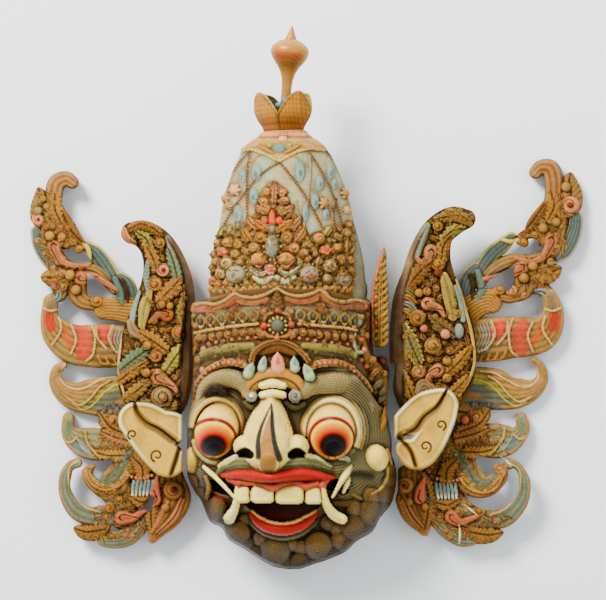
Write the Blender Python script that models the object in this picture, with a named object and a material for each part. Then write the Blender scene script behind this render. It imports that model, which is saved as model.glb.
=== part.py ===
"""Carved and painted wooden demon mask with a tall domed crown, lying face up.

Units are metres, +Z up. The crown points along +Y and the face looks up. The
flat rim of the mask and the lowest backs of the upper feathers are on z = 0.

The stations below are read on a drawing sheet 606 wide and 600 high, one
millimetre to the unit at the height of the crown's axis. The sheet looks down
on the piece from a little to its +X side, so lay() lays a sheet point down at
a named height over that axis plane.
"""

import math

import bpy
import numpy as np
from mathutils.geometry import delaunay_2d_cdt

for old in list(bpy.data.objects):
    bpy.data.objects.remove(old, do_unlink=True)

# ---------------------------------------------------------------- the sheet
SIDE_TURN, END_TURN, SHEET_TURN = (math.radians(a) for a in (10.5, -2.5, 1.0))
SHEET_REACH = 1700.0  # mm from the sheet's station point to the axis plane
AXIS_HEIGHT, AXIS_SLOPE = 75.8, 0.096  # axis plane: height at y 0, rise per mm
AIM = (16.09, -0.36)  # where the sheet's centre falls on the axis plane, mm


def sheet_axes():
    back = np.array([
        math.sin(SIDE_TURN) * math.cos(END_TURN),
        math.sin(END_TURN),
        math.cos(SIDE_TURN) * math.cos(END_TURN),
    ])
    right = np.cross(-back, [0.0, 1.0, 0.0])
    right /= np.linalg.norm(right)
    up = np.cross(right, -back)
    c, s = math.cos(SHEET_TURN), math.sin(SHEET_TURN)
    return back, c * right - s * up, s * right + c * up


BACK, RIGHT, UP = sheet_axes()
STATION = np.array([AIM[0], AIM[1], AXIS_HEIGHT]) + SHEET_REACH * BACK


def lay(u, v, rise):
    """Sheet point (u, v) laid down `rise` mm over the axis plane, in mm."""
    u, v, rise = np.broadcast_arrays(*(np.asarray(a, float) for a in (u, v, rise)))
    ray = (
        -BACK * SHEET_REACH
        + RIGHT * (u - 303.0)[..., None]
        + UP * (300.0 - v)[..., None]
    )
    t = (AXIS_HEIGHT + AXIS_SLOPE * STATION[1] + rise - STATION[2]) / (
        ray[..., 2] - AXIS_SLOPE * ray[..., 1]
    )
    return STATION + ray * t[..., None]


def axis_height(y):
    return AXIS_HEIGHT + AXIS_SLOPE * y


def smooth(a, b, x):
    t = np.clip((x - a) / (b - a), 0.0, 1.0)
    return t * t * (3 - 2 * t)


def bump(x, y, cx, cy, rx, ry, power=1.0):
    """1 at the centre of an ellipse, 0 at its edge and beyond."""
    q = ((x - cx) / rx) ** 2 + ((y - cy) / ry) ** 2
    return np.sqrt(np.clip(1 - q, 0.0, None)) ** power


def curve(stations, step):
    """A smooth run of rows through the given rows, about `step` apart."""
    p = np.array(stations, float)
    if len(p) == 1:
        return p
    ends = np.vstack([2 * p[0] - p[1], p, 2 * p[-1] - p[-2]])
    rows = []
    for i in range(1, len(ends) - 2):
        a, b, c, d = ends[i - 1 : i + 3]
        n = max(2, int(np.hypot(*(c - b)[:2]) / step))
        for k in range(n):
            t = k / n
            rows.append(0.5 * (
                2 * b + (c - a) * t + (2 * a - 5 * b + 4 * c - d) * t * t
                + (3 * b - a - 3 * c + d) * t ** 3
            ))
    rows.append(p[-1])
    return np.array(rows)


def inside_strokes(u, v, strokes, step=2.0):
    """Distance to the union of round-ended strokes, negative inside."""
    best = np.full(np.shape(u), 1e9)
    for stations in strokes:
        for a, b, r in curve(stations, step):
            best = np.minimum(best, np.hypot(u - a, v - b) - r)
    return best


# ------------------------------------------------------------ mesh helpers
def material(name, colour, rough, metal=0.0):
    m = bpy.data.materials.new(name)
    m.use_nodes = True
    shader = m.node_tree.nodes["Principled BSDF"]
    shader.inputs["Base Color"].default_value = (*colour, 1.0)
    shader.inputs["Roughness"].default_value = rough
    shader.inputs["Metallic"].default_value = metal
    m.diffuse_color = (*colour, 1.0)
    return m


def body(name, verts_mm, faces, mat, round_shaded=True):
    mesh = bpy.data.meshes.new(name)
    mesh.from_pydata([tuple(p) for p in np.asarray(verts_mm) * 0.001], [], faces)
    mesh.materials.append(mat)
    mesh.validate()
    for poly in mesh.polygons:
        poly.use_smooth = round_shaded
    mesh.update()
    made = bpy.data.objects.new(name, mesh)
    bpy.context.scene.collection.objects.link(made)
    return made


def ringed(rings, closed_start=True, closed_end=True):
    """Faces over equal rings of points, with a fan over each closed end."""
    n = len(rings[0])
    verts = [p for ring in rings for p in ring]
    faces = []
    for k in range(len(rings) - 1):
        for i in range(n):
            j = (i + 1) % n
            faces.append((k * n + i, k * n + j, (k + 1) * n + j, (k + 1) * n + i))
    if closed_start:
        verts.append(np.mean(rings[0], axis=0))
        c = len(verts) - 1
        faces += [(c, (i + 1) % n, i) for i in range(n)]
    if closed_end:
        verts.append(np.mean(rings[-1], axis=0))
        c, o = len(verts) - 1, (len(rings) - 1) * n
        faces += [(c, o + i, o + (i + 1) % n) for i in range(n)]
    return np.array(verts), faces


def outward(verts, faces):
    """The faces turned so that the body's volume is positive."""
    v = np.asarray(verts)
    total = 0.0
    for f in faces:
        for k in range(1, len(f) - 1):
            total += np.dot(v[f[0]], np.cross(v[f[k]], v[f[k + 1]]))
    return faces if total > 0 else [tuple(reversed(f)) for f in faces]


def outlines(field, box, cell):
    """Closed outlines of field < 0 on a regular net, as lists of points."""
    u0, v0, u1, v1 = box
    us = np.arange(u0, u1 + cell, cell)
    vs = np.arange(v0, v1 + cell, cell)
    f = field(*np.meshgrid(us, vs, indexing="ij"))
    f = np.where(np.abs(f) < 1e-6, 1e-6, f)
    links = {}

    def cross(a, b):
        (i, j), (k, m) = a, b
        t = f[i, j] / (f[i, j] - f[k, m])
        return (us[i] + t * (us[k] - us[i]), vs[j] + t * (vs[m] - vs[j]))

    where = {}
    for i in range(len(us) - 1):
        for j in range(len(vs) - 1):
            quad = [(i, j), (i + 1, j), (i + 1, j + 1), (i, j + 1)]
            for tri in ((quad[0], quad[1], quad[2]), (quad[0], quad[2], quad[3])):
                cuts = []
                for a, b in ((tri[0], tri[1]), (tri[1], tri[2]), (tri[2], tri[0])):
                    if (f[a] < 0) != (f[b] < 0):
                        key = (min(a, b), max(a, b))
                        where[key] = cross(*key)
                        cuts.append((key, f[a] < 0))
                if len(cuts) == 2:
                    first, second = cuts
                    if first[1]:
                        links[first[0]] = second[0]
                    else:
                        links[second[0]] = first[0]
    loops = []
    while links:
        start, nxt = next(iter(links.items()))
        loop = []
        here = start
        while here in links:
            loop.append(where[here])
            here = links.pop(here)
        loops.append(np.array(loop))
    return [p for p in loops if len(p) > 8]


def thinned(loop, slack, least=1.5):
    """The closed loop with the points that lie within slack of a chord left out."""
    n = len(loop)
    far = int(np.argmax(np.hypot(*(loop - loop[0]).T)))

    def keep(i, j):
        if j - i < 2:
            return []
        a, b = loop[i % n], loop[j % n]
        mid = loop[[k % n for k in range(i + 1, j)]]
        d = b - a
        length = max(np.hypot(*d), 1e-9)
        off = np.abs(d[0] * (mid[:, 1] - a[1]) - d[1] * (mid[:, 0] - a[0])) / length
        k = int(np.argmax(off))
        if off[k] <= slack:
            return []
        k += i + 1
        return keep(i, k) + [k] + keep(k, j)

    ids = [0] + keep(0, far) + [far] + keep(far, n)
    out = [loop[ids[0] % n]]
    for i in ids[1:]:
        if np.hypot(*(loop[i % n] - out[-1])) > least:
            out.append(loop[i % n])
    if np.hypot(*(out[-1] - out[0])) < least:
        out.pop()
    return np.array(out)


def even_odd(p, loops):
    hits = 0
    for loop in loops:
        a, b = loop, np.roll(loop, -1, axis=0)
        spans = (a[:, 1] > p[1]) != (b[:, 1] > p[1])
        with np.errstate(divide="ignore", invalid="ignore"):
            at = a[:, 0] + (p[1] - a[:, 1]) * (b[:, 0] - a[:, 0]) / (b[:, 1] - a[:, 1])
        hits += int(np.count_nonzero(spans & (p[0] < at)))
    return hits % 2 == 1


def panel(name, field, box, front, back, mat, slack=0.8, net=16.0, cell=3.0):
    """A board cut to the outline, with `front` and `back` as heights on the sheet."""
    loops = [thinned(p, slack) for p in outlines(field, box, cell)]
    points, edges = [], []
    for loop in loops:
        o = len(points)
        points += [tuple(p) for p in loop]
        edges += [(o + i, o + (i + 1) % len(loop)) for i in range(len(loop))]
    row = 0
    for v in np.arange(box[1], box[3], net * 0.87):
        row += 1
        for u in np.arange(box[0] + (row % 2) * net / 2, box[2], net):
            if field(np.array(u), np.array(v)) < -net * 0.28:
                points.append((u, v))
    got, _, tris, *_ = delaunay_2d_cdt(points, edges, [], 0, 1e-5, False)
    flat = np.array([tuple(p) for p in got])
    tris = [t for t in tris if even_odd(flat[list(t)].mean(axis=0), loops)]
    used = sorted({i for t in tris for i in t})
    index = {old: k for k, old in enumerate(used)}
    flat = flat[used]
    tris = [tuple(index[i] for i in t) for t in tris]
    n = len(flat)
    top = lay(flat[:, 0], flat[:, 1], front(flat[:, 0], flat[:, 1]))
    low = lay(flat[:, 0], flat[:, 1], back(flat[:, 0], flat[:, 1]))
    faces = list(tris)
    faces += [tuple(n + i for i in reversed(t)) for t in tris]
    seen = {}
    for t in tris:
        for i, j in zip(t, t[1:] + t[:1]):
            seen[(i, j)] = seen.get((i, j), 0) + 1
    for i, j in seen:
        if (j, i) not in seen:
            faces.append((j, i, n + i, n + j))
    verts = np.vstack([top, low])
    return body(name, verts, outward(verts, faces), mat, False)


def block(name, low, high):
    x, y, z = zip(low, high)
    verts = np.array([(a, b, c) for a in x for b in y for c in z], float)
    faces = [(0, 1, 3, 2), (4, 6, 7, 5), (0, 4, 5, 1), (2, 3, 7, 6), (0, 2, 6, 4), (1, 5, 7, 3)]
    return body(name, verts, outward(verts, faces), wood_dark, False)


def combine(target, other, how):
    """Cuts `other` from the target or joins it on, and bakes the result in."""
    mod = target.modifiers.new(how.lower(), "BOOLEAN")
    mod.operation, mod.solver, mod.object = how, "EXACT", other
    bpy.context.view_layer.update()
    deps = bpy.context.evaluated_depsgraph_get()
    fresh = bpy.data.meshes.new_from_object(target.evaluated_get(deps))
    target.modifiers.clear()
    target.data = fresh
    bpy.data.objects.remove(other, do_unlink=True)


# -------------------------------------------------------------- materials
wood_dark = material("aged_wood", (0.16, 0.10, 0.05), 0.8)
flesh = material("cream_face_paint", (0.55, 0.42, 0.20), 0.5)
crown_paint = material("crown_paint", (0.25, 0.27, 0.22), 0.6)
gilt = material("worn_gilding", (0.45, 0.28, 0.10), 0.45)
salmon = material("salmon_paint", (0.60, 0.28, 0.16), 0.6)
wing_paint = material("wing_gilding", (0.42, 0.27, 0.11), 0.55)
fan_paint = material("feather_paint", (0.45, 0.24, 0.14), 0.6)
ear_paint = material("ear_paint", (0.70, 0.55, 0.25), 0.5)
flame_paint = material("flame_paint", (0.50, 0.30, 0.15), 0.6)
iron = material("dark_wire", (0.03, 0.03, 0.03), 0.5, 1.0)

# ----------------------------------------------------- feathers and wings
# Each stroke is a run of (u, v, half width) stations on the sheet.
FAN_RIGHT = dict(
    plume=[(535.5, 172.5, 6.5), (541, 167.5, 7.5), (550, 169, 9.5), (553.5, 179, 9.5), (554, 190, 9), (553, 200, 9)],
    top_leaf=[(570, 176, 4), (569, 183, 8), (571, 191, 10), (570.5, 202, 12.3), (568, 211, 8)],
    inner_leaf=[(556, 206, 13), (551, 218, 17), (543, 228, 17), (533, 235, 10), (521, 237, 4.5)],
    outer_blue=[(576, 218, 7), (575, 228, 7.5), (571, 240, 8), (565, 251, 7.5), (558, 257, 5)],
    scroll_strip=[(559, 226, 9), (557, 236, 9), (554, 247, 9), (546, 256, 7), (530, 260, 5.5), (515, 260, 6.5), (500, 265, 7), (488, 274, 6), (480, 284, 6)],
    blue_a=[(511, 237, 5.5), (503, 245, 7.5), (493, 253, 8), (486, 262, 8), (480, 272, 7)],
    blue_b=[(476, 268, 6.5), (470, 277, 9), (466, 288, 9), (464, 300, 9)],
    leaf=[(528, 268, 8), (540, 273, 13), (551, 272, 9.5), (558, 269, 4)],
    scroll_mass=[(523, 272, 9), (524, 287, 11), (512, 297, 6.5), (503, 296, 6)],
    link=[(530, 284, 10), (540, 287, 7.5), (548, 294, 7)],
    gold_fan=[(466, 312, 14), (478, 304, 13), (488, 301, 12.5), (492, 303, 10.5)],
    red=[(549, 296.5, 8), (553, 309, 10), (551, 323, 13), (542, 334, 17), (528, 337, 19.5), (513, 337, 21), (496, 339, 22), (478, 340, 22), (464, 340, 20)],
    s_feather=[(534.5, 361, 4.2), (541, 368, 5), (541.5, 380, 6.5), (532, 390, 10), (518, 393, 15), (505, 391, 19), (490, 389, 21), (470, 388, 22)],
    ear_leaf=[(462, 412, 12), (480, 414, 11)],
    lobed=[(521, 418, 5.8), (522.5, 429, 7.3), (513, 439, 11), (500, 441, 17), (485, 440, 17), (468, 436, 16)],
    inner_crescent=[(452, 448, 12), (461, 462, 15), (468, 476, 16), (477, 485, 13), (488, 486.5, 10), (498, 480, 8), (502.5, 471, 5.5), (497, 467, 4)],
    outer_crescent=[(509, 463.5, 5.5), (517.5, 468, 5), (524, 480, 5.8), (524, 494, 6.3), (518, 506, 8), (506, 517, 9.5), (492, 520, 9.5), (478, 518, 11), (464, 512, 15)],
    tail_leaf=[(500, 533, 3.5), (490, 535, 8), (478, 535, 9), (468, 530, 9)],
    tail_blue=[(470, 539, 7.3), (461, 537.5, 9), (449, 531, 9), (439, 521, 8.5), (430, 511, 8)],
    knot=[(440, 492, 13), (452, 503, 15), (456, 516, 13), (446, 523, 11)],
    low_leaf=[(409, 478, 14), (410, 495, 15.5), (415, 511, 14.5), (422, 524, 9), (424.5, 532, 4.5)],
    backing=[(440, 455, 16), (438, 476, 15), (424, 484, 12)],
    root=[(456, 335, 14), (458, 365, 14), (458, 392, 16)],
)
FAN_RIGHT_GAPS = dict(
    scroll_eye=[(531.5, 246, 7.5), (526, 250, 4.2), (518, 251.5, 2.6), (513, 252.5, 1.5)],
    scroll_gap=[(506, 282.5, 7), (499, 281.5, 5.8), (492, 283, 4), (488, 285.5, 2)],
    under_leaf=[(535.5, 303, 8), (527, 308, 8), (515, 309.5, 6.8), (507, 309.5, 5)],
    over_s=[(496, 364, 1.2), (505, 366.5, 4), (517, 369, 9), (527, 369, 8.5), (532.5, 370, 4)],
    over_lobed=[(494.5, 414.5, 3.5), (503, 418, 6.3), (511, 417, 5.8), (515.5, 413.5, 1.5)],
    over_crescent=[(477, 460.5, 1.7), (482, 465, 4.3), (488, 469.5, 5), (492, 472.5, 2.5)],
    crescents=[(469, 499, 1.5), (478, 503, 3.8), (490, 504, 6.3), (502, 498, 7.3), (511, 487, 6.8), (513.5, 476, 5), (513, 471.5, 3)],
)
FAN_RIGHT_KNOBS = dict(
    eye_curl=[(519, 240.5, 4), (524, 242.5, 4.8)], gap_curl=[(494, 293, 5), (500, 289.5, 4.6)],
)
FAN_LEFT = dict(
    plume=[(72.5, 182.5, 6.5), (66, 178.7, 7.6), (57, 183, 9), (54, 193, 9), (53, 203, 9)],
    top_leaf=[(39, 190, 3), (41, 197, 7), (38.5, 207, 8), (38, 216, 8), (40, 222, 6.5)],
    inner_leaf=[(52, 209, 11), (55, 221, 15), (62, 232, 15.5), (71, 239, 10.5), (81, 243.5, 4.5)],
    outer_blue=[(35.5, 231, 5), (38.5, 243, 6.5), (45, 255, 7.5), (54, 265, 7.5)],
    scroll_strip=[(49, 233, 10), (50, 246, 10), (57, 257, 8), (70, 266, 4.5), (84, 267, 4.5), (97, 271, 6.5), (107, 280, 6.5), (115, 289, 6)],
    blue_a=[(89, 247, 5.5), (96, 253.5, 8), (104, 264, 8.5), (111, 275, 8), (116, 285, 7)],
    blue_b=[(120, 277.5, 6), (126, 285, 9), (129.5, 297, 9.5), (133, 307, 8)],
    leaf=[(69, 276, 9), (58, 278, 11), (49, 277.5, 7.5), (44, 277.5, 3.5)],
    scroll_mass=[(80, 276, 7.5), (77, 289, 10), (82, 300, 8.5), (93, 304.5, 6.5)],
    link=[(61, 287, 9.5), (60, 295, 6.5), (52, 299, 5.5)],
    gold_fan=[(128, 310, 14), (117, 309, 12), (107, 308.5, 11.5), (103, 310, 9.5)],
    red=[(51, 301.5, 7.8), (49.5, 313, 8.5), (51.5, 325, 11), (59, 335, 16), (73, 344, 19.5), (89, 346, 21), (106, 346, 22), (124, 346, 20)],
    s_feather=[(63.5, 365.5, 4.2), (56.5, 370, 5), (56, 382, 7), (65, 392, 11), (78, 397, 14.5), (92, 397, 18), (106, 397, 20), (124, 396, 20)],
    ear_leaf=[(118, 418, 12), (108, 420, 10)],
    lobed=[(68.5, 418, 6), (68.5, 430, 7.3), (76, 439, 11.5), (90, 443.5, 16), (105, 444, 16), (120, 440, 15)],
    inner_crescent=[(93, 468, 4), (87.5, 472, 5.3), (89.5, 481, 7), (97, 488.5, 9), (106, 489, 11.5), (114, 482, 13.5), (121, 467, 13.5), (126, 451, 12)],
    outer_crescent=[(77.5, 463, 5), (70.5, 466, 5), (65.5, 476, 6), (64.5, 488, 6.2), (68.5, 500, 7.5), (77, 511, 9), (89, 516, 9.5), (102, 516, 11), (114, 510, 15)],
    tail_leaf=[(77, 529, 3.8), (85, 532, 8), (94, 532, 9), (102, 527, 9)],
    tail_blue=[(104, 540, 7), (115, 540, 8.6), (127, 537, 9.5), (137, 529, 9), (144, 519, 9)],
    knot=[(136, 494, 14), (124, 503, 13), (122, 516, 13), (132, 520, 12)],
    low_leaf=[(174, 483, 14), (174, 498, 17), (167, 513, 16), (158, 528, 9.5), (152.5, 539, 4.5)],
    backing=[(139, 457, 16), (145, 477, 15), (158, 486, 12)],
    root=[(136, 335, 14), (134, 365, 14), (134, 392, 16)],
)
FAN_LEFT_GAPS = dict(
    scroll_eye=[(72.5, 252, 5), (76, 257, 5), (82, 260, 2.8), (86, 261.7, 1.4)],
    scroll_gap=[(92, 292, 5), (98, 290.7, 4.5), (104, 293, 3.8), (110, 297, 1.8)],
    under_leaf=[(62.5, 307.5, 3.3), (67, 312.5, 5.3), (76, 317, 5.8), (86, 317, 5), (91, 316.3, 3.3)],
    over_s=[(66.5, 372, 3.8), (73, 373.3, 6.3), (81, 373.7, 4), (89, 373, 1.2)],
    over_lobed=[(79.5, 418, 2.7), (85, 420.7, 4.8), (92, 421, 4.3), (96.5, 419.7, 2.7)],
    over_crescent=[(96, 472.5, 2.6), (100.5, 469, 4.6), (107, 464, 3.7), (112, 460, 1.5)],
    crescents=[(76.5, 473, 4.2), (77.5, 482, 5.6), (83, 491, 6), (91, 498, 5.4), (100, 502, 3.3), (105, 503.3, 1.5)],
)
FAN_LEFT_KNOBS = dict(
    eye_curl=[(83, 247, 4), (79, 248.7, 4.6)], gap_curl=[(103, 303, 5), (97, 300.5, 4.8)],
)
WING_RIGHT = [(466, 219, 9.8), (452, 221.5, 14.8), (437, 234, 16.7), (429.5, 256, 21), (428, 280, 27), (428.5, 305, 36), (432, 335, 42.5), (433, 365, 43), (430, 388, 36), (426, 400, 24)]
WING_RIGHT_SLIT = [(392.3, 366, 3), (391.5, 380, 2.2), (390.5, 394, 1.6)]
WING_LEFT = [(132, 233, 11), (144, 234.5, 14), (157, 246, 17.3), (165, 266, 21.5), (167, 290, 27), (163, 315, 32), (157, 345, 36.5), (155, 372, 38), (156, 390, 34), (160, 402, 24)]


def fan_front(root_u):
    """Heights of a feather fan: forward at its lower half, swept back above."""
    def height(u, v):
        low = smooth(430, 485, v)
        reach = np.hypot(u - root_u, v - 330) / 188
        return -44.2 + 22.0 * low - (32 - 26 * smooth(360, 470, v)) * reach ** 1.3
    return height


def wing_front(ridge_side):
    """Heights of an inner wing: its plain inner margin slopes back steeply."""
    line = curve(WING_RIGHT if ridge_side > 0 else WING_LEFT, 2.0)

    def height(u, v):
        u, v = np.broadcast_arrays(u, v)
        shape = np.shape(u)
        flat_u, flat_v = np.ravel(u), np.ravel(v)
        d = np.hypot(flat_u[:, None] - line[:, 0], flat_v[:, None] - line[:, 1]) - line[:, 2]
        near = np.argmin(d, axis=1)
        across = (flat_u - line[near, 0]) / line[near, 2] * ridge_side
        inset = -d.min(axis=1)
        h = -14 - 9 * across - 6 * smooth(300, 210, flat_v)
        h -= 13 * smooth(-0.62, -1.0, across) * smooth(225, 260, flat_v)
        h -= 4 * (1 - smooth(0, 5, inset))
        return h.reshape(shape)
    return height


EAR_RIGHT = [(399, 434, 6), (402, 425, 11), (414, 419, 17), (428, 411, 20), (441, 405.5, 17.5)]
EAR_RIGHT_TIP = [(441, 405.5, 17.5), (440, 420, 15), (428, 444, 16), (417, 454, 16), (406, 450, 11)]
EAR_LEFT = [(179, 424, 7), (172, 428, 16), (160, 430, 20), (146, 423, 20), (136, 420, 18)]
EAR_LEFT_TIP = [(136, 420, 18), (148, 436, 19), (162, 455, 18), (170, 460.5, 16.5), (178, 456, 8)]
EAR_FIELD = {1: [EAR_RIGHT, EAR_RIGHT_TIP], -1: [EAR_LEFT, EAR_LEFT_TIP]}
FLAME_RIGHT = [(384, 248, 1.2), (383.5, 256, 3), (381.5, 270, 5), (380, 290, 8.3), (380, 310, 8.8), (380, 340, 8)]
FLAME_LEFT = [(193, 309, 3), (191.5, 320, 5.5), (192, 345, 6)]

for side, fan, gaps, knobs, root, box in (
    ("right", FAN_RIGHT, FAN_RIGHT_GAPS, FAN_RIGHT_KNOBS, 455, (380, 150, 595, 556)),
    ("left", FAN_LEFT, FAN_LEFT_GAPS, FAN_LEFT_KNOBS, 135, (22, 160, 205, 558)),
):
    def fan_field(u, v, side=side, fan=fan, gaps=gaps, knobs=knobs):
        solid = inside_strokes(u, v, fan.values())
        cut = np.maximum(solid, -inside_strokes(u, v, gaps.values()))
        if side == "right":  # clear of the mask's side
            cut = np.maximum(cut, 398.0 - 3.2 * smooth(488, 503, v) - u)
        else:
            cut = np.maximum(cut, u - 183.0 - 8.0 * smooth(470, 496, v))
        return np.minimum(cut, inside_strokes(u, v, knobs.values()))

    front = fan_front(root)
    panel(
        f"outer_wing_{side}", fan_field, box,
        lambda u, v, f=fan_field, h=front: h(u, v) + 2.5 * smooth(0, 6, -f(u, v)),
        lambda u, v, h=front: h(u, v) - 9.0 - 3.0 * smooth(430, 300, v) * smooth(430, 470, v),
        fan_paint, slack=0.9, net=17.0,
    )

# ------------------------------------------------- inner wings, ears, flame
for side, way, line, box in (
    ("right", 1, WING_RIGHT, (380, 195, 485, 432)),
    ("left", -1, WING_LEFT, (112, 212, 202, 432)),
):
    def wing_field(u, v, line=line, way=way):
        f = inside_strokes(u, v, [line])
        if way > 0:
            f = np.maximum(f, -inside_strokes(u, v, [WING_RIGHT_SLIT]))
        return f

    panel(
        f"inner_wing_{side}", wing_field, box, wing_front(way),
        lambda u, v: np.full(np.shape(u), -41.0), wing_paint, slack=0.7, net=15.0,
    )

for side, way, box in (("right", 1, (385, 380, 470, 480)), ("left", -1, (108, 396, 196, 486))):
    def ear_field(u, v, way=way):
        root = 393.8 if way > 0 else 182.6
        return np.maximum(inside_strokes(u, v, EAR_FIELD[way]), (root - u) * way)

    def ear_front(u, v, way=way, f=ear_field):
        root = 394 if way > 0 else 186
        out = np.abs(u - root) / 70
        return 12.5 - 6 * out + 3.5 * smooth(0, 8, -f(u, v))

    panel(
        f"ear_{side}", ear_field, box, ear_front,
        lambda u, v, h=ear_front: h(u, v) - 9.5, ear_paint, slack=0.6, net=13.0,
    )

panel(
    "side_flame_right", lambda u, v: inside_strokes(u, v, [FLAME_RIGHT]), (368, 243, 394, 352),
    lambda u, v: 9 + 3 * np.cos((u - 380) / 6.0), lambda u, v: np.full(np.shape(u), -6.0),
    flame_paint, slack=0.5, net=9.0, cell=2.0,
)

# ------------------------------------------------------------ the mask itself
# The mask's outline: sheet points with their height over the axis plane.
OUTLINE = [
    (277, 286.5, 82), (299, 289, 81), (320, 288.5, 73), (341, 294, 60), (356, 298, 38),
    (369.5, 301, 0), (370.3, 320, -2), (370.6, 345, -2), (374, 355, -2), (387.5, 360, -2),
    (388, 385, -2), (387, 410, -2), (389, 425, -3), (391.5, 440, -3), (392, 456, -3),
    (396, 470, -4), (395.6, 486, -4), (391, 504, -4), (380, 518, -4), (372, 532, -4),
    (357, 541, -4), (345, 552, -4), (327, 560, -4), (313, 564.5, -4), (297, 569.3, -4),
    (275, 567, -4), (259, 558.5, -4), (246, 550, -4), (229, 540, -4), (222, 528, -4),
    (210, 521, -4), (201, 500, -4), (195, 492, -4), (188.5, 478, -4), (186.5, 461, -4),
    (187.5, 440, -3), (188, 420, -3), (191, 405, -2), (193.5, 385, -2), (192.5, 350, -2),
    (191.5, 325, -2), (191.5, 305, 0), (203, 300, 34), (216, 296, 52), (235, 291.5, 70), (254, 289, 79),
]
MIDDLE = lay(290.0, 425.0, 20.0)[:2]
EDGE = lay(*np.array(OUTLINE, float).T)
EDGE_RISE = np.array(OUTLINE, float)[:, 2]
EDGE_ANGLE = np.arctan2(*(EDGE[:, :2] - MIDDLE).T[::-1])
EDGE_REACH = np.hypot(*(EDGE[:, :2] - MIDDLE).T)
ORDER = np.argsort(EDGE_ANGLE)


def round_the_edge(angle, values):
    a = EDGE_ANGLE[ORDER]
    a = np.concatenate([a[-1:] - 2 * math.pi, a, a[:1] + 2 * math.pi])
    w = values[ORDER]
    return np.interp(angle, a, np.concatenate([w[-1:], w, w[:1]]))


def table(v_rise, pick=288.0):
    rows = np.array([(lay(pick, v, rise)[1], rise) for v, rise in v_rise])
    return rows[::-1, 0], rows[::-1, 1]


SKULL = table([(286, 82), (345, 82), (352, 76), (365, 66), (385, 62), (410, 58), (440, 56), (470, 62), (500, 52), (520, 36), (545, 26), (569, 4)])
HOLLOW = table([(286, 60), (350, 56), (400, 48), (450, 46), (485, 30), (512, 12), (540, -2), (569, -12)])


def pillow(x, y, centre_rise, edge_rise, width):
    angle = np.arctan2(y - MIDDLE[1], x - MIDDLE[0])
    reach = np.hypot(x - MIDDLE[0], y - MIDDLE[1])
    inset = np.clip((round_the_edge(angle, EDGE_REACH) - reach) / width, 0, 1)
    return edge_rise + (centre_rise - edge_rise) * np.sqrt(1 - (1 - inset) ** 2)


def spot(u, v, rise):
    return lay(u, v, rise)[:2]


def ridge(x, y, path, width, top):
    """A rounded ridge along sheet stations (u, v, rise): its height, else -99."""
    best = np.full(np.shape(x), -99.0)
    rows = curve(path, 3.0)
    for u, v, rise in rows:
        px, py = spot(u, v, rise)
        q = ((x - px) ** 2 + (y - py) ** 2) / width ** 2
        best = np.maximum(best, np.where(q < 1, rise - top + top * np.sqrt(np.clip(1 - q, 0, 1)), -99))
    return best


def tiara(x):
    return 83 * np.sqrt(np.clip(1 - ((x - 1) / 95) ** 2, 0, 1))


def face_rise(x, y):
    """Height of the carved front over the axis plane at part position x, y, in mm."""
    base = pillow(x, y, np.interp(y, *SKULL), -4.0, 52.0)
    lower = -62 - 26 * smooth(40, 95, np.abs(x)) + 5 * smooth(30, 0, np.abs(x))
    band = smooth(-2.5, 2.5, y - lower)
    g = base * (1 - band) + tiara(x) * band
    for path, width, top in (
        ([(206, 394, 36), (215, 384, 54), (232, 380, 66), (250, 386, 71)], 16, 10),
        ([(300, 386, 71), (322, 381, 66), (344, 386, 54), (358, 400, 36)], 16, 10),
        ([(255, 386, 76), (276, 378, 80), (298, 386, 76)], 13, 12),
        ([(272, 386, 84), (272, 396, 86)], 12, 10),
        ([(271, 400, 84), (270, 420, 92), (269, 440, 106), (268, 455, 116)], 21, 30),
        ([(268, 450, 118), (268.5, 455, 119)], 17, 26),
        ([(243, 446, 98), (247, 449, 99)], 13.5, 22),
        ([(299, 446, 98), (294, 449, 99)], 13.5, 22),
        ([(222, 473, 66), (238, 469, 86), (255, 466, 98), (271, 469, 103), (290, 466, 100), (312, 468, 86), (332, 474, 64)], 10, 14),
        ([(243, 478, 84), (271, 480, 96), (310, 478, 86)], 9, 10),
        ([(243, 493, 76), (258, 494, 84), (275, 494, 87), (290, 494, 85), (312, 493, 76)], 9.5, 12),
        ([(252, 519, 36), (266, 527, 45), (283, 530, 50), (303, 526, 46), (319, 517, 36)], 8, 14),
        ([(192, 460, 30), (194, 461, 31)], 14, 22), ([(374, 457, 44), (376, 459, 44)], 17, 26),
        ([(355, 530, 20), (330, 545, 16)], 15, 12),
        ([(214, 508, 14), (230, 522, 20), (250, 538, 22)], 15, 12),
    ):
        g = np.maximum(g, ridge(x, y, path, width, top))
    for u, v, rise, rx, ry, deep in ((217, 428, 62, 26, 30, 27), (330.5, 430, 62, 26.5, 30.5, 27)):
        cx, cy = spot(u, v, rise + 20)
        g = np.maximum(g, np.where(bump(x, y, cx, cy, rx, ry) > 0, rise + deep * bump(x, y, cx, cy, rx, ry), -99))
    mx, my = spot(283, 511, 45)
    mouth = smooth(0.0, 0.55, bump(x, y, mx, my, 36, 13.5))
    g = g * (1 - mouth) + 27 * mouth
    return g


AROUND = 66
theta = np.linspace(-math.pi, math.pi, AROUND, endpoint=False)
reach = round_the_edge(theta, EDGE_REACH)
rise_at_edge = round_the_edge(theta, EDGE_RISE)
aim = np.stack([np.cos(theta), np.sin(theta)], axis=1)
rim_in = 14.0 - 11.0 * smooth(110, 140, (MIDDLE + aim * reach[:, None])[:, 1] + 125)


def mask_ring(distance, z):
    xy = MIDDLE + aim * distance[:, None]
    return np.column_stack([xy, np.broadcast_to(z, len(xy))])


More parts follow.
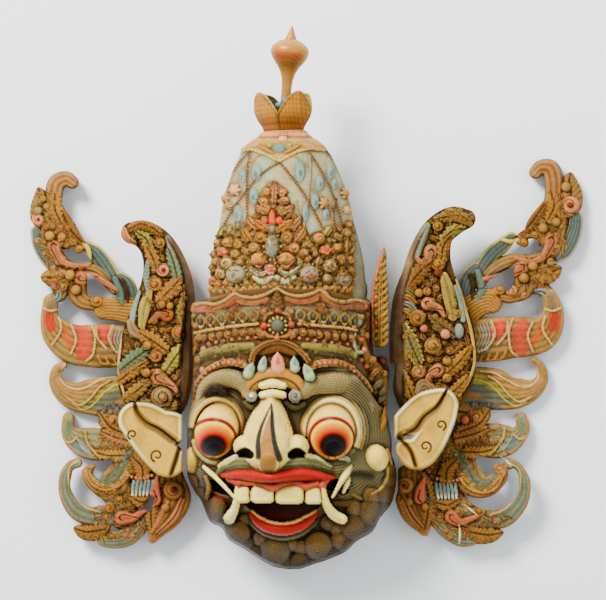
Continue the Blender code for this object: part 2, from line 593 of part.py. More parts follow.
rings = []
for rho in np.concatenate([np.linspace(0.05, 0.95, 14), [0.985]]):
    xy = MIDDLE + aim * (reach * rho)[:, None]
    rings.append(np.column_stack([xy, axis_height(xy[:, 1]) + face_rise(xy[:, 0], xy[:, 1])]))
xy = MIDDLE + aim * reach[:, None]
edge_z = axis_height(xy[:, 1]) + rise_at_edge
rings.append(mask_ring(reach, edge_z))
rings.append(mask_ring(reach - 0.35 * rim_in, edge_z * 0.5))
rings.append(mask_ring(reach - rim_in, 0.0))
rings.append(mask_ring(reach - rim_in - 12, 0.0))
rings.append(mask_ring(reach - 0.35 * rim_in - 13.5, (axis_height(xy[:, 1]) - 14) * 0.5))
for rho in np.linspace(0.97, 0.08, 8):
    inner = reach - 14.5
    xy = MIDDLE + aim * (inner * rho)[:, None]
    near = np.clip((1 - rho) * inner / 46.0, 0, 1)
    low = -16.0 + (np.interp(xy[:, 1], *HOLLOW) + 16.0) * np.sqrt(1 - (1 - near) ** 2)
    rings.append(np.column_stack([xy, axis_height(xy[:, 1]) + low]))
verts, faces = ringed(rings)
mask = body("face_mask", verts, outward(verts, faces), flesh)

# ------------------------------------------------------------------- crown
DOME = [  # sheet v, half width; the crown is a little less deep than wide
    (304, 77.5), (297.5, 78.5), (296.5, 79), (287, 79), (285.5, 77.5), (268, 76.5), (252, 74), (236, 70.5),
    (222, 67), (205, 64), (190, 60), (171, 53), (158, 47), (147, 40), (140, 31), (137, 27), (132, 21.5), (130.8, 20.5),
]
FLAT = 0.93
FOOT = lay(289.0, 304.0, 0.0)
HEAD = lay(283.6, 130.8, 0.0)


def dome_ring(v, half, grow=0.0, around=36, shift=0.0):
    t = (304.0 - v) / (304.0 - 130.8)
    c = FOOT + (HEAD - FOOT) * t
    a = np.linspace(0, 2 * math.pi, around, endpoint=False)
    lift = (half * FLAT + grow) * np.sin(a)
    y = c[1] + shift - AXIS_SLOPE * lift
    return np.column_stack([c[0] + (half + grow) * np.cos(a), y, c[2] + AXIS_SLOPE * shift + lift])


CAVITY = [(296, 66), (285, 65.5), (252, 61), (222, 54), (190, 46), (165, 34), (152, 20)]
rings = [dome_ring(v, r) for v, r in reversed(DOME)]
rings += [dome_ring(304, 66)] + [dome_ring(v, r) for v, r in CAVITY]
verts, faces = ringed(rings)
dome = body("crown_dome", verts, outward(verts, faces), crown_paint)

seat_rings = [dome_ring(304, 78.5, 0.6, shift=-0.6)] + [dome_ring(v, max(r, 78.5 if v > 285 else r), 0.6) for v, r in DOME[1:9]]
verts, faces = ringed(seat_rings)
combine(mask, body("seat", verts, outward(verts, faces), wood_dark, False), "DIFFERENCE")

# ------------------------------------------------- finial: cup and spire
UP_AXIS = (HEAD - FOOT) / np.linalg.norm(HEAD - FOOT)
OUT_AXIS = np.array([0.0, -UP_AXIS[2], UP_AXIS[1]])
OUT_AXIS -= UP_AXIS * np.dot(OUT_AXIS, UP_AXIS)
OUT_AXIS /= np.linalg.norm(OUT_AXIS)
ACROSS = np.cross(UP_AXIS, OUT_AXIS)


def turned(profile, foot, axis, around=20, wave=None):
    """Rings of (distance along the axis, radius); wave(angle, k) lifts a ring."""
    side = np.cross(axis, OUT_AXIS)
    side /= np.linalg.norm(side)
    out = np.cross(side, axis)
    a = np.linspace(0, 2 * math.pi, around, endpoint=False)
    rings = []
    for k, (h, r) in enumerate(profile):
        lift = wave(a, k) if wave else np.zeros(around)
        rings.append(
            foot + np.outer(h + lift, axis) + r * (np.outer(np.cos(a), side) + np.outer(np.sin(a), out))
        )
    return rings


CUP_FOOT = lay(283.7, 130.4, 0.0)
cup = [
    (0.0, 16.0), (0.0, 20.0), (4, 21.5), (9, 25), (14, 27.4), (21, 28.4), (30, 28.2), (37, 27.6),
    (36, 24.5), (26, 24), (16, 22.5), (9, 15), (9, 6.4),
]


def cup_wave(a, k):
    """Four petals: their tips on the diagonals, deep notches between them."""
    if not 5 <= k <= 10:
        return np.zeros_like(a)
    top = 15.5 + 22.0 * np.abs(np.sin(2 * a)) ** 0.85
    return (cup[k][0] - 14.0) * ((top - 14.0) / 23.5 - 1.0)


rings = turned(cup, CUP_FOOT, UP_AXIS, 32, cup_wave)
verts, faces = ringed(rings)
body("finial_cup", verts, outward(verts, faces), salmon)

STEM_FOOT = lay(283.8, 120.2, 0.0)
TIP = lay(292.0, 27.0, 0.0)
lean = (TIP - STEM_FOOT) / np.linalg.norm(TIP - STEM_FOOT)
spire = [
    (0.0, 4.5), (2, 5.4), (22, 5.0), (38, 5.2), (45, 7), (52, 10.4), (58, 14.8), (63, 17.8), (67.5, 19), (72, 18),
    (76, 14.2), (79, 9.2), (80.2, 5.5), (86, 3.4), (93.6, 1.0),
]
rings = turned(spire, STEM_FOOT, lean, 16)
verts, faces = ringed(rings)
body("finial_spire", verts, outward(verts, faces), gilt)

# --------------------------------------------- the small wire hanging loop
LOOP_AT = lay(300.5, 139.0, -20.0)


def wire_loop(name, wire, over, mat):
    """The ring of wire, its two ends let into the shoulder of the crown."""
    rings = []
    for angle in np.linspace(-0.25 * math.pi - over, 1.25 * math.pi + over, 13):
        away = math.cos(angle) * np.array([1.0, 0, 0]) + math.sin(angle) * UP_AXIS
        b = np.linspace(0, 2 * math.pi, 8, endpoint=False)
        rings.append(
            LOOP_AT + 8.5 * away + wire * (np.outer(np.cos(b), away) + np.outer(np.sin(b), OUT_AXIS))
        )
    verts, faces = ringed(rings)
    return body(name, verts, outward(verts, faces), mat)


combine(dome, wire_loop("loop_holes", 1.75, 0.06, wood_dark), "DIFFERENCE")
wire_loop("hanging_loop", 1.3, 0.0, iron)
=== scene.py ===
import math

import bpy
import numpy as np
from mathutils import Matrix, Vector
from mathutils.geometry import delaunay_2d_cdt


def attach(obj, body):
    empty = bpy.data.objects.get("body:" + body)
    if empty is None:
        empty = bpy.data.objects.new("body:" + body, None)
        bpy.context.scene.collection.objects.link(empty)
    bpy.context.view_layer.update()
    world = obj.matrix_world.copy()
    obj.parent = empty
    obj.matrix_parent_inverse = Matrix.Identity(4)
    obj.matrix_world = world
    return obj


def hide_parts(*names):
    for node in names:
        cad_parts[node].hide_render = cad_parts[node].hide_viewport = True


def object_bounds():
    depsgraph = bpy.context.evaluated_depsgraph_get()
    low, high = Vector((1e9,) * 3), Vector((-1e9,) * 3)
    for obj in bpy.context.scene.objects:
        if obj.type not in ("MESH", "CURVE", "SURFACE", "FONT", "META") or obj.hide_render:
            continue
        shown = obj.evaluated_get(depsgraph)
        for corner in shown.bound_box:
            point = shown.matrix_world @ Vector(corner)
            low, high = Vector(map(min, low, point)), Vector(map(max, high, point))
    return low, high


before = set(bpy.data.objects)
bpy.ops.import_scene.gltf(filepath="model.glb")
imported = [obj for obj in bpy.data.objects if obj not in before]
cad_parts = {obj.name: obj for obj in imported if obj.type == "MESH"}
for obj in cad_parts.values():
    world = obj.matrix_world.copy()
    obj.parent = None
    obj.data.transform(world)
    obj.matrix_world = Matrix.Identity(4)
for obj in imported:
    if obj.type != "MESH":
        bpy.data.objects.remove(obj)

CAD_BOX = [[float(a) for a in corner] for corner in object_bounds()]

# ------------------------------------------------------------- the sheet
# The same drawing sheet as the solids: (u, v) on a 606 x 600 sheet, laid down
# at a height over the crown's axis plane, in mm.
SIDE_TURN, END_TURN, SHEET_TURN = (math.radians(a) for a in (10.5, -2.5, 1.0))
SHEET_REACH = 1700.0
AXIS_HEIGHT, AXIS_SLOPE = 75.8, 0.096
AIM = (16.09, -0.36)


def sheet_axes():
    back = np.array([
        math.sin(SIDE_TURN) * math.cos(END_TURN),
        math.sin(END_TURN),
        math.cos(SIDE_TURN) * math.cos(END_TURN),
    ])
    right = np.cross(-back, [0.0, 1.0, 0.0])
    right /= np.linalg.norm(right)
    up = np.cross(right, -back)
    c, s = math.cos(SHEET_TURN), math.sin(SHEET_TURN)
    return back, c * right - s * up, s * right + c * up


BACK, RIGHT, UP = sheet_axes()
STATION = np.array([AIM[0], AIM[1], AXIS_HEIGHT]) + SHEET_REACH * BACK


def lay(u, v, rise):
    u, v, rise = np.broadcast_arrays(*(np.asarray(a, float) for a in (u, v, rise)))
    ray = (
        -BACK * SHEET_REACH
        + RIGHT * (u - 303.0)[..., None]
        + UP * (300.0 - v)[..., None]
    )
    t = (AXIS_HEIGHT + AXIS_SLOPE * STATION[1] + rise - STATION[2]) / (
        ray[..., 2] - AXIS_SLOPE * ray[..., 1]
    )
    return STATION + ray * t[..., None]


def read_off(points):
    """Sheet position (u, v) of part points in mm."""
    d = np.asarray(points, float) - STATION
    depth = -(d @ BACK)
    return 303.0 + SHEET_REACH * (d @ RIGHT) / depth, 300.0 - SHEET_REACH * (d @ UP) / depth


def axis_height(y):
    return AXIS_HEIGHT + AXIS_SLOPE * y


def smooth(a, b, x):
    t = np.clip((x - a) / (b - a), 0.0, 1.0)
    return t * t * (3 - 2 * t)


def curve(stations, step=1.0):
    p = np.array(stations, float)
    if len(p) == 1:
        return p
    ends = np.vstack([2 * p[0] - p[1], p, 2 * p[-1] - p[-2]])
    rows = []
    for i in range(1, len(ends) - 2):
        a, b, c, d = ends[i - 1 : i + 3]
        n = max(2, int(np.hypot(*(c - b)[:2]) / step))
        t = (np.arange(n) / n)[:, None]
        rows.append(0.5 * (
            2 * b + (c - a) * t + (2 * a - 5 * b + 4 * c - d) * t * t
            + (3 * b - a - 3 * c + d) * t ** 3
        ))
    rows.append(p[-1:])
    return np.vstack(rows)


def inside_strokes(u, v, strokes, step=1.5):
    best = np.full(np.shape(u), 1e9, np.float32)
    for stations in strokes:
        p = curve(stations, step)
        pad = 14.0
        lo = (p[:, :2] - p[:, 2:3]).min(0) - pad
        hi = (p[:, :2] + p[:, 2:3]).max(0) + pad
        near = (u > lo[0]) & (u < hi[0]) & (v > lo[1]) & (v < hi[1])
        if not near.any():
            continue
        a, b = u[near], v[near]
        got = np.full(a.shape, 1e9)
        for q in p:
            got = np.minimum(got, np.hypot(a - q[0], b - q[1]) - q[2])
        best[near] = np.minimum(best[near], got)
    return best


# ---------------------------------------------------------------- colours
def tone(r, g, b):
    """A paint colour from its 0-255 display values, as scene-linear light."""
    c = np.array([r, g, b]) / 255.0
    return np.where(c <= 0.04045, c / 12.92, ((c + 0.055) / 1.055) ** 2.4)


GOLD = tone(172, 126, 62)
GOLD_DARK = tone(112, 78, 38)
GOLD_PALE = tone(206, 172, 108)
TAN = tone(178, 148, 104)
PINK = tone(214, 142, 118)
SALMON = tone(206, 112, 84)
RED = tone(190, 58, 44)
RED_DEEP = tone(120, 28, 18)
BLUE = tone(134, 150, 148)
BLUE_DEEP = tone(92, 116, 120)
GREEN = tone(128, 130, 84)
GREEN_DEEP = tone(84, 92, 62)
YELLOW = tone(204, 184, 84)
CREAM = tone(236, 218, 160)
CREAM_PALE = tone(248, 238, 202)
OCHRE = tone(206, 164, 84)
HAIR = tone(104, 94, 66)
HAIR_DARK = tone(58, 48, 30)
HAIR_PALE = tone(150, 140, 108)
GREY = tone(152, 146, 122)
BLACK = tone(30, 26, 28)
BROWN = tone(104, 66, 36)
UMBER = tone(52, 32, 18)
WOOD_RAW = tone(226, 214, 166)


def mix(a, b, k):
    k = np.asarray(k)[..., None]
    return a * (1 - k) + b * k


def soft_noise(shape, cell, grain, seed):
    """Even-tempered smooth noise, 0 to 1, with features about `grain` mm wide."""
    rng = np.random.default_rng(seed)
    n = max(1.0, grain / cell)
    a, b = int(shape[0] / n) + 3, int(shape[1] / n) + 3
    knots = rng.random((a, b))
    x = np.arange(shape[0]) / n
    y = np.arange(shape[1]) / n
    i, j = x.astype(int), y.astype(int)
    fx, fy = (x - i)[:, None], (y - j)[None, :]
    fx, fy = fx * fx * (3 - 2 * fx), fy * fy * (3 - 2 * fy)
    k00, k10 = knots[i][:, j], knots[i + 1][:, j]
    k01, k11 = knots[i][:, j + 1], knots[i + 1][:, j + 1]
    return (k00 * (1 - fx) + k10 * fx) * (1 - fy) + (k01 * (1 - fx) + k11 * fx) * fy


def blurred(a, n):
    """Box blur over 2n+1 cells each way, twice."""
    for _ in range(2):
        for axis in (0, 1):
            pad = [(0, 0), (0, 0)]
            pad[axis] = (n + 1, n)
            c = np.cumsum(np.pad(a, pad, mode="edge"), axis=axis)
            m = a.shape[axis]
            if axis == 0:
                a = (c[2 * n + 1 :][:m] - c[:m]) / (2 * n + 1)
            else:
                a = (c[:, 2 * n + 1 :][:, :m] - c[:, :m]) / (2 * n + 1)
    return a


class Relief:
    """A net of points over the sheet with a carved height and a paint colour each."""

    def __init__(self, box, cell, height, colour):
        self.cell = cell
        self.us = np.arange(box[0], box[2] + cell, cell)
        self.vs = np.arange(box[1], box[3] + cell, cell)
        self.u, self.v = np.meshgrid(self.us, self.vs, indexing="ij")
        self.h = np.zeros(self.u.shape) + height
        self.c = np.zeros(self.u.shape + (3,)) + colour
        self.soft = 0.0

    def window(self, lo_u, lo_v, hi_u, hi_v):
        i0, i1 = np.searchsorted(self.us, [lo_u, hi_u])
        j0, j1 = np.searchsorted(self.vs, [lo_v, hi_v])
        return (slice(max(i0 - 1, 0), i1 + 1), slice(max(j0 - 1, 0), j1 + 1))

    def near(self, stations, grow=1.0):
        """Window and stroke coordinates: distance and side in half widths, length along."""
        p = curve(stations, max(self.cell, 0.9))
        r = p[:, 2] * grow
        lo, hi = (p[:, :2] - r[:, None]).min(0) - 1, (p[:, :2] + r[:, None]).max(0) + 1
        w = self.window(lo[0], lo[1], hi[0], hi[1])
        u, v = self.u[w], self.v[w]
        best = np.full(u.shape, 1e9)
        k = np.zeros(u.shape, int)
        for n, q in enumerate(p):
            d = ((u - q[0]) ** 2 + (v - q[1]) ** 2) / (q[2] * q[2] + 1e-9)
            m = d < best
            best[m] = d[m]
            k[m] = n
        tangent = np.gradient(p[:, :2], axis=0) if len(p) > 1 else np.array([[1.0, 0.0]])
        tangent /= np.linalg.norm(tangent, axis=1)[:, None] + 1e-9
        run = np.concatenate([[0], np.cumsum(np.hypot(*np.diff(p[:, :2], axis=0).T))]) if len(p) > 1 else np.zeros(1)
        du, dv = u - p[k, 0], v - p[k, 1]
        side = (tangent[k, 0] * dv - tangent[k, 1] * du) / p[k, 2]
        self.lift = p[k, 3] if p.shape[1] > 3 else 0.0
        along = run[k] + np.where((k == 0) | (k == len(p) - 1), tangent[k, 0] * du + tangent[k, 1] * dv, 0)
        return w, np.sqrt(best), side, along, p[k, 2], run[-1]

    def put(self, w, where, height, colour, over=False):
        h, c = self.h[w], self.c[w]
        height = np.broadcast_to(height, h.shape)
        if self.soft and not over:  # run into what is there with a rounded join
            d = np.clip((height - h) / self.soft, -1, 1)
            joined_up = np.maximum(h, height) + self.soft * (1 - np.abs(d)) ** 2 / 4
            k = np.where(where, smooth(-0.35, 0.35, d), 0.0)
            fade = smooth(0.0, 1.0, (height - h) / self.soft + 1.0)
            h[where] = (h * (1 - fade) + joined_up * fade)[where]
            if colour is not None:
                c[...] = mix(c, np.broadcast_to(colour, c.shape), k)
            return
        m = where if over else where & (height > h)
        h[m] = height[m]
        if colour is not None:
            c[m] = np.broadcast_to(colour, c.shape)[m]

    def rib(self, stations, base, top, colour, grooves=0, deep=0.6, edge=None, teeth=None,
            beads=None, power=0.5, over=False, tip=None, line=None, barbs=None):
        """A raised stroke. grooves run along it, teeth (pitch, depth) nick its sides,
        beads (pitch, place, radius, colour) dot it, edge (width, colour) borders it."""
        grow = 1.0 + (teeth[1] if teeth else 0)
        w, t, side, along, r, length = self.near(stations, grow)
        if teeth:
            saw = np.mod(along / teeth[0], 1.0)
            t = t / (1 - teeth[1] * 0.5 + teeth[1] * saw)
        inside = t < 1
        tt = np.clip(t, 0, 1)
        h = base + self.lift + top * (1 - tt * tt) ** power
        col = np.broadcast_to(colour, h.shape + (3,)).copy()
        if tip is not None:
            col = mix(col, tip[1], smooth(tip[0], 1.0, along / max(length, 1e-6)))
        # grooves are also painted darker where they sink: painted shade in the cuts
        if grooves:
            g = 0.5 - 0.5 * np.cos(2 * math.pi * grooves * (side + 1) / 2)
            h = h - deep * (1 - g) * (tt < 0.94)
            col = mix(col, col * 0.62, (1 - g) ** 2 * 0.8)
        # barb notches are also painted darker where they sink: painted shade in the cuts
        if barbs:
            g = 0.5 - 0.5 * np.cos(2 * math.pi * (along / barbs[0] + barbs[1] * np.abs(side)))
            h = h - barbs[2] * (1 - g) ** 2 * (tt < 0.9)
            col = mix(col, col * 0.6, (1 - g) ** 3 * 0.6)
        if edge:
            m = smooth(1 - edge[0] / r, 1 - edge[0] / r + 0.12, tt)
            col = mix(col, edge[1], m)
            h = h + 0.5 * m * (tt < 0.97)
        if line:
            for place, width, tint in line:
                m = np.exp(-(((side - place) * r) / width) ** 2)
                h = h - 0.55 * m
                col = mix(col, tint, np.clip(m * 1.1, 0, 1))
        if beads:
            pitch, place, radius, tint = beads
            for q in ([place, -place] if place else [0.0]):
                du = np.mod(along, pitch) - pitch / 2
                dv = (side - q) * r
                m = 1 - (du * du + dv * dv) / (radius * radius)
                h = h + np.where(m > 0, radius * 0.8 * np.sqrt(np.clip(m, 0, 1)), 0)
                col = np.where((m > 0)[..., None], tint, col)
        self.put(w, inside, h, col, over)

    def tooth(self, u0, u1, v0, v1, base, top, colour, lean=0.0):
        cu, cv, ru, rv = (u0 + u1) / 2, (v0 + v1) / 2, (u1 - u0) / 2, (v1 - v0) / 2
        w = self.window(u0 - 1, v0 - 1, u1 + 1, v1 + 1)
        du, dv = (self.u[w] - cu) / ru, (self.v[w] - cv) / rv
        q = np.abs(du) ** 4 + np.abs(dv) ** np.where(dv < 0, 2.4, 6)
        h = base + top * np.clip(1 - q, 0, 1) ** 0.4 - 1.4 * du * du
        # darker ochre towards each tooth's rim and its top under the lip: painted shade
        col = mix(np.broadcast_to(colour, q.shape + (3,)), OCHRE, smooth(0.35, 1.0, q) * 0.5 + 0.25 * smooth(0.2, -1.0, dv))
        self.put(w, q < 1, h, col)

    def ball(self, u0, v0, r, base, colour, ry=None, top=None, over=False):
        ry = ry or r
        w = self.window(u0 - r, v0 - ry, u0 + r, v0 + ry)
        q = ((self.u[w] - u0) / r) ** 2 + ((self.v[w] - v0) / ry) ** 2
        h = base + (top if top is not None else r) * np.sqrt(np.clip(1 - q, 0, 1))
        self.put(w, q < 1, h, colour, over)

    def dent(self, stations, deep, colour=None, power=1.0, strength=1.0):
        """A groove or socket sunk below what is there."""
        w, t, side, along, r, length = self.near(stations)
        m = np.clip(1 - t * t, 0, 1) ** power
        self.h[w] -= deep * m
        if colour is not None:
            self.c[w] = mix(self.c[w], colour, np.clip(m * 1.6 * strength, 0, 1))

    def seam(self, path, half=1.3, high=1.3, tint=GOLD_PALE, pearls=0.0, pearl_tint=None):
        """A raised line that rides over the carving, with pearls along it if wanted."""
        line = [(a, b, half) for a, b in path]
        self.dent(line, -high, tint, power=0.8, strength=0.7)
        if pearls:
            dense = curve(line, 0.5)
            run = np.concatenate([[0], np.cumsum(np.hypot(*np.diff(dense[:, :2], axis=0).T))])
            for at in np.arange(pearls / 2, run[-1], pearls):
                q = dense[np.searchsorted(run, at)]
                self.dent([(q[0], q[1], half * 1.15)], -0.9, pearl_tint if pearl_tint is not None else tint, power=0.6, strength=0.9)

    def scrolls(self, inside, seed, pitch, base, high, tints, box, riding=False, share=1.0):
        """Low scrollwork that fills a ground: small curls and leaves, a little uneven."""
        rng = np.random.default_rng(seed)
        row = 0
        for v0 in np.arange(box[1], box[3], pitch * 0.87):
            row += 1
            for u0 in np.arange(box[0] + (row % 2) * pitch / 2, box[2], pitch):
                a, b = u0 + rng.normal() * pitch * 0.10, v0 + rng.normal() * pitch * 0.10
                kind, turn, tint = rng.random(), rng.random() * 6.28, tints[int(rng.integers(len(tints)))]
                if rng.random() > share or not inside(np.array(a), np.array(b)):
                    continue
                r = pitch * (0.50 + 0.10 * rng.random())
                if riding:
                    base = float(self.h[np.argmin(np.abs(self.us - a)), np.argmin(np.abs(self.vs - b))]) - 0.7
                if kind < 0.5:
                    self.curl(a, b, r, base, tint, sense=1 if kind < 0.25 else -1, start=turn, turns=1.3, top=high)
                else:
                    du, dv = math.cos(turn) * r, math.sin(turn) * r
                    self.rib([(a - du, b - dv, r * 0.3), (a + dv * 0.2, b - du * 0.2, r * 0.62), (a + du, b + dv, r * 0.16)], base, high, tint,
                             teeth=(2.8, 0.26), line=[(0, 0.6, UMBER)], barbs=(2.8, 0.8, 0.35))

    def paint(self, stations, colour, strength=1.0, soft=0.35):
        w, t, side, along, r, length = self.near(stations)
        self.c[w] = mix(self.c[w], colour, strength * smooth(1.0, 1.0 - soft, t))

    def curl(self, u0, v0, r, base, colour, sense=1, start=0.0, turns=1.6, wire=None, eye=None, top=None):
        """A raised spiral: a disc with a sunk spiral line and a boss at its eye."""
        top = top if top is not None else r * 0.55
        w = self.window(u0 - r, v0 - r, u0 + r, v0 + r)
        du, dv = self.u[w] - u0, self.v[w] - v0
        q = np.hypot(du, dv) / r
        a = np.mod(sense * np.arctan2(dv, du) - start, 2 * math.pi) / (2 * math.pi)
        phase = np.mod(turns * (1 - q) + a, 1.0)
        groove = np.exp(-((np.minimum(phase, 1 - phase)) * r / turns / 0.62) ** 2) * (q > 0.24) * (q < 0.95)
        h = base + top * np.sqrt(np.clip(1 - q * q, 0, 1)) - 0.9 * groove
        h = h + np.where(q < 0.26, 0.5 * top * np.sqrt(np.clip(1 - (q / 0.26) ** 2, 0, 1)), 0)
        # the sunk spiral line painted dark: painted shade in the groove
        col = mix(np.broadcast_to(colour, q.shape + (3,)), UMBER, 0.75 * groove)
        if eye is not None:
            col = np.where((q < 0.3)[..., None], eye, col)
        self.put(w, q < 1, h, col)

    def comma(self, stations, base, top, colour, eye=RED_DEEP, sense=1):
        """A comma scroll: a tail that swells into a round head with a sunk hook."""
        colour = mix(colour, tone(160, 112, 66), 0.45)
        self.rib(stations, base, top, colour, power=0.6, grooves=2, deep=0.35)
        p = curve(stations, 1.0)
        end, before = p[-1], p[max(len(p) - 6, 0)]
        d = (end - before)[:2]
        d /= np.linalg.norm(d) + 1e-9
        n = np.array([-d[1], d[0]]) * sense
        r = end[2]
        hook = [(*(before[:2] - d * r * 1.6 - n * 0.1 * r), 0.7), (*(end[:2] - d * 0.2 * r - n * 0.45 * r), 0.9),
                (*(end[:2] + d * 0.35 * r), 1.0), (*(end[:2] + n * 0.35 * r), 0.9)]
        self.dent(hook, 1.6, eye)

    def age_and_shade(self, seed, grime_and_shade=UMBER, dark=0.8, fade=0.12, reach=3.0, depth=1.3, dull=0.0, shade=1.0):
        """Grime and painted shade in the hollows, rubbed paint and a painted highlight on the heights, uneven fading.
        """
        n = max(1, int(round(reach / self.cell)))
        off = self.h - blurred(self.h, n)
        off2 = self.h - blurred(self.h, max(1, n // 2))
        low = np.clip(-off / depth, 0, 1) * 0.65 + np.clip(-off2 / (depth * 0.5), 0, 1) * 0.35
        high = np.clip(off / depth, 0, 1)
        shape = self.h.shape
        blot = soft_noise(shape, self.cell, 9, seed) * 0.6 + soft_noise(shape, self.cell, 3, seed + 1) * 0.4
        fine = soft_noise(shape, self.cell, 1.3, seed + 2)
        rub = soft_noise(shape, self.cell, 5, seed + 3)
        self.c = mix(self.c, tone(134, 100, 58), dull * (0.45 + 0.75 * rub)) * shade
        # the hollows darkened towards umber: dirt and painted shade
        self.c = mix(self.c, grime_and_shade, np.clip(low * dark, 0, 0.92))
        # the heights lightened: rubbed paint and a painted highlight
        self.c = self.c * (1 + 0.22 * high[..., None])
        self.c = self.c * (1 + fade * (blot - 0.5)[..., None] * 2) * (0.93 + 0.14 * fine[..., None])
        self.c = mix(self.c, grime_and_shade, smooth(0.68, 0.9, blot * 0.7 + fine * 0.3) * 0.22)
        self.c = np.clip(self.c, 0, 1) ** 1.20 * np.array([0.98, 1.0, 1.02])
        self.c = np.clip(self.c, 0, 1)


def clipped(us, vs, f):
    """Triangles of the part of a net where f < 0, cut along f = 0.

    Returns point positions, which net point or cut each is, the triangles and
    the border edges in order of turn."""
    ni, nj = f.shape
    f = np.where(np.abs(f) < 1e-5, 1e-5, f)
    ins = f < 0
    idx = np.full((ni, nj), -1)
    idx[ins] = np.arange(ins.sum())
    gi, gj = np.nonzero(ins)
    pts = [np.column_stack([us[gi], vs[gj]])]
    refs = [np.column_stack([gi, gj, gi, gj, np.zeros(len(gi))])]
    count = len(gi)

    def cuts(di, dj):
        nonlocal count
        a, b = f[: ni - di, : nj - dj], f[di:, dj:]
        m = (a < 0) != (b < 0)
        i, j = np.nonzero(m)
        t = a[m] / (a[m] - b[m])
        table = np.full((ni, nj), -1)
        table[i, j] = count + np.arange(len(i))
        count += len(i)
        pts.append(np.column_stack([us[i] + t * (us[i + di] - us[i]), vs[j] + t * (vs[j + dj] - vs[j])]))
        refs.append(np.column_stack([i, j, i + di, j + dj, t]))
        return table

    ch, cv, cd = cuts(1, 0), cuts(0, 1), cuts(1, 1)
    i, j = np.meshgrid(np.arange(ni - 1), np.arange(nj - 1), indexing="ij")
    i, j = i.ravel(), j.ravel()
    tris, border = [], []
    for corners, sides in (
        (((i, j), (i + 1, j), (i + 1, j + 1)), (ch[i, j], cv[i + 1, j], cd[i, j])),
        (((i, j), (i + 1, j + 1), (i, j + 1)), (cd[i, j], ch[i, j + 1], cv[i, j])),
    ):
        k = [idx[c] for c in corners]
        s = [ins[c] for c in corners]
        whole = s[0] & s[1] & s[2]
        tris.append(np.column_stack([x[whole] for x in k]))
        for r in range(3):
            a, b, c = r, (r + 1) % 3, (r + 2) % 3
            one = s[a] & ~s[b] & ~s[c]
            ab, ca = sides[a][one], sides[c][one]
            tris.append(np.column_stack([k[a][one], ab, ca]))
            border.append(np.column_stack([ab, ca]))
            two = s[a] & s[b] & ~s[c]
            bc, ca = sides[b][two], sides[c][two]
            tris.append(np.column_stack([k[a][two], k[b][two], bc]))
            tris.append(np.column_stack([k[a][two], bc, ca]))
            border.append(np.column_stack([bc, ca]))
    return np.vstack(pts), np.vstack(refs), np.vstack(tris), np.vstack(border)


def sampled(a, refs):
    i, j, k, m = (refs[:, n].astype(int) for n in range(4))
    t = refs[:, 4]
    if a.ndim == 3:
        t = t[:, None]
    return a[i, j] * (1 - t) + a[k, m] * t


def make_piece(name, verts_mm, tris, colours, mat, node=None, smooth_faces=True):
    mesh = bpy.data.meshes.new(name)
    v = np.clip(np.asarray(verts_mm, float) * 0.001, np.array(CAD_BOX[0]) + 2e-5, np.array(CAD_BOX[1]) - 2e-5)
    tris = np.asarray(tris, int)
    a, b, c = v[tris[:, 0]], v[tris[:, 1]], v[tris[:, 2]]
    if np.einsum("ij,ij->", a, np.cross(b, c)) < 0:
        tris = tris[:, ::-1]
    mesh.vertices.add(len(v))
    mesh.vertices.foreach_set("co", v.ravel())
    mesh.loops.add(tris.size)
    mesh.loops.foreach_set("vertex_index", tris.ravel().astype(np.int32))
    mesh.polygons.add(len(tris))
    mesh.polygons.foreach_set("loop_start", np.arange(0, tris.size, 3, dtype=np.int32))
    mesh.polygons.foreach_set("loop_total", np.full(len(tris), 3, np.int32))
    mesh.polygons.foreach_set("use_smooth", np.full(len(tris), smooth_faces))
    mesh.update(calc_edges=True)
    paint = mesh.color_attributes.new(name="paint", type="FLOAT_COLOR", domain="POINT")
    rgba = np.ones((len(v), 4), np.float32)
    rgba[:, :3] = np.clip(colours, 0, 1) ** 1.20 * np.array([0.92, 0.98, 0.84])
    paint.data.foreach_set("color", rgba.ravel())
    mesh.materials.append(mat)
    made = bpy.data.objects.new(name, mesh)
    bpy.context.scene.collection.objects.link(made)
    if node:
        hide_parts(node)
    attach(made, "root")
    return made


def joined(parts):
    """Several (verts, tris, colours) as one set."""
    vs, ts, cs, n = [], [], [], 0
    for v, t, c in parts:
        v = np.asarray(v, float)
        vs.append(v)
        ts.append(np.asarray(t, int) + n)
        cs.append(np.broadcast_to(c, (len(v), 3)))
        n += len(v)
    return np.vstack(vs), np.vstack(ts), np.vstack(cs)


def panel_mesh(relief, f, front, back, back_colour, side_colour):
    """A closed board: carved front, plain back, walls between."""
    pts, refs, tris, border = clipped(relief.us, relief.vs, f)
    n = len(pts)
    z = sampled(front, refs)
    low = sampled(back, refs)
    low = np.minimum(low, z - 1.0)
    top = lay(pts[:, 0], pts[:, 1], z)
    under = lay(pts[:, 0], pts[:, 1], low)
    col = sampled(relief.c, refs)
    walls = np.vstack([
        np.column_stack([border[:, 1], border[:, 0], n + border[:, 0]]),
        np.column_stack([border[:, 1], n + border[:, 0], n + border[:, 1]]),
    ])
    verts = np.vstack([top, under])
    all_tris = np.vstack([tris, n + tris[:, ::-1], walls])
    return verts, all_tris, np.vstack([col, np.broadcast_to(back_colour, col.shape)])


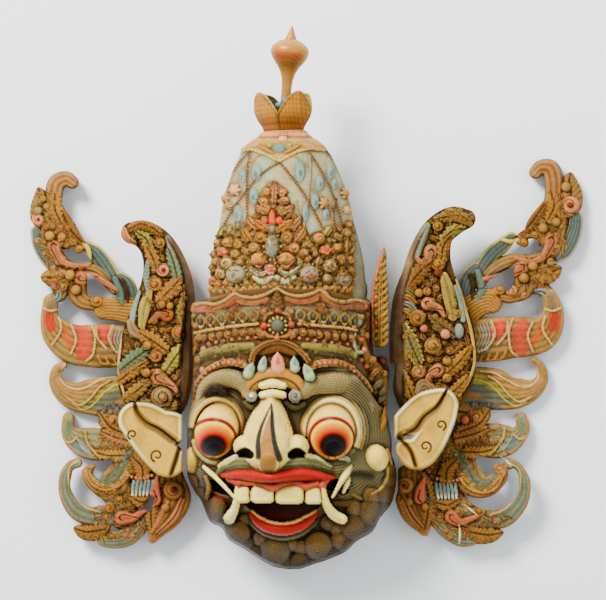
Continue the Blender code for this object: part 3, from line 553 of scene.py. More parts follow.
def painted(name, rough=0.55, coat=0.0, grain=0.25, metal=0.0, shine=0.12):
    """Paint or rubbed gilding over wood, coloured from the mesh's own paint, which on most pieces also holds painted
    shade and highlights.
    """
    m = bpy.data.materials.new(name)
    m.use_nodes = True
    nt = m.node_tree
    b = nt.nodes["Principled BSDF"]
    b.inputs["Roughness"].default_value = rough
    b.inputs["Metallic"].default_value = metal
    b.inputs["Coat Weight"].default_value = coat
    b.inputs["Specular IOR Level"].default_value = shine
    b.inputs["Coat Roughness"].default_value = 0.25
    attr = nt.nodes.new("ShaderNodeAttribute")
    attr.attribute_name = "paint"
    spots = nt.nodes.new("ShaderNodeTexNoise")
    spots.inputs["Scale"].default_value = 420
    spots.inputs["Detail"].default_value = 5
    coords = nt.nodes.new("ShaderNodeTexCoord")
    nt.links.new(coords.outputs["Object"], spots.inputs["Vector"])
    ramp = nt.nodes.new("ShaderNodeMapRange")
    ramp.inputs["To Min"].default_value = 1.0 - grain
    ramp.inputs["To Max"].default_value = 1.0 + grain
    nt.links.new(spots.outputs["Fac"], ramp.inputs["Value"])
    mul = nt.nodes.new("ShaderNodeMix")
    mul.data_type, mul.blend_type = "RGBA", "MULTIPLY"
    mul.inputs["Factor"].default_value = 1.0
    nt.links.new(attr.outputs["Color"], mul.inputs["A"])
    nt.links.new(ramp.outputs["Result"], mul.inputs["B"])
    nt.links.new(mul.outputs["Result"], b.inputs["Base Color"])
    return m


WOODY = painted("polychrome_rubbed_and_shaded", 0.70, 0.0, 0.34, shine=0.05)
GLOSSY = painted("varnished_paint", 0.40, 0.0, 0.14, shine=0.10)
GILDED = painted("worn_gilt", 0.40, 0.0, 0.20, 0.25)

# --------------------------------------------------- stroke data of the wings
FAN_RIGHT = dict(
    plume=[(535.5, 172.5, 6.5), (541, 167.5, 7.5), (550, 169, 9.5), (553.5, 179, 9.5), (554, 190, 9), (553, 200, 9)],
    top_leaf=[(570, 176, 4), (569, 183, 8), (571, 191, 10), (570.5, 202, 12.3), (568, 211, 8)],
    inner_leaf=[(556, 206, 13), (551, 218, 17), (543, 228, 17), (533, 235, 10), (521, 237, 4.5)],
    outer_blue=[(576, 218, 7), (575, 228, 7.5), (571, 240, 8), (565, 251, 7.5), (558, 257, 5)],
    scroll_strip=[(559, 226, 9), (557, 236, 9), (554, 247, 9), (546, 256, 7), (530, 260, 5.5), (515, 260, 6.5), (500, 265, 7), (488, 274, 6), (480, 284, 6)],
    blue_a=[(511, 237, 5.5), (503, 245, 7.5), (493, 253, 8), (486, 262, 8), (480, 272, 7)],
    blue_b=[(476, 268, 6.5), (470, 277, 9), (466, 288, 9), (464, 300, 9)],
    leaf=[(528, 268, 8), (540, 273, 13), (551, 272, 9.5), (558, 269, 4)],
    scroll_mass=[(523, 272, 9), (524, 287, 11), (512, 297, 6.5), (503, 296, 6)],
    link=[(530, 284, 10), (540, 287, 7.5), (548, 294, 7)],
    gold_fan=[(466, 312, 14), (478, 304, 13), (488, 301, 12.5), (492, 303, 10.5)],
    red=[(549, 296.5, 8), (553, 309, 10), (551, 323, 13), (542, 334, 17), (528, 337, 19.5), (513, 337, 21), (496, 339, 22), (478, 340, 22), (464, 340, 20)],
    s_feather=[(534.5, 361, 4.2), (541, 368, 5), (541.5, 380, 6.5), (532, 390, 10), (518, 393, 15), (505, 391, 19), (490, 389, 21), (470, 388, 22)],
    ear_leaf=[(462, 412, 12), (480, 414, 11)],
    lobed=[(521, 418, 5.8), (522.5, 429, 7.3), (513, 439, 11), (500, 441, 17), (485, 440, 17), (468, 436, 16)],
    inner_crescent=[(452, 448, 12), (461, 462, 15), (468, 476, 16), (477, 485, 13), (488, 486.5, 10), (498, 480, 8), (502.5, 471, 5.5), (497, 467, 4)],
    outer_crescent=[(509, 463.5, 5.5), (517.5, 468, 5), (524, 480, 5.8), (524, 494, 6.3), (518, 506, 8), (506, 517, 9.5), (492, 520, 9.5), (478, 518, 11), (464, 512, 15)],
    tail_leaf=[(500, 533, 3.5), (490, 535, 8), (478, 535, 9), (468, 530, 9)],
    tail_blue=[(470, 539, 7.3), (461, 537.5, 9), (449, 531, 9), (439, 521, 8.5), (430, 511, 8)],
    knot=[(440, 492, 13), (452, 503, 15), (456, 516, 13), (446, 523, 11)],
    low_leaf=[(409, 478, 14), (410, 495, 15.5), (415, 511, 14.5), (422, 524, 9), (424.5, 532, 4.5)],
    backing=[(440, 455, 16), (438, 476, 15), (424, 484, 12)],
    root=[(456, 335, 14), (458, 365, 14), (458, 392, 16)],
)
FAN_RIGHT_GAPS = dict(
    scroll_eye=[(531.5, 246, 7.5), (526, 250, 4.2), (518, 251.5, 2.6), (513, 252.5, 1.5)],
    scroll_gap=[(506, 282.5, 7), (499, 281.5, 5.8), (492, 283, 4), (488, 285.5, 2)],
    under_leaf=[(535.5, 303, 8), (527, 308, 8), (515, 309.5, 6.8), (507, 309.5, 5)],
    over_s=[(496, 364, 1.2), (505, 366.5, 4), (517, 369, 9), (527, 369, 8.5), (532.5, 370, 4)],
    over_lobed=[(494.5, 414.5, 3.5), (503, 418, 6.3), (511, 417, 5.8), (515.5, 413.5, 1.5)],
    over_crescent=[(477, 460.5, 1.7), (482, 465, 4.3), (488, 469.5, 5), (492, 472.5, 2.5)],
    crescents=[(469, 499, 1.5), (478, 503, 3.8), (490, 504, 6.3), (502, 498, 7.3), (511, 487, 6.8), (513.5, 476, 5), (513, 471.5, 3)],
)
FAN_RIGHT_KNOBS = dict(
    eye_curl=[(519, 240.5, 4), (524, 242.5, 4.8)], gap_curl=[(494, 293, 5), (500, 289.5, 4.6)],
)
FAN_LEFT = dict(
    plume=[(72.5, 182.5, 6.5), (66, 178.7, 7.6), (57, 183, 9), (54, 193, 9), (53, 203, 9)],
    top_leaf=[(39, 190, 3), (41, 197, 7), (38.5, 207, 8), (38, 216, 8), (40, 222, 6.5)],
    inner_leaf=[(52, 209, 11), (55, 221, 15), (62, 232, 15.5), (71, 239, 10.5), (81, 243.5, 4.5)],
    outer_blue=[(35.5, 231, 5), (38.5, 243, 6.5), (45, 255, 7.5), (54, 265, 7.5)],
    scroll_strip=[(49, 233, 10), (50, 246, 10), (57, 257, 8), (70, 266, 4.5), (84, 267, 4.5), (97, 271, 6.5), (107, 280, 6.5), (115, 289, 6)],
    blue_a=[(89, 247, 5.5), (96, 253.5, 8), (104, 264, 8.5), (111, 275, 8), (116, 285, 7)],
    blue_b=[(120, 277.5, 6), (126, 285, 9), (129.5, 297, 9.5), (133, 307, 8)],
    leaf=[(69, 276, 9), (58, 278, 11), (49, 277.5, 7.5), (44, 277.5, 3.5)],
    scroll_mass=[(80, 276, 7.5), (77, 289, 10), (82, 300, 8.5), (93, 304.5, 6.5)],
    link=[(61, 287, 9.5), (60, 295, 6.5), (52, 299, 5.5)],
    gold_fan=[(128, 310, 14), (117, 309, 12), (107, 308.5, 11.5), (103, 310, 9.5)],
    red=[(51, 301.5, 7.8), (49.5, 313, 8.5), (51.5, 325, 11), (59, 335, 16), (73, 344, 19.5), (89, 346, 21), (106, 346, 22), (124, 346, 20)],
    s_feather=[(63.5, 365.5, 4.2), (56.5, 370, 5), (56, 382, 7), (65, 392, 11), (78, 397, 14.5), (92, 397, 18), (106, 397, 20), (124, 396, 20)],
    ear_leaf=[(118, 418, 12), (108, 420, 10)],
    lobed=[(68.5, 418, 6), (68.5, 430, 7.3), (76, 439, 11.5), (90, 443.5, 16), (105, 444, 16), (120, 440, 15)],
    inner_crescent=[(93, 468, 4), (87.5, 472, 5.3), (89.5, 481, 7), (97, 488.5, 9), (106, 489, 11.5), (114, 482, 13.5), (121, 467, 13.5), (126, 451, 12)],
    outer_crescent=[(77.5, 463, 5), (70.5, 466, 5), (65.5, 476, 6), (64.5, 488, 6.2), (68.5, 500, 7.5), (77, 511, 9), (89, 516, 9.5), (102, 516, 11), (114, 510, 15)],
    tail_leaf=[(77, 529, 3.8), (85, 532, 8), (94, 532, 9), (102, 527, 9)],
    tail_blue=[(104, 540, 7), (115, 540, 8.6), (127, 537, 9.5), (137, 529, 9), (144, 519, 9)],
    knot=[(136, 494, 14), (124, 503, 13), (122, 516, 13), (132, 520, 12)],
    low_leaf=[(174, 483, 14), (174, 498, 17), (167, 513, 16), (158, 528, 9.5), (152.5, 539, 4.5)],
    backing=[(139, 457, 16), (145, 477, 15), (158, 486, 12)],
    root=[(136, 335, 14), (134, 365, 14), (134, 392, 16)],
)
FAN_LEFT_GAPS = dict(
    scroll_eye=[(72.5, 252, 5), (76, 257, 5), (82, 260, 2.8), (86, 261.7, 1.4)],
    scroll_gap=[(92, 292, 5), (98, 290.7, 4.5), (104, 293, 3.8), (110, 297, 1.8)],
    under_leaf=[(62.5, 307.5, 3.3), (67, 312.5, 5.3), (76, 317, 5.8), (86, 317, 5), (91, 316.3, 3.3)],
    over_s=[(66.5, 372, 3.8), (73, 373.3, 6.3), (81, 373.7, 4), (89, 373, 1.2)],
    over_lobed=[(79.5, 418, 2.7), (85, 420.7, 4.8), (92, 421, 4.3), (96.5, 419.7, 2.7)],
    over_crescent=[(96, 472.5, 2.6), (100.5, 469, 4.6), (107, 464, 3.7), (112, 460, 1.5)],
    crescents=[(76.5, 473, 4.2), (77.5, 482, 5.6), (83, 491, 6), (91, 498, 5.4), (100, 502, 3.3), (105, 503.3, 1.5)],
)
FAN_LEFT_KNOBS = dict(
    eye_curl=[(83, 247, 4), (79, 248.7, 4.6)], gap_curl=[(103, 303, 5), (97, 300.5, 4.8)],
)
WING_RIGHT = [(466, 219, 9.8), (452, 221.5, 14.8), (437, 234, 16.7), (429.5, 256, 21), (428, 280, 27), (428.5, 305, 36), (432, 335, 42.5), (433, 365, 43), (430, 388, 36), (426, 400, 24)]
WING_RIGHT_SLIT = [(392.3, 366, 3), (391.5, 380, 2.2), (390.5, 394, 1.6)]
WING_LEFT = [(132, 233, 11), (144, 234.5, 14), (157, 246, 17.3), (165, 266, 21.5), (167, 290, 27), (163, 315, 32), (157, 345, 36.5), (155, 372, 38), (156, 390, 34), (160, 402, 24)]
def fan_front(root_u):
    """Heights of a feather fan: forward at its lower half, swept back above."""
    def height(u, v):
        low = smooth(430, 485, v)
        reach = np.hypot(u - root_u, v - 330) / 188
        return -44.2 + 22.0 * low - (32 - 26 * smooth(360, 470, v)) * reach ** 1.3
    return height


def wing_front(ridge_side):
    """Heights of an inner wing: its plain inner margin slopes back steeply."""
    line = curve(WING_RIGHT if ridge_side > 0 else WING_LEFT, 2.0)

    def height(u, v):
        u, v = np.broadcast_arrays(u, v)
        shape = np.shape(u)
        flat_u, flat_v = np.ravel(u), np.ravel(v)
        d = np.hypot(flat_u[:, None] - line[:, 0], flat_v[:, None] - line[:, 1]) - line[:, 2]
        near = np.argmin(d, axis=1)
        across = (flat_u - line[near, 0]) / line[near, 2] * ridge_side
        inset = -d.min(axis=1)
        h = -14 - 9 * across - 6 * smooth(300, 210, flat_v)
        h -= 13 * smooth(-0.62, -1.0, across) * smooth(225, 260, flat_v)
        h -= 4 * (1 - smooth(0, 5, inset))
        return h.reshape(shape)
    return height


EAR_RIGHT = [(399, 434, 6), (402, 425, 11), (414, 419, 17), (428, 411, 20), (441, 405.5, 17.5)]
EAR_RIGHT_TIP = [(441, 405.5, 17.5), (440, 420, 15), (428, 444, 16), (417, 454, 16), (406, 450, 11)]
EAR_LEFT = [(179, 424, 7), (172, 428, 16), (160, 430, 20), (146, 423, 20), (136, 420, 18)]
EAR_LEFT_TIP = [(136, 420, 18), (148, 436, 19), (162, 455, 18), (170, 460.5, 16.5), (178, 456, 8)]
EAR_FIELD = {1: [EAR_RIGHT, EAR_RIGHT_TIP], -1: [EAR_LEFT, EAR_LEFT_TIP]}
FLAME_RIGHT = [(384, 248, 1.2), (383.5, 256, 3), (381.5, 270, 5), (380, 290, 8.3), (380, 310, 8.8), (380, 340, 8)]
FLAME_LEFT = [(193, 309, 3), (191.5, 320, 5.5), (192, 345, 6)]


def back_sheet(pts, border, inner_net, field):
    """A coarse net of triangles inside the cut border, whose points it keeps."""
    ids = np.unique(border)
    where = {int(k): i for i, k in enumerate(ids)}
    points = [tuple(pts[k]) for k in ids]
    edges = [(where[int(a)], where[int(b)]) for a, b in border]
    lo, hi = pts.min(0), pts.max(0)
    gu, gv = np.meshgrid(np.arange(lo[0], hi[0], inner_net), np.arange(lo[1], hi[1], inner_net), indexing="ij")
    gu, gv = gu.ravel(), gv.ravel()
    keep = field(gu, gv) < -inner_net * 0.35
    points += list(zip(gu[keep], gv[keep]))
    got, _, tris, *_ = delaunay_2d_cdt(points, edges, [], 0, 1e-6, False)
    flat = np.array([tuple(p) for p in got])
    tris = np.array(tris)
    mid = flat[tris].mean(axis=1)
    return flat, tris[field(mid[:, 0], mid[:, 1]) < 0.05]


def board(name, node, relief, field, ground, back, mat, rim=2.6, drop=2.4, back_paint=None,
          back_ground=None, net=9.0):
    """A carved board: its front from the relief, its plain back on a coarse net."""
    f = field(relief.u, relief.v)
    z = ground(relief.u, relief.v) + relief.h - drop * (1 - smooth(0, rim, -f)) ** 1.5
    pts, refs, tris, border = clipped(relief.us, relief.vs, f)
    top_z = sampled(z, refs)
    col = sampled(relief.c, refs)
    flat, back_tris = back_sheet(pts, border, net, field)
    back_ground = back_ground or ground
    low_z = back(flat[:, 0], flat[:, 1])
    n = len(pts)
    # the back keeps the border's points in their places
    key = {(round(float(a), 4), round(float(b), 4)): i for i, (a, b) in enumerate(flat)}
    link = {}
    for k in np.unique(border):
        q = key.get((round(float(pts[k, 0]), 4), round(float(pts[k, 1]), 4)))
        if q is None:
            q = int(np.argmin(np.hypot(flat[:, 0] - pts[k, 0], flat[:, 1] - pts[k, 1])))
        link[int(k)] = q
    walls = []
    for a, b in border:
        p, q = link[int(a)] + n, link[int(b)] + n
        walls += [(b, a, p), (b, p, q)]
    # turn of the back: against that of the front
    a, b, c = flat[back_tris[:, 0]], flat[back_tris[:, 1]], flat[back_tris[:, 2]]
    turn = (b[:, 0] - a[:, 0]) * (c[:, 1] - a[:, 1]) - (b[:, 1] - a[:, 1]) * (c[:, 0] - a[:, 0])
    back_tris = np.where((turn > 0)[:, None], back_tris[:, ::-1], back_tris)
    verts = np.vstack([
        lay(pts[:, 0], pts[:, 1], top_z),
        lay(flat[:, 0], flat[:, 1], np.minimum(low_z, low_z)),
    ])
    back_paint = UMBER * 1.4 if back_paint is None else back_paint
    blot = 0.8 + 0.4 * np.abs(np.sin(flat[:, 0] * 0.37) * np.sin(flat[:, 1] * 0.29))
    cols = np.vstack([col, back_paint * blot[:, None]])
    all_tris = np.vstack([tris, np.array(walls), back_tris + n])
    return make_piece(name, verts, all_tris, cols, mat, node)


# ------------------------------------------------- carving the outer wings
FEATHER = tone(176, 142, 92)
STYLE = dict(
    backing=dict(base=0.0, top=1.0, colour=tone(120, 88, 52)),
    root=dict(base=0.0, top=1.5, colour=tone(120, 96, 58), grooves=7),
    knot=dict(base=0.4, top=3.0, colour=tone(150, 116, 70), grooves=4),
    tail_blue=dict(base=0.2, top=3.4, colour=mix(BLUE, GREEN, 0.45), grooves=5, deep=0.45, edge=(2.2, FEATHER)),
    tail_leaf=dict(base=0.8, top=3.2, colour=tone(160, 118, 66), teeth=(5.0, 0.26), line=[(0, 1.2, UMBER)]),
    outer_crescent=dict(base=0.8, top=3.4, colour=mix(BLUE, GREEN, 0.45), edge=(2.4, tone(178, 128, 84)), grooves=3, deep=0.35),
    inner_crescent=dict(base=1.6, top=3.4, colour=tone(168, 134, 80), grooves=5, deep=0.35, edge=(2.0, tone(178, 128, 84))),
    lobed=dict(base=1.8, top=3.8, colour=tone(156, 146, 112), edge=(2.2, tone(178, 136, 90)), grooves=5, deep=0.35),
    ear_leaf=dict(base=2.4, top=4.0, colour=tone(168, 128, 72), teeth=(6.0, 0.25), line=[(0, 1.2, UMBER)]),
    s_feather=dict(base=1.4, top=4.4, colour=FEATHER, grooves=7, deep=0.45, edge=(2.0, tone(178, 136, 90))),
    red=dict(base=1.6, top=5.0, colour=FEATHER, grooves=6, deep=0.3, edge=(2.2, tone(182, 140, 88))),
    gold_fan=dict(base=3.0, top=4.2, colour=tone(184, 138, 72), grooves=8, deep=0.8),
    blue_b=dict(base=1.0, top=4.0, colour=BLUE_DEEP, grooves=5, deep=0.5, edge=(2.0, YELLOW)),
    blue_a=dict(base=1.0, top=4.0, colour=BLUE_DEEP, grooves=4, deep=0.5, edge=(2.4, YELLOW)),
    link=dict(base=0.8, top=3.6, colour=tone(150, 124, 80), grooves=3),
    scroll_mass=dict(base=2.0, top=4.0, colour=tone(164, 124, 74), grooves=3),
    leaf=dict(base=2.4, top=4.4, colour=tone(168, 128, 72), teeth=(5.0, 0.26), line=[(0, 1.2, UMBER)], barbs=(5.0, 0.9, 0.5)),
    scroll_strip=dict(base=1.6, top=4.2, colour=tone(160, 128, 84), grooves=3),
    outer_blue=dict(base=0.8, top=3.8, colour=BLUE_DEEP, grooves=5, deep=0.5, edge=(2.0, tone(186, 176, 140))),
    inner_leaf=dict(base=2.6, top=4.6, colour=tone(166, 122, 64), teeth=(5.0, 0.24), line=[(0.3, 1.0, UMBER), (-0.3, 1.0, UMBER)], barbs=(5.0, 0.9, 0.5)),
    top_leaf=dict(base=2.0, top=4.2, colour=tone(158, 124, 72), teeth=(4.4, 0.26), line=[(0, 1.0, UMBER)], barbs=(4.4, 0.9, 0.5)),
    plume=dict(base=2.8, top=5.0, colour=tone(176, 128, 82), grooves=3, deep=0.9, edge=(1.6, BLUE_DEEP)),
    eye_curl=dict(base=3.0, top=4.0, colour=GOLD),
    gap_curl=dict(base=3.0, top=4.0, colour=GOLD),
)
ORDER_OF_CARVING = (
    "backing", "root", "tail_blue", "knot", "tail_leaf", "outer_crescent", "inner_crescent", "lobed",
    "s_feather", "red", "blue_b", "blue_a", "outer_blue", "link", "scroll_strip", "scroll_mass",
    "ear_leaf", "gold_fan", "leaf", "inner_leaf", "top_leaf", "plume", "eye_curl", "gap_curl",
)


def flip(points, on, about=604.0):
    """The same details for the other side of the sheet."""
    return [(about - p[0],) + tuple(p[1:]) for p in points] if on else points


def low_leaf(R, s):
    """The lowest leaf by the beard: a toothed gold leaf with a scroll, balls and a pink tip."""
    gold = tone(158, 116, 66)
    if s > 0:
        R.rib([(409, 478, 14), (410, 495, 15.5), (415, 511, 14.5), (422, 524, 9), (424.5, 532, 4.5)], 1.2, 3.6, gold, grooves=5, deep=0.5, edge=(2.2, tone(186, 126, 92)))
        serrated(R, [(421, 476, 5), (428, 492, 8), (428, 512, 7), (425, 528, 3)], 2.6, 2.8, tone(164, 122, 70), 4.0)
        R.curl(405, 486, 9.0, 3.6, gold, sense=-1, turns=1.7, eye=RED_DEEP)
        R.rib([(424, 478, 2), (421, 488, 4.5), (420, 498, 6.2)], 5.0, 3.2, tone(186, 104, 84))
        R.dent([(420, 490, 0.9), (418, 498, 1.1), (421, 502, 0.9)], 1.5, RED_DEEP)
        R.ball(409, 502, 4.2, 4.0, gold)
        R.ball(425, 507, 4.0, 4.0, gold)
        R.rib([(404, 500, 3), (412, 516, 4), (421, 527, 2.5)], 3.4, 2.6, tone(190, 128, 92), line=[(0, 0.9, UMBER)])
        R.rib([(400, 502, 2.4), (407, 517, 3.4), (417, 529, 2)], 3.0, 2.4, gold, barbs=(3.4, 0.5, 0.6))
    else:
        R.rib([(174, 483, 14), (174, 498, 17), (167, 513, 16), (158, 528, 9.5), (152.5, 539, 4.5)], 1.2, 3.6, gold, grooves=5, deep=0.5, edge=(2.2, tone(186, 126, 92)))
        serrated(R, [(160, 478, 5), (152, 494, 8), (151, 514, 7), (152, 533, 3)], 2.6, 2.8, tone(164, 122, 70), 4.0)
        R.curl(173.5, 490, 10.0, 3.6, gold, turns=1.7, eye=RED_DEEP)
        R.rib([(157, 478, 2), (155.5, 490, 4.5), (155, 500, 6.2)], 5.0, 3.2, tone(186, 104, 84))
        R.dent([(154, 491, 0.9), (157, 499, 1.1), (154, 504, 0.9)], 1.5, RED_DEEP)
        R.ball(165.5, 508, 4.4, 4.0, gold)
        R.ball(144, 508, 3.4, 4.0, gold)
        R.rib([(182, 500, 3), (174, 517, 4), (158, 533, 2.5)], 3.4, 2.6, tone(190, 128, 92), line=[(0, 0.9, UMBER)])
        R.rib([(168, 502, 2.4), (160, 518, 3.4), (152, 532, 2)], 3.4, 2.4, tone(184, 120, 88), barbs=(3.4, 0.5, 0.6))


def serrated(R, spine, base, top, colour, pitch=5.0, edge=None):
    """A leaf that narrows to its tip, toothed, with a sunk midrib and side veins."""
    R.rib(spine, base, top, colour, teeth=(pitch, 0.3), line=[(0, 0.9, UMBER)], barbs=(pitch, 0.9, 0.45), edge=edge)


def mirror(points, s, dv=0.0, shift=604.0):
    return points if s > 0 else [(shift - q[0], q[1] + dv, *q[2:]) for q in points]


def red_feather(R, s):
    """The big feather: tan, divided by scalloped ridges into cells painted red, orange and pink."""
    if s > 0:
        dv, M = 0.0, (lambda pts: pts)
    else:
        dv, M = 4.5, (lambda pts: [(604 - q[0], q[1] + 4.5 * float(smooth(545, 520, np.array(q[0]))), *q[2:]) for q in pts])
    R.paint(M([(550, 297, 5.5), (553, 308, 6.5)]), tone(120, 112, 100), 0.75, 0.8)
    R.paint(M([(555, 316, 6.5), (553, 327, 7.0)]), RED, 0.95, 0.5)
    R.paint(M([(541, 326, 5.0), (537, 337, 6.5), (531, 345, 4.5)]), tone(206, 104, 50), 0.9, 0.7)
    R.paint(M([(523, 324, 7.5), (519, 336, 10), (521, 349, 9)]), tone(206, 84, 70), 0.95, 0.5)
    R.paint(M([(500, 328, 9.5), (493, 334, 7.5)]), tone(222, 72, 62), 0.95, 0.35)
    R.paint(M([(484, 327, 4.5), (487, 342, 5), (482, 355, 4)]), tone(130, 134, 124), 0.85, 0.7)
    R.paint(M([(508, 356, 6), (496, 360, 6), (484, 361, 6)]), tone(150, 112, 56), 0.7, 0.6)
    for path in ([(544.5, 309), (553, 311), (561, 308)], [(545, 316), (543, 330), (552, 345)], [(533, 322), (528, 336), (533, 352)], [(513, 318), (509, 332), (511, 350), (518, 357)],
                 [(508, 322), (506, 334), (497, 345)], [(491, 320), (495, 334), (488, 347), (478, 352)]):
        R.seam(M(path), 1.35, 1.3, tone(196, 158, 108), 3.2, tone(206, 170, 120))
    for k in range(5):
        R.seam(M([(490 - k * 3.2, 322 + k), (493 - k * 3.2, 336), (487 - k * 3.2, 350)]), 0.8, 0.8, tone(170, 168, 150))
    for k in range(4):
        R.seam(M([(506 - k * 8, 352 + k * 1.2), (502 - k * 8, 359 + k), (494 - k * 8, 360 + k)]), 1.5, 1.3, GOLD, 2.6)


def fan_details(R, s):
    if s > 0:
        R.curl(570, 205, 10, 3.6, mix(PINK, GOLD, 0.35), sense=-1, eye=RED_DEEP)
        R.ball(566, 187, 5.2, 4.6, mix(GREEN, GOLD, 0.5))
        serrated(R, [(552, 196, 6), (554, 207, 8), (549, 218, 5)], 5.2, 3.2, GOLD)
        serrated(R, [(543, 206, 5), (532, 222, 7), (521, 233, 4)], 4.8, 3.0, mix(GOLD, BROWN, 0.6), 4.2)
        for u, v, r in ((543, 228, 5), (556, 222, 4.6), (533, 266, 5.0), (524, 278, 5.0), (551, 262, 4.0)):
            R.ball(u, v, r, 6.0, mix(GOLD, GREEN, 0.2))
        R.comma([(516, 258, 2.6), (532, 262, 3.6), (545, 255, 4.8), (551, 240, 8.2)], 4.4, 3.4, tone(204, 128, 104), sense=-1)
        R.comma([(484, 279, 2.4), (497, 277, 3.4), (510, 273, 4.6), (522, 267, 8.0)], 4.8, 3.4, tone(204, 128, 104), sense=-1)
        R.rib([(503, 240, 1.6), (513, 242, 2.4), (521, 238, 2)], 5.0, 2.0, YELLOW)
        R.rib([(470, 275, 2.2), (474, 287, 2.6), (472, 300, 2)], 4.6, 2.0, UMBER)
        R.rib([(478, 272, 3.0), (482, 288, 4.0), (478, 300, 3)], 4.8, 2.6, tone(84, 118, 116))
        R.curl(523.5, 242.5, 5.0, 6.0, GOLD, turns=1.2)
        R.curl(500, 289.5, 5.2, 6.0, GOLD, turns=1.2)
        R.curl(512, 291, 6.0, 5.6, mix(GOLD, PINK, 0.4), turns=1.4, sense=-1)
        R.rib([(536, 291, 2), (543, 292, 4), (549, 297, 3)], 3.8, 2.4, BLUE, line=[(0, 0.8, UMBER)])
    else:
        R.curl(38, 219, 6.0, 5.0, PINK, eye=RED_DEEP, turns=1.3)
        R.ball(43, 199, 3.6, 5.2, mix(GREEN, GOLD, 0.5))
        R.ball(46.5, 206.5, 3.6, 5.2, mix(GREEN, GOLD, 0.5))
        R.ball(38, 211, 4.6, 5.2, mix(GREEN, GOLD, 0.3))
        serrated(R, [(55, 196, 6), (55, 209, 8), (60, 221, 5)], 5.2, 3.2, GOLD)
        serrated(R, [(62, 212, 5), (70, 229, 7), (82, 242, 4)], 4.8, 3.0, mix(GOLD, BROWN, 0.6), 4.2)
        for u, v, r in ((50, 236, 5), (62, 237, 4.6), (70, 275, 5.4), (76, 290, 5.0)):
            R.ball(u, v, r, 6.0, mix(GOLD, GREEN, 0.2))
        R.comma([(88, 265, 2.4), (71, 265, 3.4), (59, 258, 4.6), (54, 246, 7.6)], 4.4, 3.4, tone(204, 128, 104), sense=1)
        R.comma([(116, 289, 2.4), (106, 283, 3.6), (94, 277, 4.8), (81, 278, 7.8)], 4.8, 3.4, tone(204, 128, 104), sense=1)
        R.rib([(82, 243, 1.6), (88, 249, 2.4), (90, 262, 2)], 5.0, 2.0, YELLOW)
        R.rib([(122, 280, 2.0), (126, 291, 2.6), (128, 302, 2)], 4.6, 2.0, UMBER)
        R.rib([(115, 279, 3.0), (120, 292, 4.0), (122, 304, 3)], 4.8, 2.6, tone(84, 118, 116))
        R.curl(79, 248.5, 4.6, 6.0, GOLD, turns=1.2)
        R.curl(97, 300.8, 6.4, 6.0, GOLD, turns=1.4)
        R.rib([(59, 292, 2), (58, 298, 3.4), (52, 301, 3)], 3.8, 2.4, BLUE, line=[(0, 0.8, UMBER)])


def s_feather_details(R, s):
    """The striated feather: pearled upper border, double ridge, a yellow to blue lower band."""
    if s > 0:
        M = lambda pts: pts
    else:
        M = lambda pts: [(598.5 - q[0], q[1] + 4.5 * float(smooth(545, 505, np.array(q[0]))), *q[2:]) for q in pts]
    R.paint(M([(537, 380, 7), (526, 390, 9), (512, 384, 9), (498, 378, 7)]), tone(196, 150, 96), 0.6, 0.5)
    R.paint(M([(516, 399, 4), (505, 394, 5), (492, 385, 6), (478, 380, 6), (462, 379, 6)]), tone(176, 168, 84), 0.8, 0.5)
    R.paint(M([(508, 402, 4), (497, 398, 6), (483, 391, 7), (466, 389, 8)]), tone(96, 118, 112), 0.85, 0.45)
    R.paint(M([(500, 408, 3), (488, 404, 5), (470, 402, 6)]), tone(92, 116, 122), 0.8, 0.5)
    R.paint(M([(478, 396, 5), (466, 396, 6)]), tone(186, 128, 84), 0.6, 0.6)
    R.seam(M([(533, 364), (537, 370), (537.5, 379), (530, 386), (518, 386), (505, 379), (494, 373), (480, 371)]), 1.1, 0.9, tone(206, 176, 128), 3.0)
    R.seam(M([(531, 397), (519, 402), (508, 394), (499, 383), (488, 376)]), 1.3, 1.4, tone(198, 160, 106), 3.2)
    R.seam(M([(526, 402), (515, 406), (504, 399), (494, 388), (483, 381), (470, 379)]), 1.0, 1.0, tone(196, 178, 96))


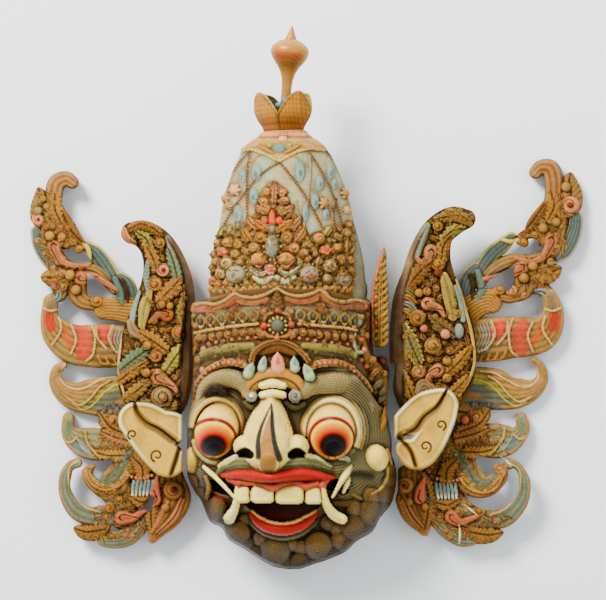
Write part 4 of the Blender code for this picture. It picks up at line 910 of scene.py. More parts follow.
def lower_details(R, s):
    if s > 0:
        N = lambda pts: pts
        C = lambda pts: pts
    else:
        N = lambda pts: [(590.0 - q[0], q[1] + 3.5, *q[2:]) for q in pts]
        C = lambda pts: [(589.0 - q[0], q[1] - 3.0, *q[2:]) for q in pts]
    # by the ear: a scroll, leaves and a ball
    R.curl(*N([(477, 417)])[0], 7.4, 4.6, tone(176, 128, 80), sense=-s, turns=1.5)
    R.ball(*N([(465, 420)])[0], 4.4, 6.0, tone(190, 104, 84))
    serrated(R, N([(489, 411, 3), (479, 424, 6), (462, 431, 6)]), 4.8, 3.0, tone(172, 126, 72), 4.2)
    serrated(R, N([(486, 429, 3), (474, 434, 6), (458, 438, 6)]), 4.8, 3.0, tone(176, 126, 78), 4.2)
    serrated(R, N([(494, 449, 3), (482, 452, 6), (468, 452, 6)]), 4.8, 3.0, tone(176, 132, 70), 4.2)
    # the lobed feather: an oval cell at its tip, blue patches behind scalloped ridges
    R.paint(N([(521, 420, 4), (522, 431, 5)]), tone(106, 128, 112), 0.8, 0.7)
    R.paint(N([(512, 441, 8), (504, 446, 8)]), tone(92, 122, 134), 0.85, 0.6)
    R.paint(N([(500, 431, 5), (494, 440, 5)]), tone(150, 156, 128), 0.7, 0.7)
    R.seam(N([(513, 434), (520, 439), (528, 436)]), 1.3, 1.2, tone(196, 160, 110), 3.0)
    R.seam(N([(505, 427), (503, 438), (497, 447), (490, 455)]), 1.4, 1.4, tone(190, 150, 92), 3.4)
    for k in range(4):
        R.seam(N([(512 - k * 3, 436 + k * 2), (508 - k * 3, 444 + k * 2), (503 - k * 3, 450 + k)]), 0.7, 0.7, tone(176, 176, 146))
    # the two crescents: coloured channels between pearled edges
    R.paint(C([(497, 472, 3), (490, 482, 5), (478, 482, 6), (468, 470, 6), (460, 455, 5)]), tone(104, 124, 112), 0.8, 0.55)
    R.paint(C([(500, 476, 1.6), (488, 488, 2.4), (474, 488, 2.6), (462, 474, 2.6)]), tone(190, 164, 84), 0.7, 0.6)
    R.seam(C([(504, 474), (497, 487), (484, 493), (470, 489), (459, 478)]), 1.2, 1.1, tone(190, 136, 88), 3.2)
    R.paint(C([(512, 467, 2.4), (520, 474, 3), (521, 488, 3.4), (513, 503, 3.6), (500, 515, 4)]), tone(98, 122, 112), 0.75, 0.6)
    R.seam(C([(510, 463), (519, 470), (520, 485), (514, 499), (503, 510), (490, 515)]), 1.0, 0.9, tone(204, 170, 104), 3.2)
    R.curl(*C([(499, 469)])[0], 4.6, 3.6, tone(180, 126, 78), sense=s, turns=1.1, top=3.0)
    # between crescents and low leaf: leaf with a row of teeth, the white-tipped tuft, the pink scroll
    serrated(R, C([(455, 461, 4), (447, 470, 8), (446, 482, 6)]), 4.0, 3.0, tone(158, 112, 62), 4.0)
    for k in range(6):
        R.rib(C([(436 + k * 3.8, 484, 1.5), (437 + k * 3.8, 491, 1.9), (438.4 + k * 3.6, 498, 1.1)]), 4.4, 2.2, tone(132, 150, 150), tip=(0.55, tone(226, 226, 206)))
    for k in range(7):
        R.ball(*C([(437 + k * 4.0, 481 - 0.25 * (k - 3) ** 2)])[0], 1.7, 5.2, tone(190, 128, 80))
    R.comma(C([(478, 516, 2.2), (468, 520, 3.4), (460, 522, 4.6), (452, 517, 7.2)] if s > 0 else [(436, 508, 2.0), (447, 515, 3.0), (456, 521, 4.4), (467, 521, 7.4)]), 4.4, 3.0, tone(206, 112, 96), sense=1 if s > 0 else -1)
    R.curl(*C([(480, 511)])[0], 6.2, 3.4, tone(164, 118, 66), sense=s, turns=1.4)
    R.curl(*C([(470, 503)])[0], 4.8, 3.4, tone(160, 116, 66), sense=-s, turns=1.3)
    serrated(R, C([(458, 500, 3), (448, 505, 6), (438, 503, 5)]), 3.2, 2.6, tone(164, 120, 68), 3.8)
    serrated(R, [(500, 533, 2), (489, 535, 6), (475, 533, 6)] if s > 0 else [(77, 529, 2), (87, 532, 6), (101, 530, 6)], 3.2, 2.4, tone(160, 118, 66), 4.2)


FINE = 0.8

for side, fan, gaps, knobs, root, box, s in (
    ("right", FAN_RIGHT, FAN_RIGHT_GAPS, FAN_RIGHT_KNOBS, 455, (380, 155, 592, 554), 1),
    ("left", FAN_LEFT, FAN_LEFT_GAPS, FAN_LEFT_KNOBS, 135, (24, 164, 204, 556), -1),
):
    def fan_field(u, v, s=s, fan=fan, gaps=gaps, knobs=knobs):
        solid = inside_strokes(u, v, fan.values())
        cut = np.maximum(solid, -inside_strokes(u, v, gaps.values()))
        if s > 0:
            cut = np.maximum(cut, 398.0 - 3.2 * smooth(488, 503, v) - u)
        else:
            cut = np.maximum(cut, u - 183.0 - 8.0 * smooth(470, 496, v))
        return np.minimum(cut, inside_strokes(u, v, knobs.values()))

    R = Relief(box, FINE, 0.0, BROWN)
    for name in ORDER_OF_CARVING:
        strokes = {**fan, **knobs}
        if name in strokes:
            R.rib(strokes[name], **STYLE[name])
    work = [tone(164, 120, 66), tone(150, 112, 62), tone(172, 128, 80), tone(158, 134, 84), tone(170, 112, 78)]
    for k, (u0, v0, u1, v1) in enumerate(((414, 440, 508, 540), (516, 196, 566, 296), (470, 405, 500, 440))):
        zone = (u0, v0, u1, v1) if s > 0 else (604 - u1, v0, 604 - u0, v1)
        R.scrolls(lambda a, b: fan_field(a, b) < -3.0, 40 + k + s, 7.4, 0.0, 2.0, work, zone, riding=True)
    low_leaf(R, s)
    red_feather(R, s)
    fan_details(R, s)
    s_feather_details(R, s)
    lower_details(R, s)
    R.age_and_shade(11 if s > 0 else 23, dull=0.32, shade=1.12, fade=0.17)
    if s > 0:  # cracks where the wood has split, showing bare wood
        for crack in ([(500, 456, 0.7), (506, 460, 1.0), (511, 466, 0.6)], [(465, 505, 0.6), (470, 509, 1.0), (476, 514, 0.6)], [(459, 525, 0.7), (460, 534, 1.1), (459, 544, 0.7)]):
            R.paint(crack, WOOD_RAW, 0.95)
    ground = fan_front(root)
    board(
        f"carved_outer_wing_{side}", f"outer_wing_{side}", R, fan_field, ground,
        lambda u, v, h=ground: h(u, v) - 9.0 - 3.0 * smooth(430, 300, v) * smooth(430, 470, v),
        WOODY,
    )

# -------------------------------------------------------- the inner wings
def inner_right(R):
    R.rib([(452, 214, 6), (462, 220, 5), (470, 224, 3)], 1.6, 3.0, GOLD, grooves=2)
    serrated(R, [(436, 219, 3), (447, 217, 6), (460, 216, 6), (468, 221, 4)], 1.8, 3.0, mix(GOLD, GREEN, 0.3))
    R.curl(438, 226, 5.2, 4.4, GOLD)
    serrated(R, [(464, 229, 3), (454, 230, 6), (444, 238, 5)], 2.4, 3.2, mix(GREEN, YELLOW, 0.45))
    R.rib([(427, 226, 4), (420, 240, 6), (417, 254, 4)], 2.0, 3.2, BLUE, grooves=2, edge=(1.4, GREEN))
    serrated(R, [(451, 236, 3), (444, 245, 6.5), (441, 260, 5)], 2.8, 3.2, GOLD)
    R.comma([(417, 258, 2.2), (421, 262, 3.4), (428, 260, 4.6), (431, 252, 7.6)], 3.0, 3.2, PINK, sense=-1)
    R.curl(438, 264, 7, 3.4, GOLD)
    R.ball(438.5, 272.5, 4.2, 4.0, mix(RED_DEEP, BROWN, 0.4))
    serrated(R, [(432, 262, 3), (420, 272, 8), (410, 284, 6)], 3.0, 3.4, mix(GOLD, BROWN, 0.5))
    serrated(R, [(408, 262, 2.5), (407, 274, 5), (409, 288, 4)], 2.4, 3.0, mix(GREEN, GOLD, 0.4), 4.2)
    R.rib([(444, 276, 4), (449, 294, 6.5), (453, 316, 5)], 2.6, 3.4, mix(GREEN, YELLOW, 0.35), grooves=2, edge=(1.5, OCHRE))
    R.rib([(456, 287, 2.5), (461, 303, 3.4), (463, 320, 3)], 2.2, 2.8, BLUE)
    for k in range(5):
        R.rib([(404, 282 + k * 7, 2.2), (410, 284 + k * 7, 3.2), (415, 289 + k * 7, 2.4)], 2.6, 2.6, [GOLD, GREEN, GOLD, BLUE, GOLD][k], line=[(0, 0.7, UMBER)])
    R.ball(419, 293, 4.2, 4.6, GOLD)
    R.ball(427, 291.5, 4.2, 4.6, GOLD)
    R.comma([(444, 316, 2.2), (440, 309, 3.4), (434, 306, 4.4), (428, 303.5, 7)], 3.4, 3.2, PINK, sense=1)
    R.curl(417.5, 318, 8.4, 3.6, mix(GOLD, BROWN, 0.2), sense=-1)
    R.ball(424, 328.5, 4.0, 4.4, SALMON)
    serrated(R, [(432, 318, 3), (442, 326, 7), (454, 334, 5)], 3.2, 3.2, mix(GREEN_DEEP, GOLD, 0.3))
    R.ball(445.5, 334, 5.0, 4.6, PINK)
    R.ball(459, 331, 4.8, 3.6, BLUE, ry=7.6)
    R.curl(457, 313.5, 4.8, 4.0, GOLD)
    R.curl(433, 346, 8.6, 3.8, mix(GOLD, GREEN, 0.2))
    serrated(R, [(405, 326, 3), (410, 342, 8), (418, 360, 6)], 2.8, 3.4, GREEN, edge=(1.5, YELLOW))
    serrated(R, [(399, 322, 2), (400, 340, 4), (404, 358, 4)], 2.2, 2.8, mix(GOLD, GREEN, 0.4), 4.4)
    serrated(R, [(469, 349, 3), (461, 360, 7), (450, 371, 6)], 2.8, 3.4, GOLD)
    R.ball(447, 361, 4.6, 4.6, GOLD)
    R.ball(447, 378, 4.6, 4.6, GOLD)
    R.comma([(430, 386, 2.2), (428, 380, 3.4), (431, 374, 4.4), (438, 370.5, 7)], 3.4, 3.2, PINK, sense=1)
    serrated(R, [(467, 377, 3), (459, 387, 6), (448, 396, 5)], 2.8, 3.4, GOLD)
    R.rib([(418, 392, 4), (424, 384, 6), (434, 392, 5)], 3.0, 3.2, mix(GOLD, BLUE, 0.4), grooves=3)
    serrated(R, [(402, 372, 3), (407, 384, 6), (412, 396, 5)], 2.6, 3.2, GOLD)
    R.curl(419, 372, 7.4, 3.6, mix(GOLD, PINK, 0.35), sense=-1)
    R.rib([(457, 280, 1.4), (465, 308, 1.5), (472, 335, 1.5), (474.5, 362, 1.5), (468, 382, 1.4), (459, 396, 1.2)], 2.4, 1.6, GOLD_PALE)
    R.rib([(441, 402, 6), (430, 402, 8), (417, 404, 6)], 1.8, 3.0, mix(GREEN, GOLD, 0.3), grooves=4)


def inner_left(R):
    serrated(R, [(131, 228, 4), (141, 224, 7), (153, 228, 6), (161, 235, 3)], 1.8, 3.0, mix(GOLD, BROWN, 0.3))
    R.rib([(124, 230, 3), (127, 238, 4), (134, 243, 3)], 2.0, 3.0, mix(GOLD, PINK, 0.4), grooves=2)
    serrated(R, [(138, 233, 3), (146, 239, 6), (150, 249, 5)], 2.4, 3.2, mix(GREEN, YELLOW, 0.45))
    R.curl(160, 243, 5.4, 4.4, GOLD)
    R.rib([(168, 238, 3), (172, 250, 4.5), (174, 262, 3.6)], 2.0, 3.2, BLUE, grooves=2)
    serrated(R, [(147, 247, 3), (152, 256, 6.5), (156, 268, 5)], 2.8, 3.2, GOLD)
    R.curl(163, 270, 6.8, 3.8, PINK, eye=RED_DEEP)
    R.rib([(148, 262, 2.4), (146.5, 276, 3.4), (148, 291, 2.6)], 2.6, 2.8, BLUE, barbs=(3.6, 0.3, 0.7))
    R.curl(155, 284, 7.4, 3.8, GOLD)
    serrated(R, [(169, 250, 3), (174, 264, 6.5), (178, 281, 5)], 2.6, 3.2, tone(110, 140, 120))
    serrated(R, [(180, 279, 3), (171, 289, 8), (161, 299, 6)], 3.2, 3.4, GOLD)
    R.rib([(150, 292, 3), (145, 306, 6), (142, 325, 4)], 2.6, 3.4, mix(GREEN, YELLOW, 0.45), grooves=2, edge=(1.5, OCHRE))
    R.rib([(139, 292, 2), (134, 308, 3.4), (132, 325, 3)], 2.2, 2.8, BLUE)
    R.ball(162, 304.5, 4.6, 4.6, mix(GOLD, BROWN, 0.4))
    R.ball(170, 306, 3.8, 4.4, GOLD)
    R.comma([(150, 322, 2.2), (155, 318, 3.4), (160, 314, 4.4), (167, 315, 7)], 3.4, 3.2, tone(170, 80, 58), sense=1)
    R.curl(180, 333, 8.4, 3.6, mix(GOLD, BROWN, 0.2), eye=RED)
    serrated(R, [(183, 300, 3), (181, 312, 5), (184, 325, 4)], 2.4, 3.0, mix(GREEN, GOLD, 0.4), 4.4)
    R.rib([(130, 322, 3.6), (134, 331, 5.4), (141, 336, 4)], 3.0, 3.2, mix(GOLD, BLUE, 0.4), grooves=2)
    serrated(R, [(138, 332, 3), (151, 340, 8), (164, 349, 6)], 3.2, 3.4, GOLD)
    R.ball(147.5, 345.5, 4.6, 5.0, GOLD)
    serrated(R, [(151, 347, 3), (137, 357, 8), (123, 368, 6)], 2.8, 3.4, tone(104, 136, 118))
    R.curl(156, 356, 6.4, 4.2, mix(GOLD, PINK, 0.3), eye=RED)
    serrated(R, [(187, 344, 3), (177, 355, 8), (168, 368, 6)], 2.8, 3.4, mix(GREEN, YELLOW, 0.5))
    serrated(R, [(146, 362, 3), (132, 371, 7), (120, 380, 5)], 3.2, 3.2, GOLD)
    R.ball(146.5, 373, 4.6, 4.6, GOLD)
    serrated(R, [(148, 381, 3), (138, 390, 7), (127, 398, 5)], 2.8, 3.2, mix(GOLD, GREEN, 0.25))
    R.comma([(178, 392, 2.4), (172, 386, 3.6), (165, 381, 5), (158, 377, 8.4)], 3.4, 3.2, PINK, sense=1)
    R.curl(162, 397, 11, 3.2, mix(GOLD, BLUE, 0.35), turns=2.2)
    # a dark sunk spot at the wing's lower inner corner by the face: painted shade
    R.dent([(181, 398, 7)], 3.0, UMBER)
    R.rib([(192, 345, 2), (186, 372, 4), (189, 392, 3)], 1.8, 2.6, mix(GREEN, GOLD, 0.3))
    R.rib([(133, 255, 1.2), (126, 285, 1.4), (123, 315, 1.4), (120, 345, 1.4), (118.5, 372, 1.4), (124, 394, 1.2)], 2.4, 1.6, GOLD_PALE)
    R.rib([(148, 405, 6), (160, 407, 8), (172, 405, 6)], 1.8, 3.0, mix(GREEN, GOLD, 0.3), grooves=4)


for side, way, line, box, seed in (
    ("right", 1, WING_RIGHT, (384, 202, 480, 428), 41),
    ("left", -1, WING_LEFT, (116, 216, 198, 430), 53),
):
    def wing_field(u, v, line=line, way=way):
        f = inside_strokes(u, v, [line])
        if way > 0:
            f = np.maximum(f, -inside_strokes(u, v, [WING_RIGHT_SLIT]))
        return f

    R = Relief(box, FINE * 0.64, 0.0, tone(112, 84, 50))
    w, t, across, along, r, length = R.near(line)
    plain_side = smooth(-0.50, -0.70, -across * way) * smooth(222, 262, R.v[w])
    R.h[w] += 0.8 * (1 - plain_side)
    R.c[w] = mix(R.c[w], mix(GREY, PINK, 0.32), plain_side)
    keep = (R.h.copy(), R.c.copy())
    R.scrolls(lambda a, b: wing_field(a, b) < -3, seed, 8.2, 0.6, 2.2, [tone(160, 118, 62), tone(146, 108, 60), tone(166, 124, 76), tone(136, 118, 70)], box)
    (inner_right if way > 0 else inner_left)(R)
    plain_all = np.zeros(R.h.shape)
    plain_all[w] = smooth(-0.58, -0.72, -across * way) * smooth(222, 250, R.v[w])
    R.h = R.h * (1 - plain_all) + keep[0] * plain_all
    R.c = mix(R.c, keep[1], plain_all)
    R.scrolls(lambda a, b: (wing_field(a, b) < -4) & (R.c[np.argmin(np.abs(R.us - a)), np.argmin(np.abs(R.vs - b)), 2] < 0.14), seed + 5, 6.0, 0.0, 1.3, [tone(150, 112, 60), tone(160, 122, 70), tone(138, 112, 66)], box, riding=True, share=0.42)
    R.age_and_shade(seed, dull=0.40, shade=1.12)
    board(
        f"carved_inner_wing_{side}", f"inner_wing_{side}", R, wing_field, wing_front(way),
        lambda u, v: np.full(np.shape(u), -40.8), WOODY, rim=2.2, drop=1.6,
    )

# ------------------------------------------------------------------- ears
for side, way, box in (("right", 1, (388, 384, 464, 476)), ("left", -1, (112, 398, 190, 482))):
    def ear_field(u, v, way=way):
        root = 393.8 if way > 0 else 182.6
        return np.maximum(inside_strokes(u, v, EAR_FIELD[way]), (root - u) * way)

    R = Relief(box, FINE * 0.85, 0.0, tone(224, 184, 92))
    f = ear_field(R.u, R.v)
    lip = smooth(-5.5, -2.0, f) * smooth(474, 430, R.v + (0 if way > 0 else -6))
    R.h += 1.8 * lip
    R.c = mix(R.c, tone(246, 236, 200), lip * 0.75)
    if way > 0:
        valleys = ([(447, 390, 2.0), (437, 407, 4.0), (424, 418, 5.0), (414, 430, 5.4), (400, 437, 6.0)],
                   [(398, 437, 2.4), (410, 450, 3.4), (416, 466, 2.6)])
        marks = ([(446, 391), (437, 406), (424, 417), (415, 429), (401, 436)], [(399, 438), (410, 450), (415, 465)])
        spirals = ((441, 425, 5.4, 1), (425.5, 446.5, 6.2, 1))
    else:
        valleys = ([(134, 401, 2.0), (138, 413, 4.0), (148, 424, 5.0), (162, 432, 5.4), (182, 447, 6.0)],
                   [(180, 446, 2.4), (176, 460, 3.6), (171, 474, 2.8)])
        marks = ([(135, 403), (138, 413), (146, 422), (161, 430), (181, 446)], [(180, 448), (176, 460), (172, 473)])
        spirals = ((132.5, 434.5, 5.2, -1), (157, 455.5, 6.6, -1))
    for k, valley in enumerate(valleys):
        # the valleys painted darker as they sink: painted shade
        R.dent(valley, 3.6 if k == 0 else 2.2, tone(170, 126, 60), power=1.3, strength=0.5)
    for mark in marks:
        R.paint([(a, b, 2.1) for a, b in mark], UMBER, 0.92, 0.7)
        # a broad brown band beside and below each mark: painted shade
        R.paint([(a + way * 1.5, b + 3.0, 5.0) for a, b in mark], tone(120, 84, 40), 0.45, 0.9)
        R.dent([(a, b, 1.3) for a, b in mark], 0.5)
    for u0, v0, r0, sense in spirals:
        a = np.linspace(0, 2.1 * math.pi, 22)
        q = r0 * (0.28 + 0.72 * a / a.max())
        line = [(u0 + sense * math.cos(x + 0.8) * y, v0 + math.sin(x + 0.8) * y, 1.0 + 0.5 * (y / r0)) for x, y in zip(a, q)]
        tail = line + [(line[-1][0] + sense * 3.0, line[-1][1] - 3.2, 0.8)]
        R.paint(tail, UMBER, 0.95, 0.6)
    blot = soft_noise(R.h.shape, R.cell, 14, 77 + way)
    R.c = mix(R.c, OCHRE * 0.75, smooth(0.45, 0.95, blot) * 0.45)
    # darker towards the ear's outline: painted shade at its edges
    R.c = mix(R.c, UMBER, smooth(-1.6, -0.2, f) * 0.45)
    R.age_and_shade(61, dark=0.55, fade=0.05)

    def ear_front(u, v, way=way):
        root = 394 if way > 0 else 186
        return 12.5 - 6 * np.abs(u - root) / 70

    board(
        f"carved_ear_{side}", f"ear_{side}", R, ear_field, ear_front,
        lambda u, v, h=ear_front: h(u, v) - 8.0, GLOSSY, rim=3.4, drop=2.6, back_paint=tone(120, 90, 60), net=7.0,
    )

# ------------------------------------------------------------- side flame
R = Relief((370, 245, 391, 350), FINE * 0.75, 0.0, mix(GREEN, GOLD, 0.4))
R.rib(FLAME_RIGHT, 0.4, 2.2, mix(GREEN, GOLD, 0.45), barbs=(6.5, -0.8, 0.8))
R.rib([(383.2, 252, 0.9), (377.5, 270, 1.2), (372.8, 290, 1.3), (372.2, 310, 1.3), (373, 345, 1.3)], 1.6, 1.4, SALMON)
R.rib([(384, 256, 1.0), (381.5, 275, 1.8), (380.5, 300, 2.2), (380, 345, 2.2)], 1.6, 2.0, GOLD, line=[(0, 0.7, UMBER)])
for k in range(12):
    v0 = 262 + k * 7.2
    R.rib([(381, v0 + 4, 1.6), (384.5 + 0.1 * k, v0 + 1.5, 1.8), (387 + 0.1 * k, v0 - 2.5, 1.0)], 1.8, 1.8, GOLD if k % 2 else mix(GREEN, GOLD, 0.4))
for k in range(9):
    v0 = 272 + k * 8.4
    R.ball(376.2 - 0.1 * k, v0, 2.0, 2.2, [SALMON, GOLD, GREEN][k % 3])
R.age_and_shade(71, dull=0.34, shade=1.3)
board(
    "carved_side_flame", "side_flame_right", R, lambda u, v: inside_strokes(u, v, [FLAME_RIGHT]),
    lambda u, v: 9 + 3 * np.cos((u - 380) / 6.0), lambda u, v: np.full(np.shape(u), -6.0),
    WOODY, rim=1.5, drop=1.2, net=5.0,
)

# ---------------------------------------------------------- the mask's face
# The mask's outline: sheet points with their height over the axis plane.
OUTLINE = [
    (277, 286.5, 82), (299, 289, 81), (320, 288.5, 73), (341, 294, 60), (356, 298, 38),
    (369.5, 301, 0), (370.3, 320, -2), (370.6, 345, -2), (374, 355, -2), (387.5, 360, -2),
    (388, 385, -2), (387, 410, -2), (389, 425, -3), (391.5, 440, -3), (392, 456, -3),
    (396, 470, -4), (395.6, 486, -4), (391, 504, -4), (380, 518, -4), (372, 532, -4),
    (357, 541, -4), (345, 552, -4), (327, 560, -4), (313, 564.5, -4), (297, 569.3, -4),
    (275, 567, -4), (259, 558.5, -4), (246, 550, -4), (229, 540, -4), (222, 528, -4),
    (210, 521, -4), (201, 500, -4), (195, 492, -4), (188.5, 478, -4), (186.5, 461, -4),
    (187.5, 440, -3), (188, 420, -3), (191, 405, -2), (193.5, 385, -2), (192.5, 350, -2),
    (191.5, 325, -2), (191.5, 305, 0), (203, 300, 34), (216, 296, 52), (235, 291.5, 70), (254, 289, 79),
]
MIDDLE = lay(290.0, 425.0, 20.0)[:2]
EDGE = lay(*np.array(OUTLINE, float).T)
EDGE_RISE = np.array(OUTLINE, float)[:, 2]
EDGE_ANGLE = np.arctan2(*(EDGE[:, :2] - MIDDLE).T[::-1])
EDGE_REACH = np.hypot(*(EDGE[:, :2] - MIDDLE).T)
ORDER = np.argsort(EDGE_ANGLE)


def round_the_edge(angle, values):
    a = EDGE_ANGLE[ORDER]
    a = np.concatenate([a[-1:] - 2 * math.pi, a, a[:1] + 2 * math.pi])
    w = values[ORDER]
    return np.interp(angle, a, np.concatenate([w[-1:], w, w[:1]]))


def table(v_rise, pick=288.0):
    rows = np.array([(lay(pick, v, rise)[1], rise) for v, rise in v_rise])
    return rows[::-1, 0], rows[::-1, 1]


SKULL = table([(286, 82), (345, 82), (352, 76), (365, 66), (385, 62), (410, 58), (440, 56), (470, 62), (500, 52), (520, 36), (545, 26), (569, 4)])
HOLLOW = table([(286, 60), (350, 56), (400, 48), (450, 46), (485, 30), (512, 12), (540, -2), (569, -12)])


def pillow(x, y, centre_rise, edge_rise, width):
    angle = np.arctan2(y - MIDDLE[1], x - MIDDLE[0])
    reach = np.hypot(x - MIDDLE[0], y - MIDDLE[1])
    inset = np.clip((round_the_edge(angle, EDGE_REACH) - reach) / width, 0, 1)
    return edge_rise + (centre_rise - edge_rise) * np.sqrt(1 - (1 - inset) ** 2)



SHEET_MID = np.array([290.0, 425.0])
EDGE_UV = np.array(OUTLINE, float)[:, :2]
EDGE_RING = curve(np.vstack([np.array(OUTLINE, float), np.array(OUTLINE[:1], float)]), 2.0)
RING_ANGLE = np.arctan2(EDGE_RING[:, 1] - 425.0, EDGE_RING[:, 0] - 290.0)
RING_REACH = np.hypot(EDGE_RING[:, 0] - 290.0, EDGE_RING[:, 1] - 425.0)
RING_ORDER = np.argsort(RING_ANGLE)


def sheet_edge(u, v):
    """Reach of the outline on the sheet, the point's own reach, and the edge's rise."""
    a = np.arctan2(v - 425.0, u - 290.0)
    ang = RING_ANGLE[RING_ORDER]
    ang = np.concatenate([ang[-1:] - 2 * math.pi, ang, ang[:1] + 2 * math.pi])
    out = []
    for values in (RING_REACH, EDGE_RING[:, 2]):
        w = values[RING_ORDER]
        out.append(np.interp(a, ang, np.concatenate([w[-1:], w, w[:1]])))
    return out[0], np.hypot(u - 290.0, v - 425.0), out[1]


def mask_field(u, v):
    reach, own, rise = sheet_edge(u, v)
    return own - reach


TIARA_FOOT = np.array([(184, 404), (190, 396), (196, 388), (208, 374), (221, 367.5), (241, 366), (249, 362), (256, 356), (266, 349), (278, 344), (290, 349), (300, 356), (308, 362), (316, 367), (330, 366), (344, 369), (357, 376), (369, 391), (378, 404), (392, 414)], float)
TIARA_TOP = 83.0


def tiara_rise(u, v):
    x = lay(u, v, 60.0)[..., 0]
    return TIARA_TOP * np.sqrt(np.clip(1 - ((x - 1) / 95) ** 2, 0, 1))


R = Relief((184, 284, 400, 572), FINE * 1.13, 0.0, HAIR)
U, V = R.u, R.v
reach, own, edge_rise = sheet_edge(U, V)
skull = np.interp(V, [286, 345, 352, 365, 385, 410, 440, 470, 500, 520, 545, 569], [82, 82, 76, 66, 62, 58, 56, 62, 52, 36, 26, 4])
inset = np.clip((reach - own) / 52.0, 0, 1)
face = -4.0 + (skull + 4.0) * np.sqrt(1 - (1 - inset) ** 2)
foot = np.interp(U, TIARA_FOOT[:, 0], TIARA_FOOT[:, 1])
crown_part = smooth(1.2, -1.2, V - foot)
R.h = face * (1 - crown_part) + (tiara_rise(U, V) - 1.0) * crown_part
R.c = mix(R.c * np.ones(R.h.shape + (3,)), tone(128, 98, 58), crown_part)

# side hair and whiskers: long streaks that bend round the eyes and cheeks
flow = np.sin((np.hypot(U - 331, (V - 432) * 0.9) - 1.5 * soft_noise(U.shape, R.cell, 9, 5)) * 2.6)
flow_left = np.sin((np.hypot(U - 216, (V - 432) * 0.9) - 1.5 * soft_noise(U.shape, R.cell, 9, 6)) * 2.6)
streak = np.where(U > 272, flow, flow_left)
hairy = (1 - crown_part) * (0.35 + 0.4 * soft_noise(U.shape, R.cell, 6, 8))
R.h += 0.55 * streak * hairy
R.c = mix(R.c, HAIR_PALE, np.clip(streak, 0, 1) * hairy * 0.45)
R.c = mix(R.c, HAIR_DARK, np.clip(-streak, 0, 1) * hairy * 0.6)
R.c = R.c * (1 + 0.42 * (1 - crown_part))[..., None]


def hair_curl(u0, v0, r, base, sense=1, start=0.0, pale=0.0):
    """A beard curl: a low mound cut with a many-turned spiral, painted darker in the cut and round its foot as painted
    shade, and lighter on its top as a painted highlight.
    """
    w = R.window(u0 - r, v0 - r, u0 + r, v0 + r)
    du, dv = R.u[w] - u0, R.v[w] - v0
    q = np.hypot(du, dv) / r
    a = np.mod(sense * np.arctan2(dv, du) - start, 2 * math.pi) / (2 * math.pi)
    turns = r / 2.1
    phase = np.mod(turns * (1 - q) + a, 1.0)
    cut = np.exp(-((np.minimum(phase, 1 - phase)) / 0.22) ** 2) * (q < 0.97)
    h = PLAIN[w] + 0.5 + r * 0.80 * np.sqrt(np.clip(1 - q * q, 0, 1)) - 0.7 * cut
    # painted shade in the cut and round the foot, painted highlight on the top
    col = mix(np.broadcast_to(mix(tone(122, 100, 56), GOLD, 0.18 + pale), q.shape + (3,)), tone(58, 44, 24), 0.62 * cut)
    col = mix(col, tone(44, 32, 18), smooth(0.72, 1.0, q) * 0.7)
    col = mix(col, tone(168, 132, 76), 0.40 * (1 - cut) * smooth(0.7, 0.1, q))
    R.put(w, q < 1, h, col)


def here(u, v, inset_by=0.0):
    """The plain face's rise at a sheet point."""
    return float(R.h[np.argmin(np.abs(R.us - u)), np.argmin(np.abs(R.vs - v))]) - inset_by


BEARD = [
    (198, 497, 9, 1), (204, 512, 10, -1), (214, 510, 13, 1), (224, 524, 11, -1), (237, 533, 13, 1), (246, 544, 8, -1), (228, 540, 8, 1),
    (256, 556, 10, 1), (275, 551, 15, -1), (262, 538, 9, 1), (290, 544, 8, 1), (300, 562, 10, -1), (284, 563, 8, 1), (318, 546, 14, 1),
    (330, 556, 9, -1), (302, 548, 8, -1), (339, 540, 9, 1), (353, 527, 13, -1), (348, 546, 9, 1), (337, 528, 8, -1), (366, 530, 9, 1),
    (371, 513, 13, 1), (386, 508, 9, -1), (387, 495, 10, 1), (355, 510, 9, 1), (390, 482, 7, -1), (391, 470, 6, 1), (372, 497, 9, -1),
    (244, 521, 7, 1), (328, 523, 8, -1), (190, 483, 8, 1), (268, 564, 6, 1), (315, 560, 7, -1),
]
PLAIN = R.h.copy()
for k, (u0, v0, r0, sense) in enumerate(BEARD):
    hair_curl(u0, v0, r0 * 1.12, here(u0, v0, 2.5), sense, k * 1.3, 0.12 * math.sin(k * 2.1))

# ---- brows and the brow cap
R.rib([(203, 402, 8, 46), (207, 389, 9, 56), (217, 381, 9.5, 62), (230, 378, 9.5, 65), (243, 383, 9, 68), (250, 393, 7, 70)], 0, 9, tone(170, 150, 108), grooves=8, deep=0.22, barbs=(3.2, 1.6, 0.25))
R.rib([(304, 391, 8, 70), (312, 385, 10, 68), (324, 383, 11, 64), (338, 383, 11.5, 60), (352, 389, 11, 50), (362, 401, 10, 40), (368, 417, 8, 30), (370, 430, 6, 22)], 0, 9, tone(172, 152, 110), grooves=9, deep=0.22, barbs=(3.2, 1.6, 0.25))
R.rib([(206, 394, 3, 62), (214, 388, 3.6, 70), (224, 392, 3, 70)], 2, 3, HAIR_DARK, barbs=(1.8, 0.5, 0.6))
R.rib([(248, 372, 7, 66), (259, 366, 10, 70), (273, 362, 12, 72), (287, 366, 10, 70), (299, 372, 7, 66)], 0, 5, tone(150, 112, 60), barbs=(3.2, 0.1, 0.8))
R.rib([(247, 393, 6, 70), (252, 384, 8, 72), (262, 378, 9.5, 73), (273, 376, 10.5, 74), (285, 377, 9.5, 73), (296, 383, 8, 72), (302, 392, 6, 70)], 0, 8, tone(186, 140, 66), line=[(0.2, 0.9, BROWN)])
R.rib([(262.5, 385.5, 4.2, 77), (272.5, 383.4, 4.8, 80), (283, 385.5, 4.2, 77)], 0, 7, tone(236, 216, 150))
R.rib([(262.5, 395, 4.0, 77), (272.5, 393.4, 4.6, 80), (283, 395, 4.0, 77)], 0, 7, tone(236, 216, 150))
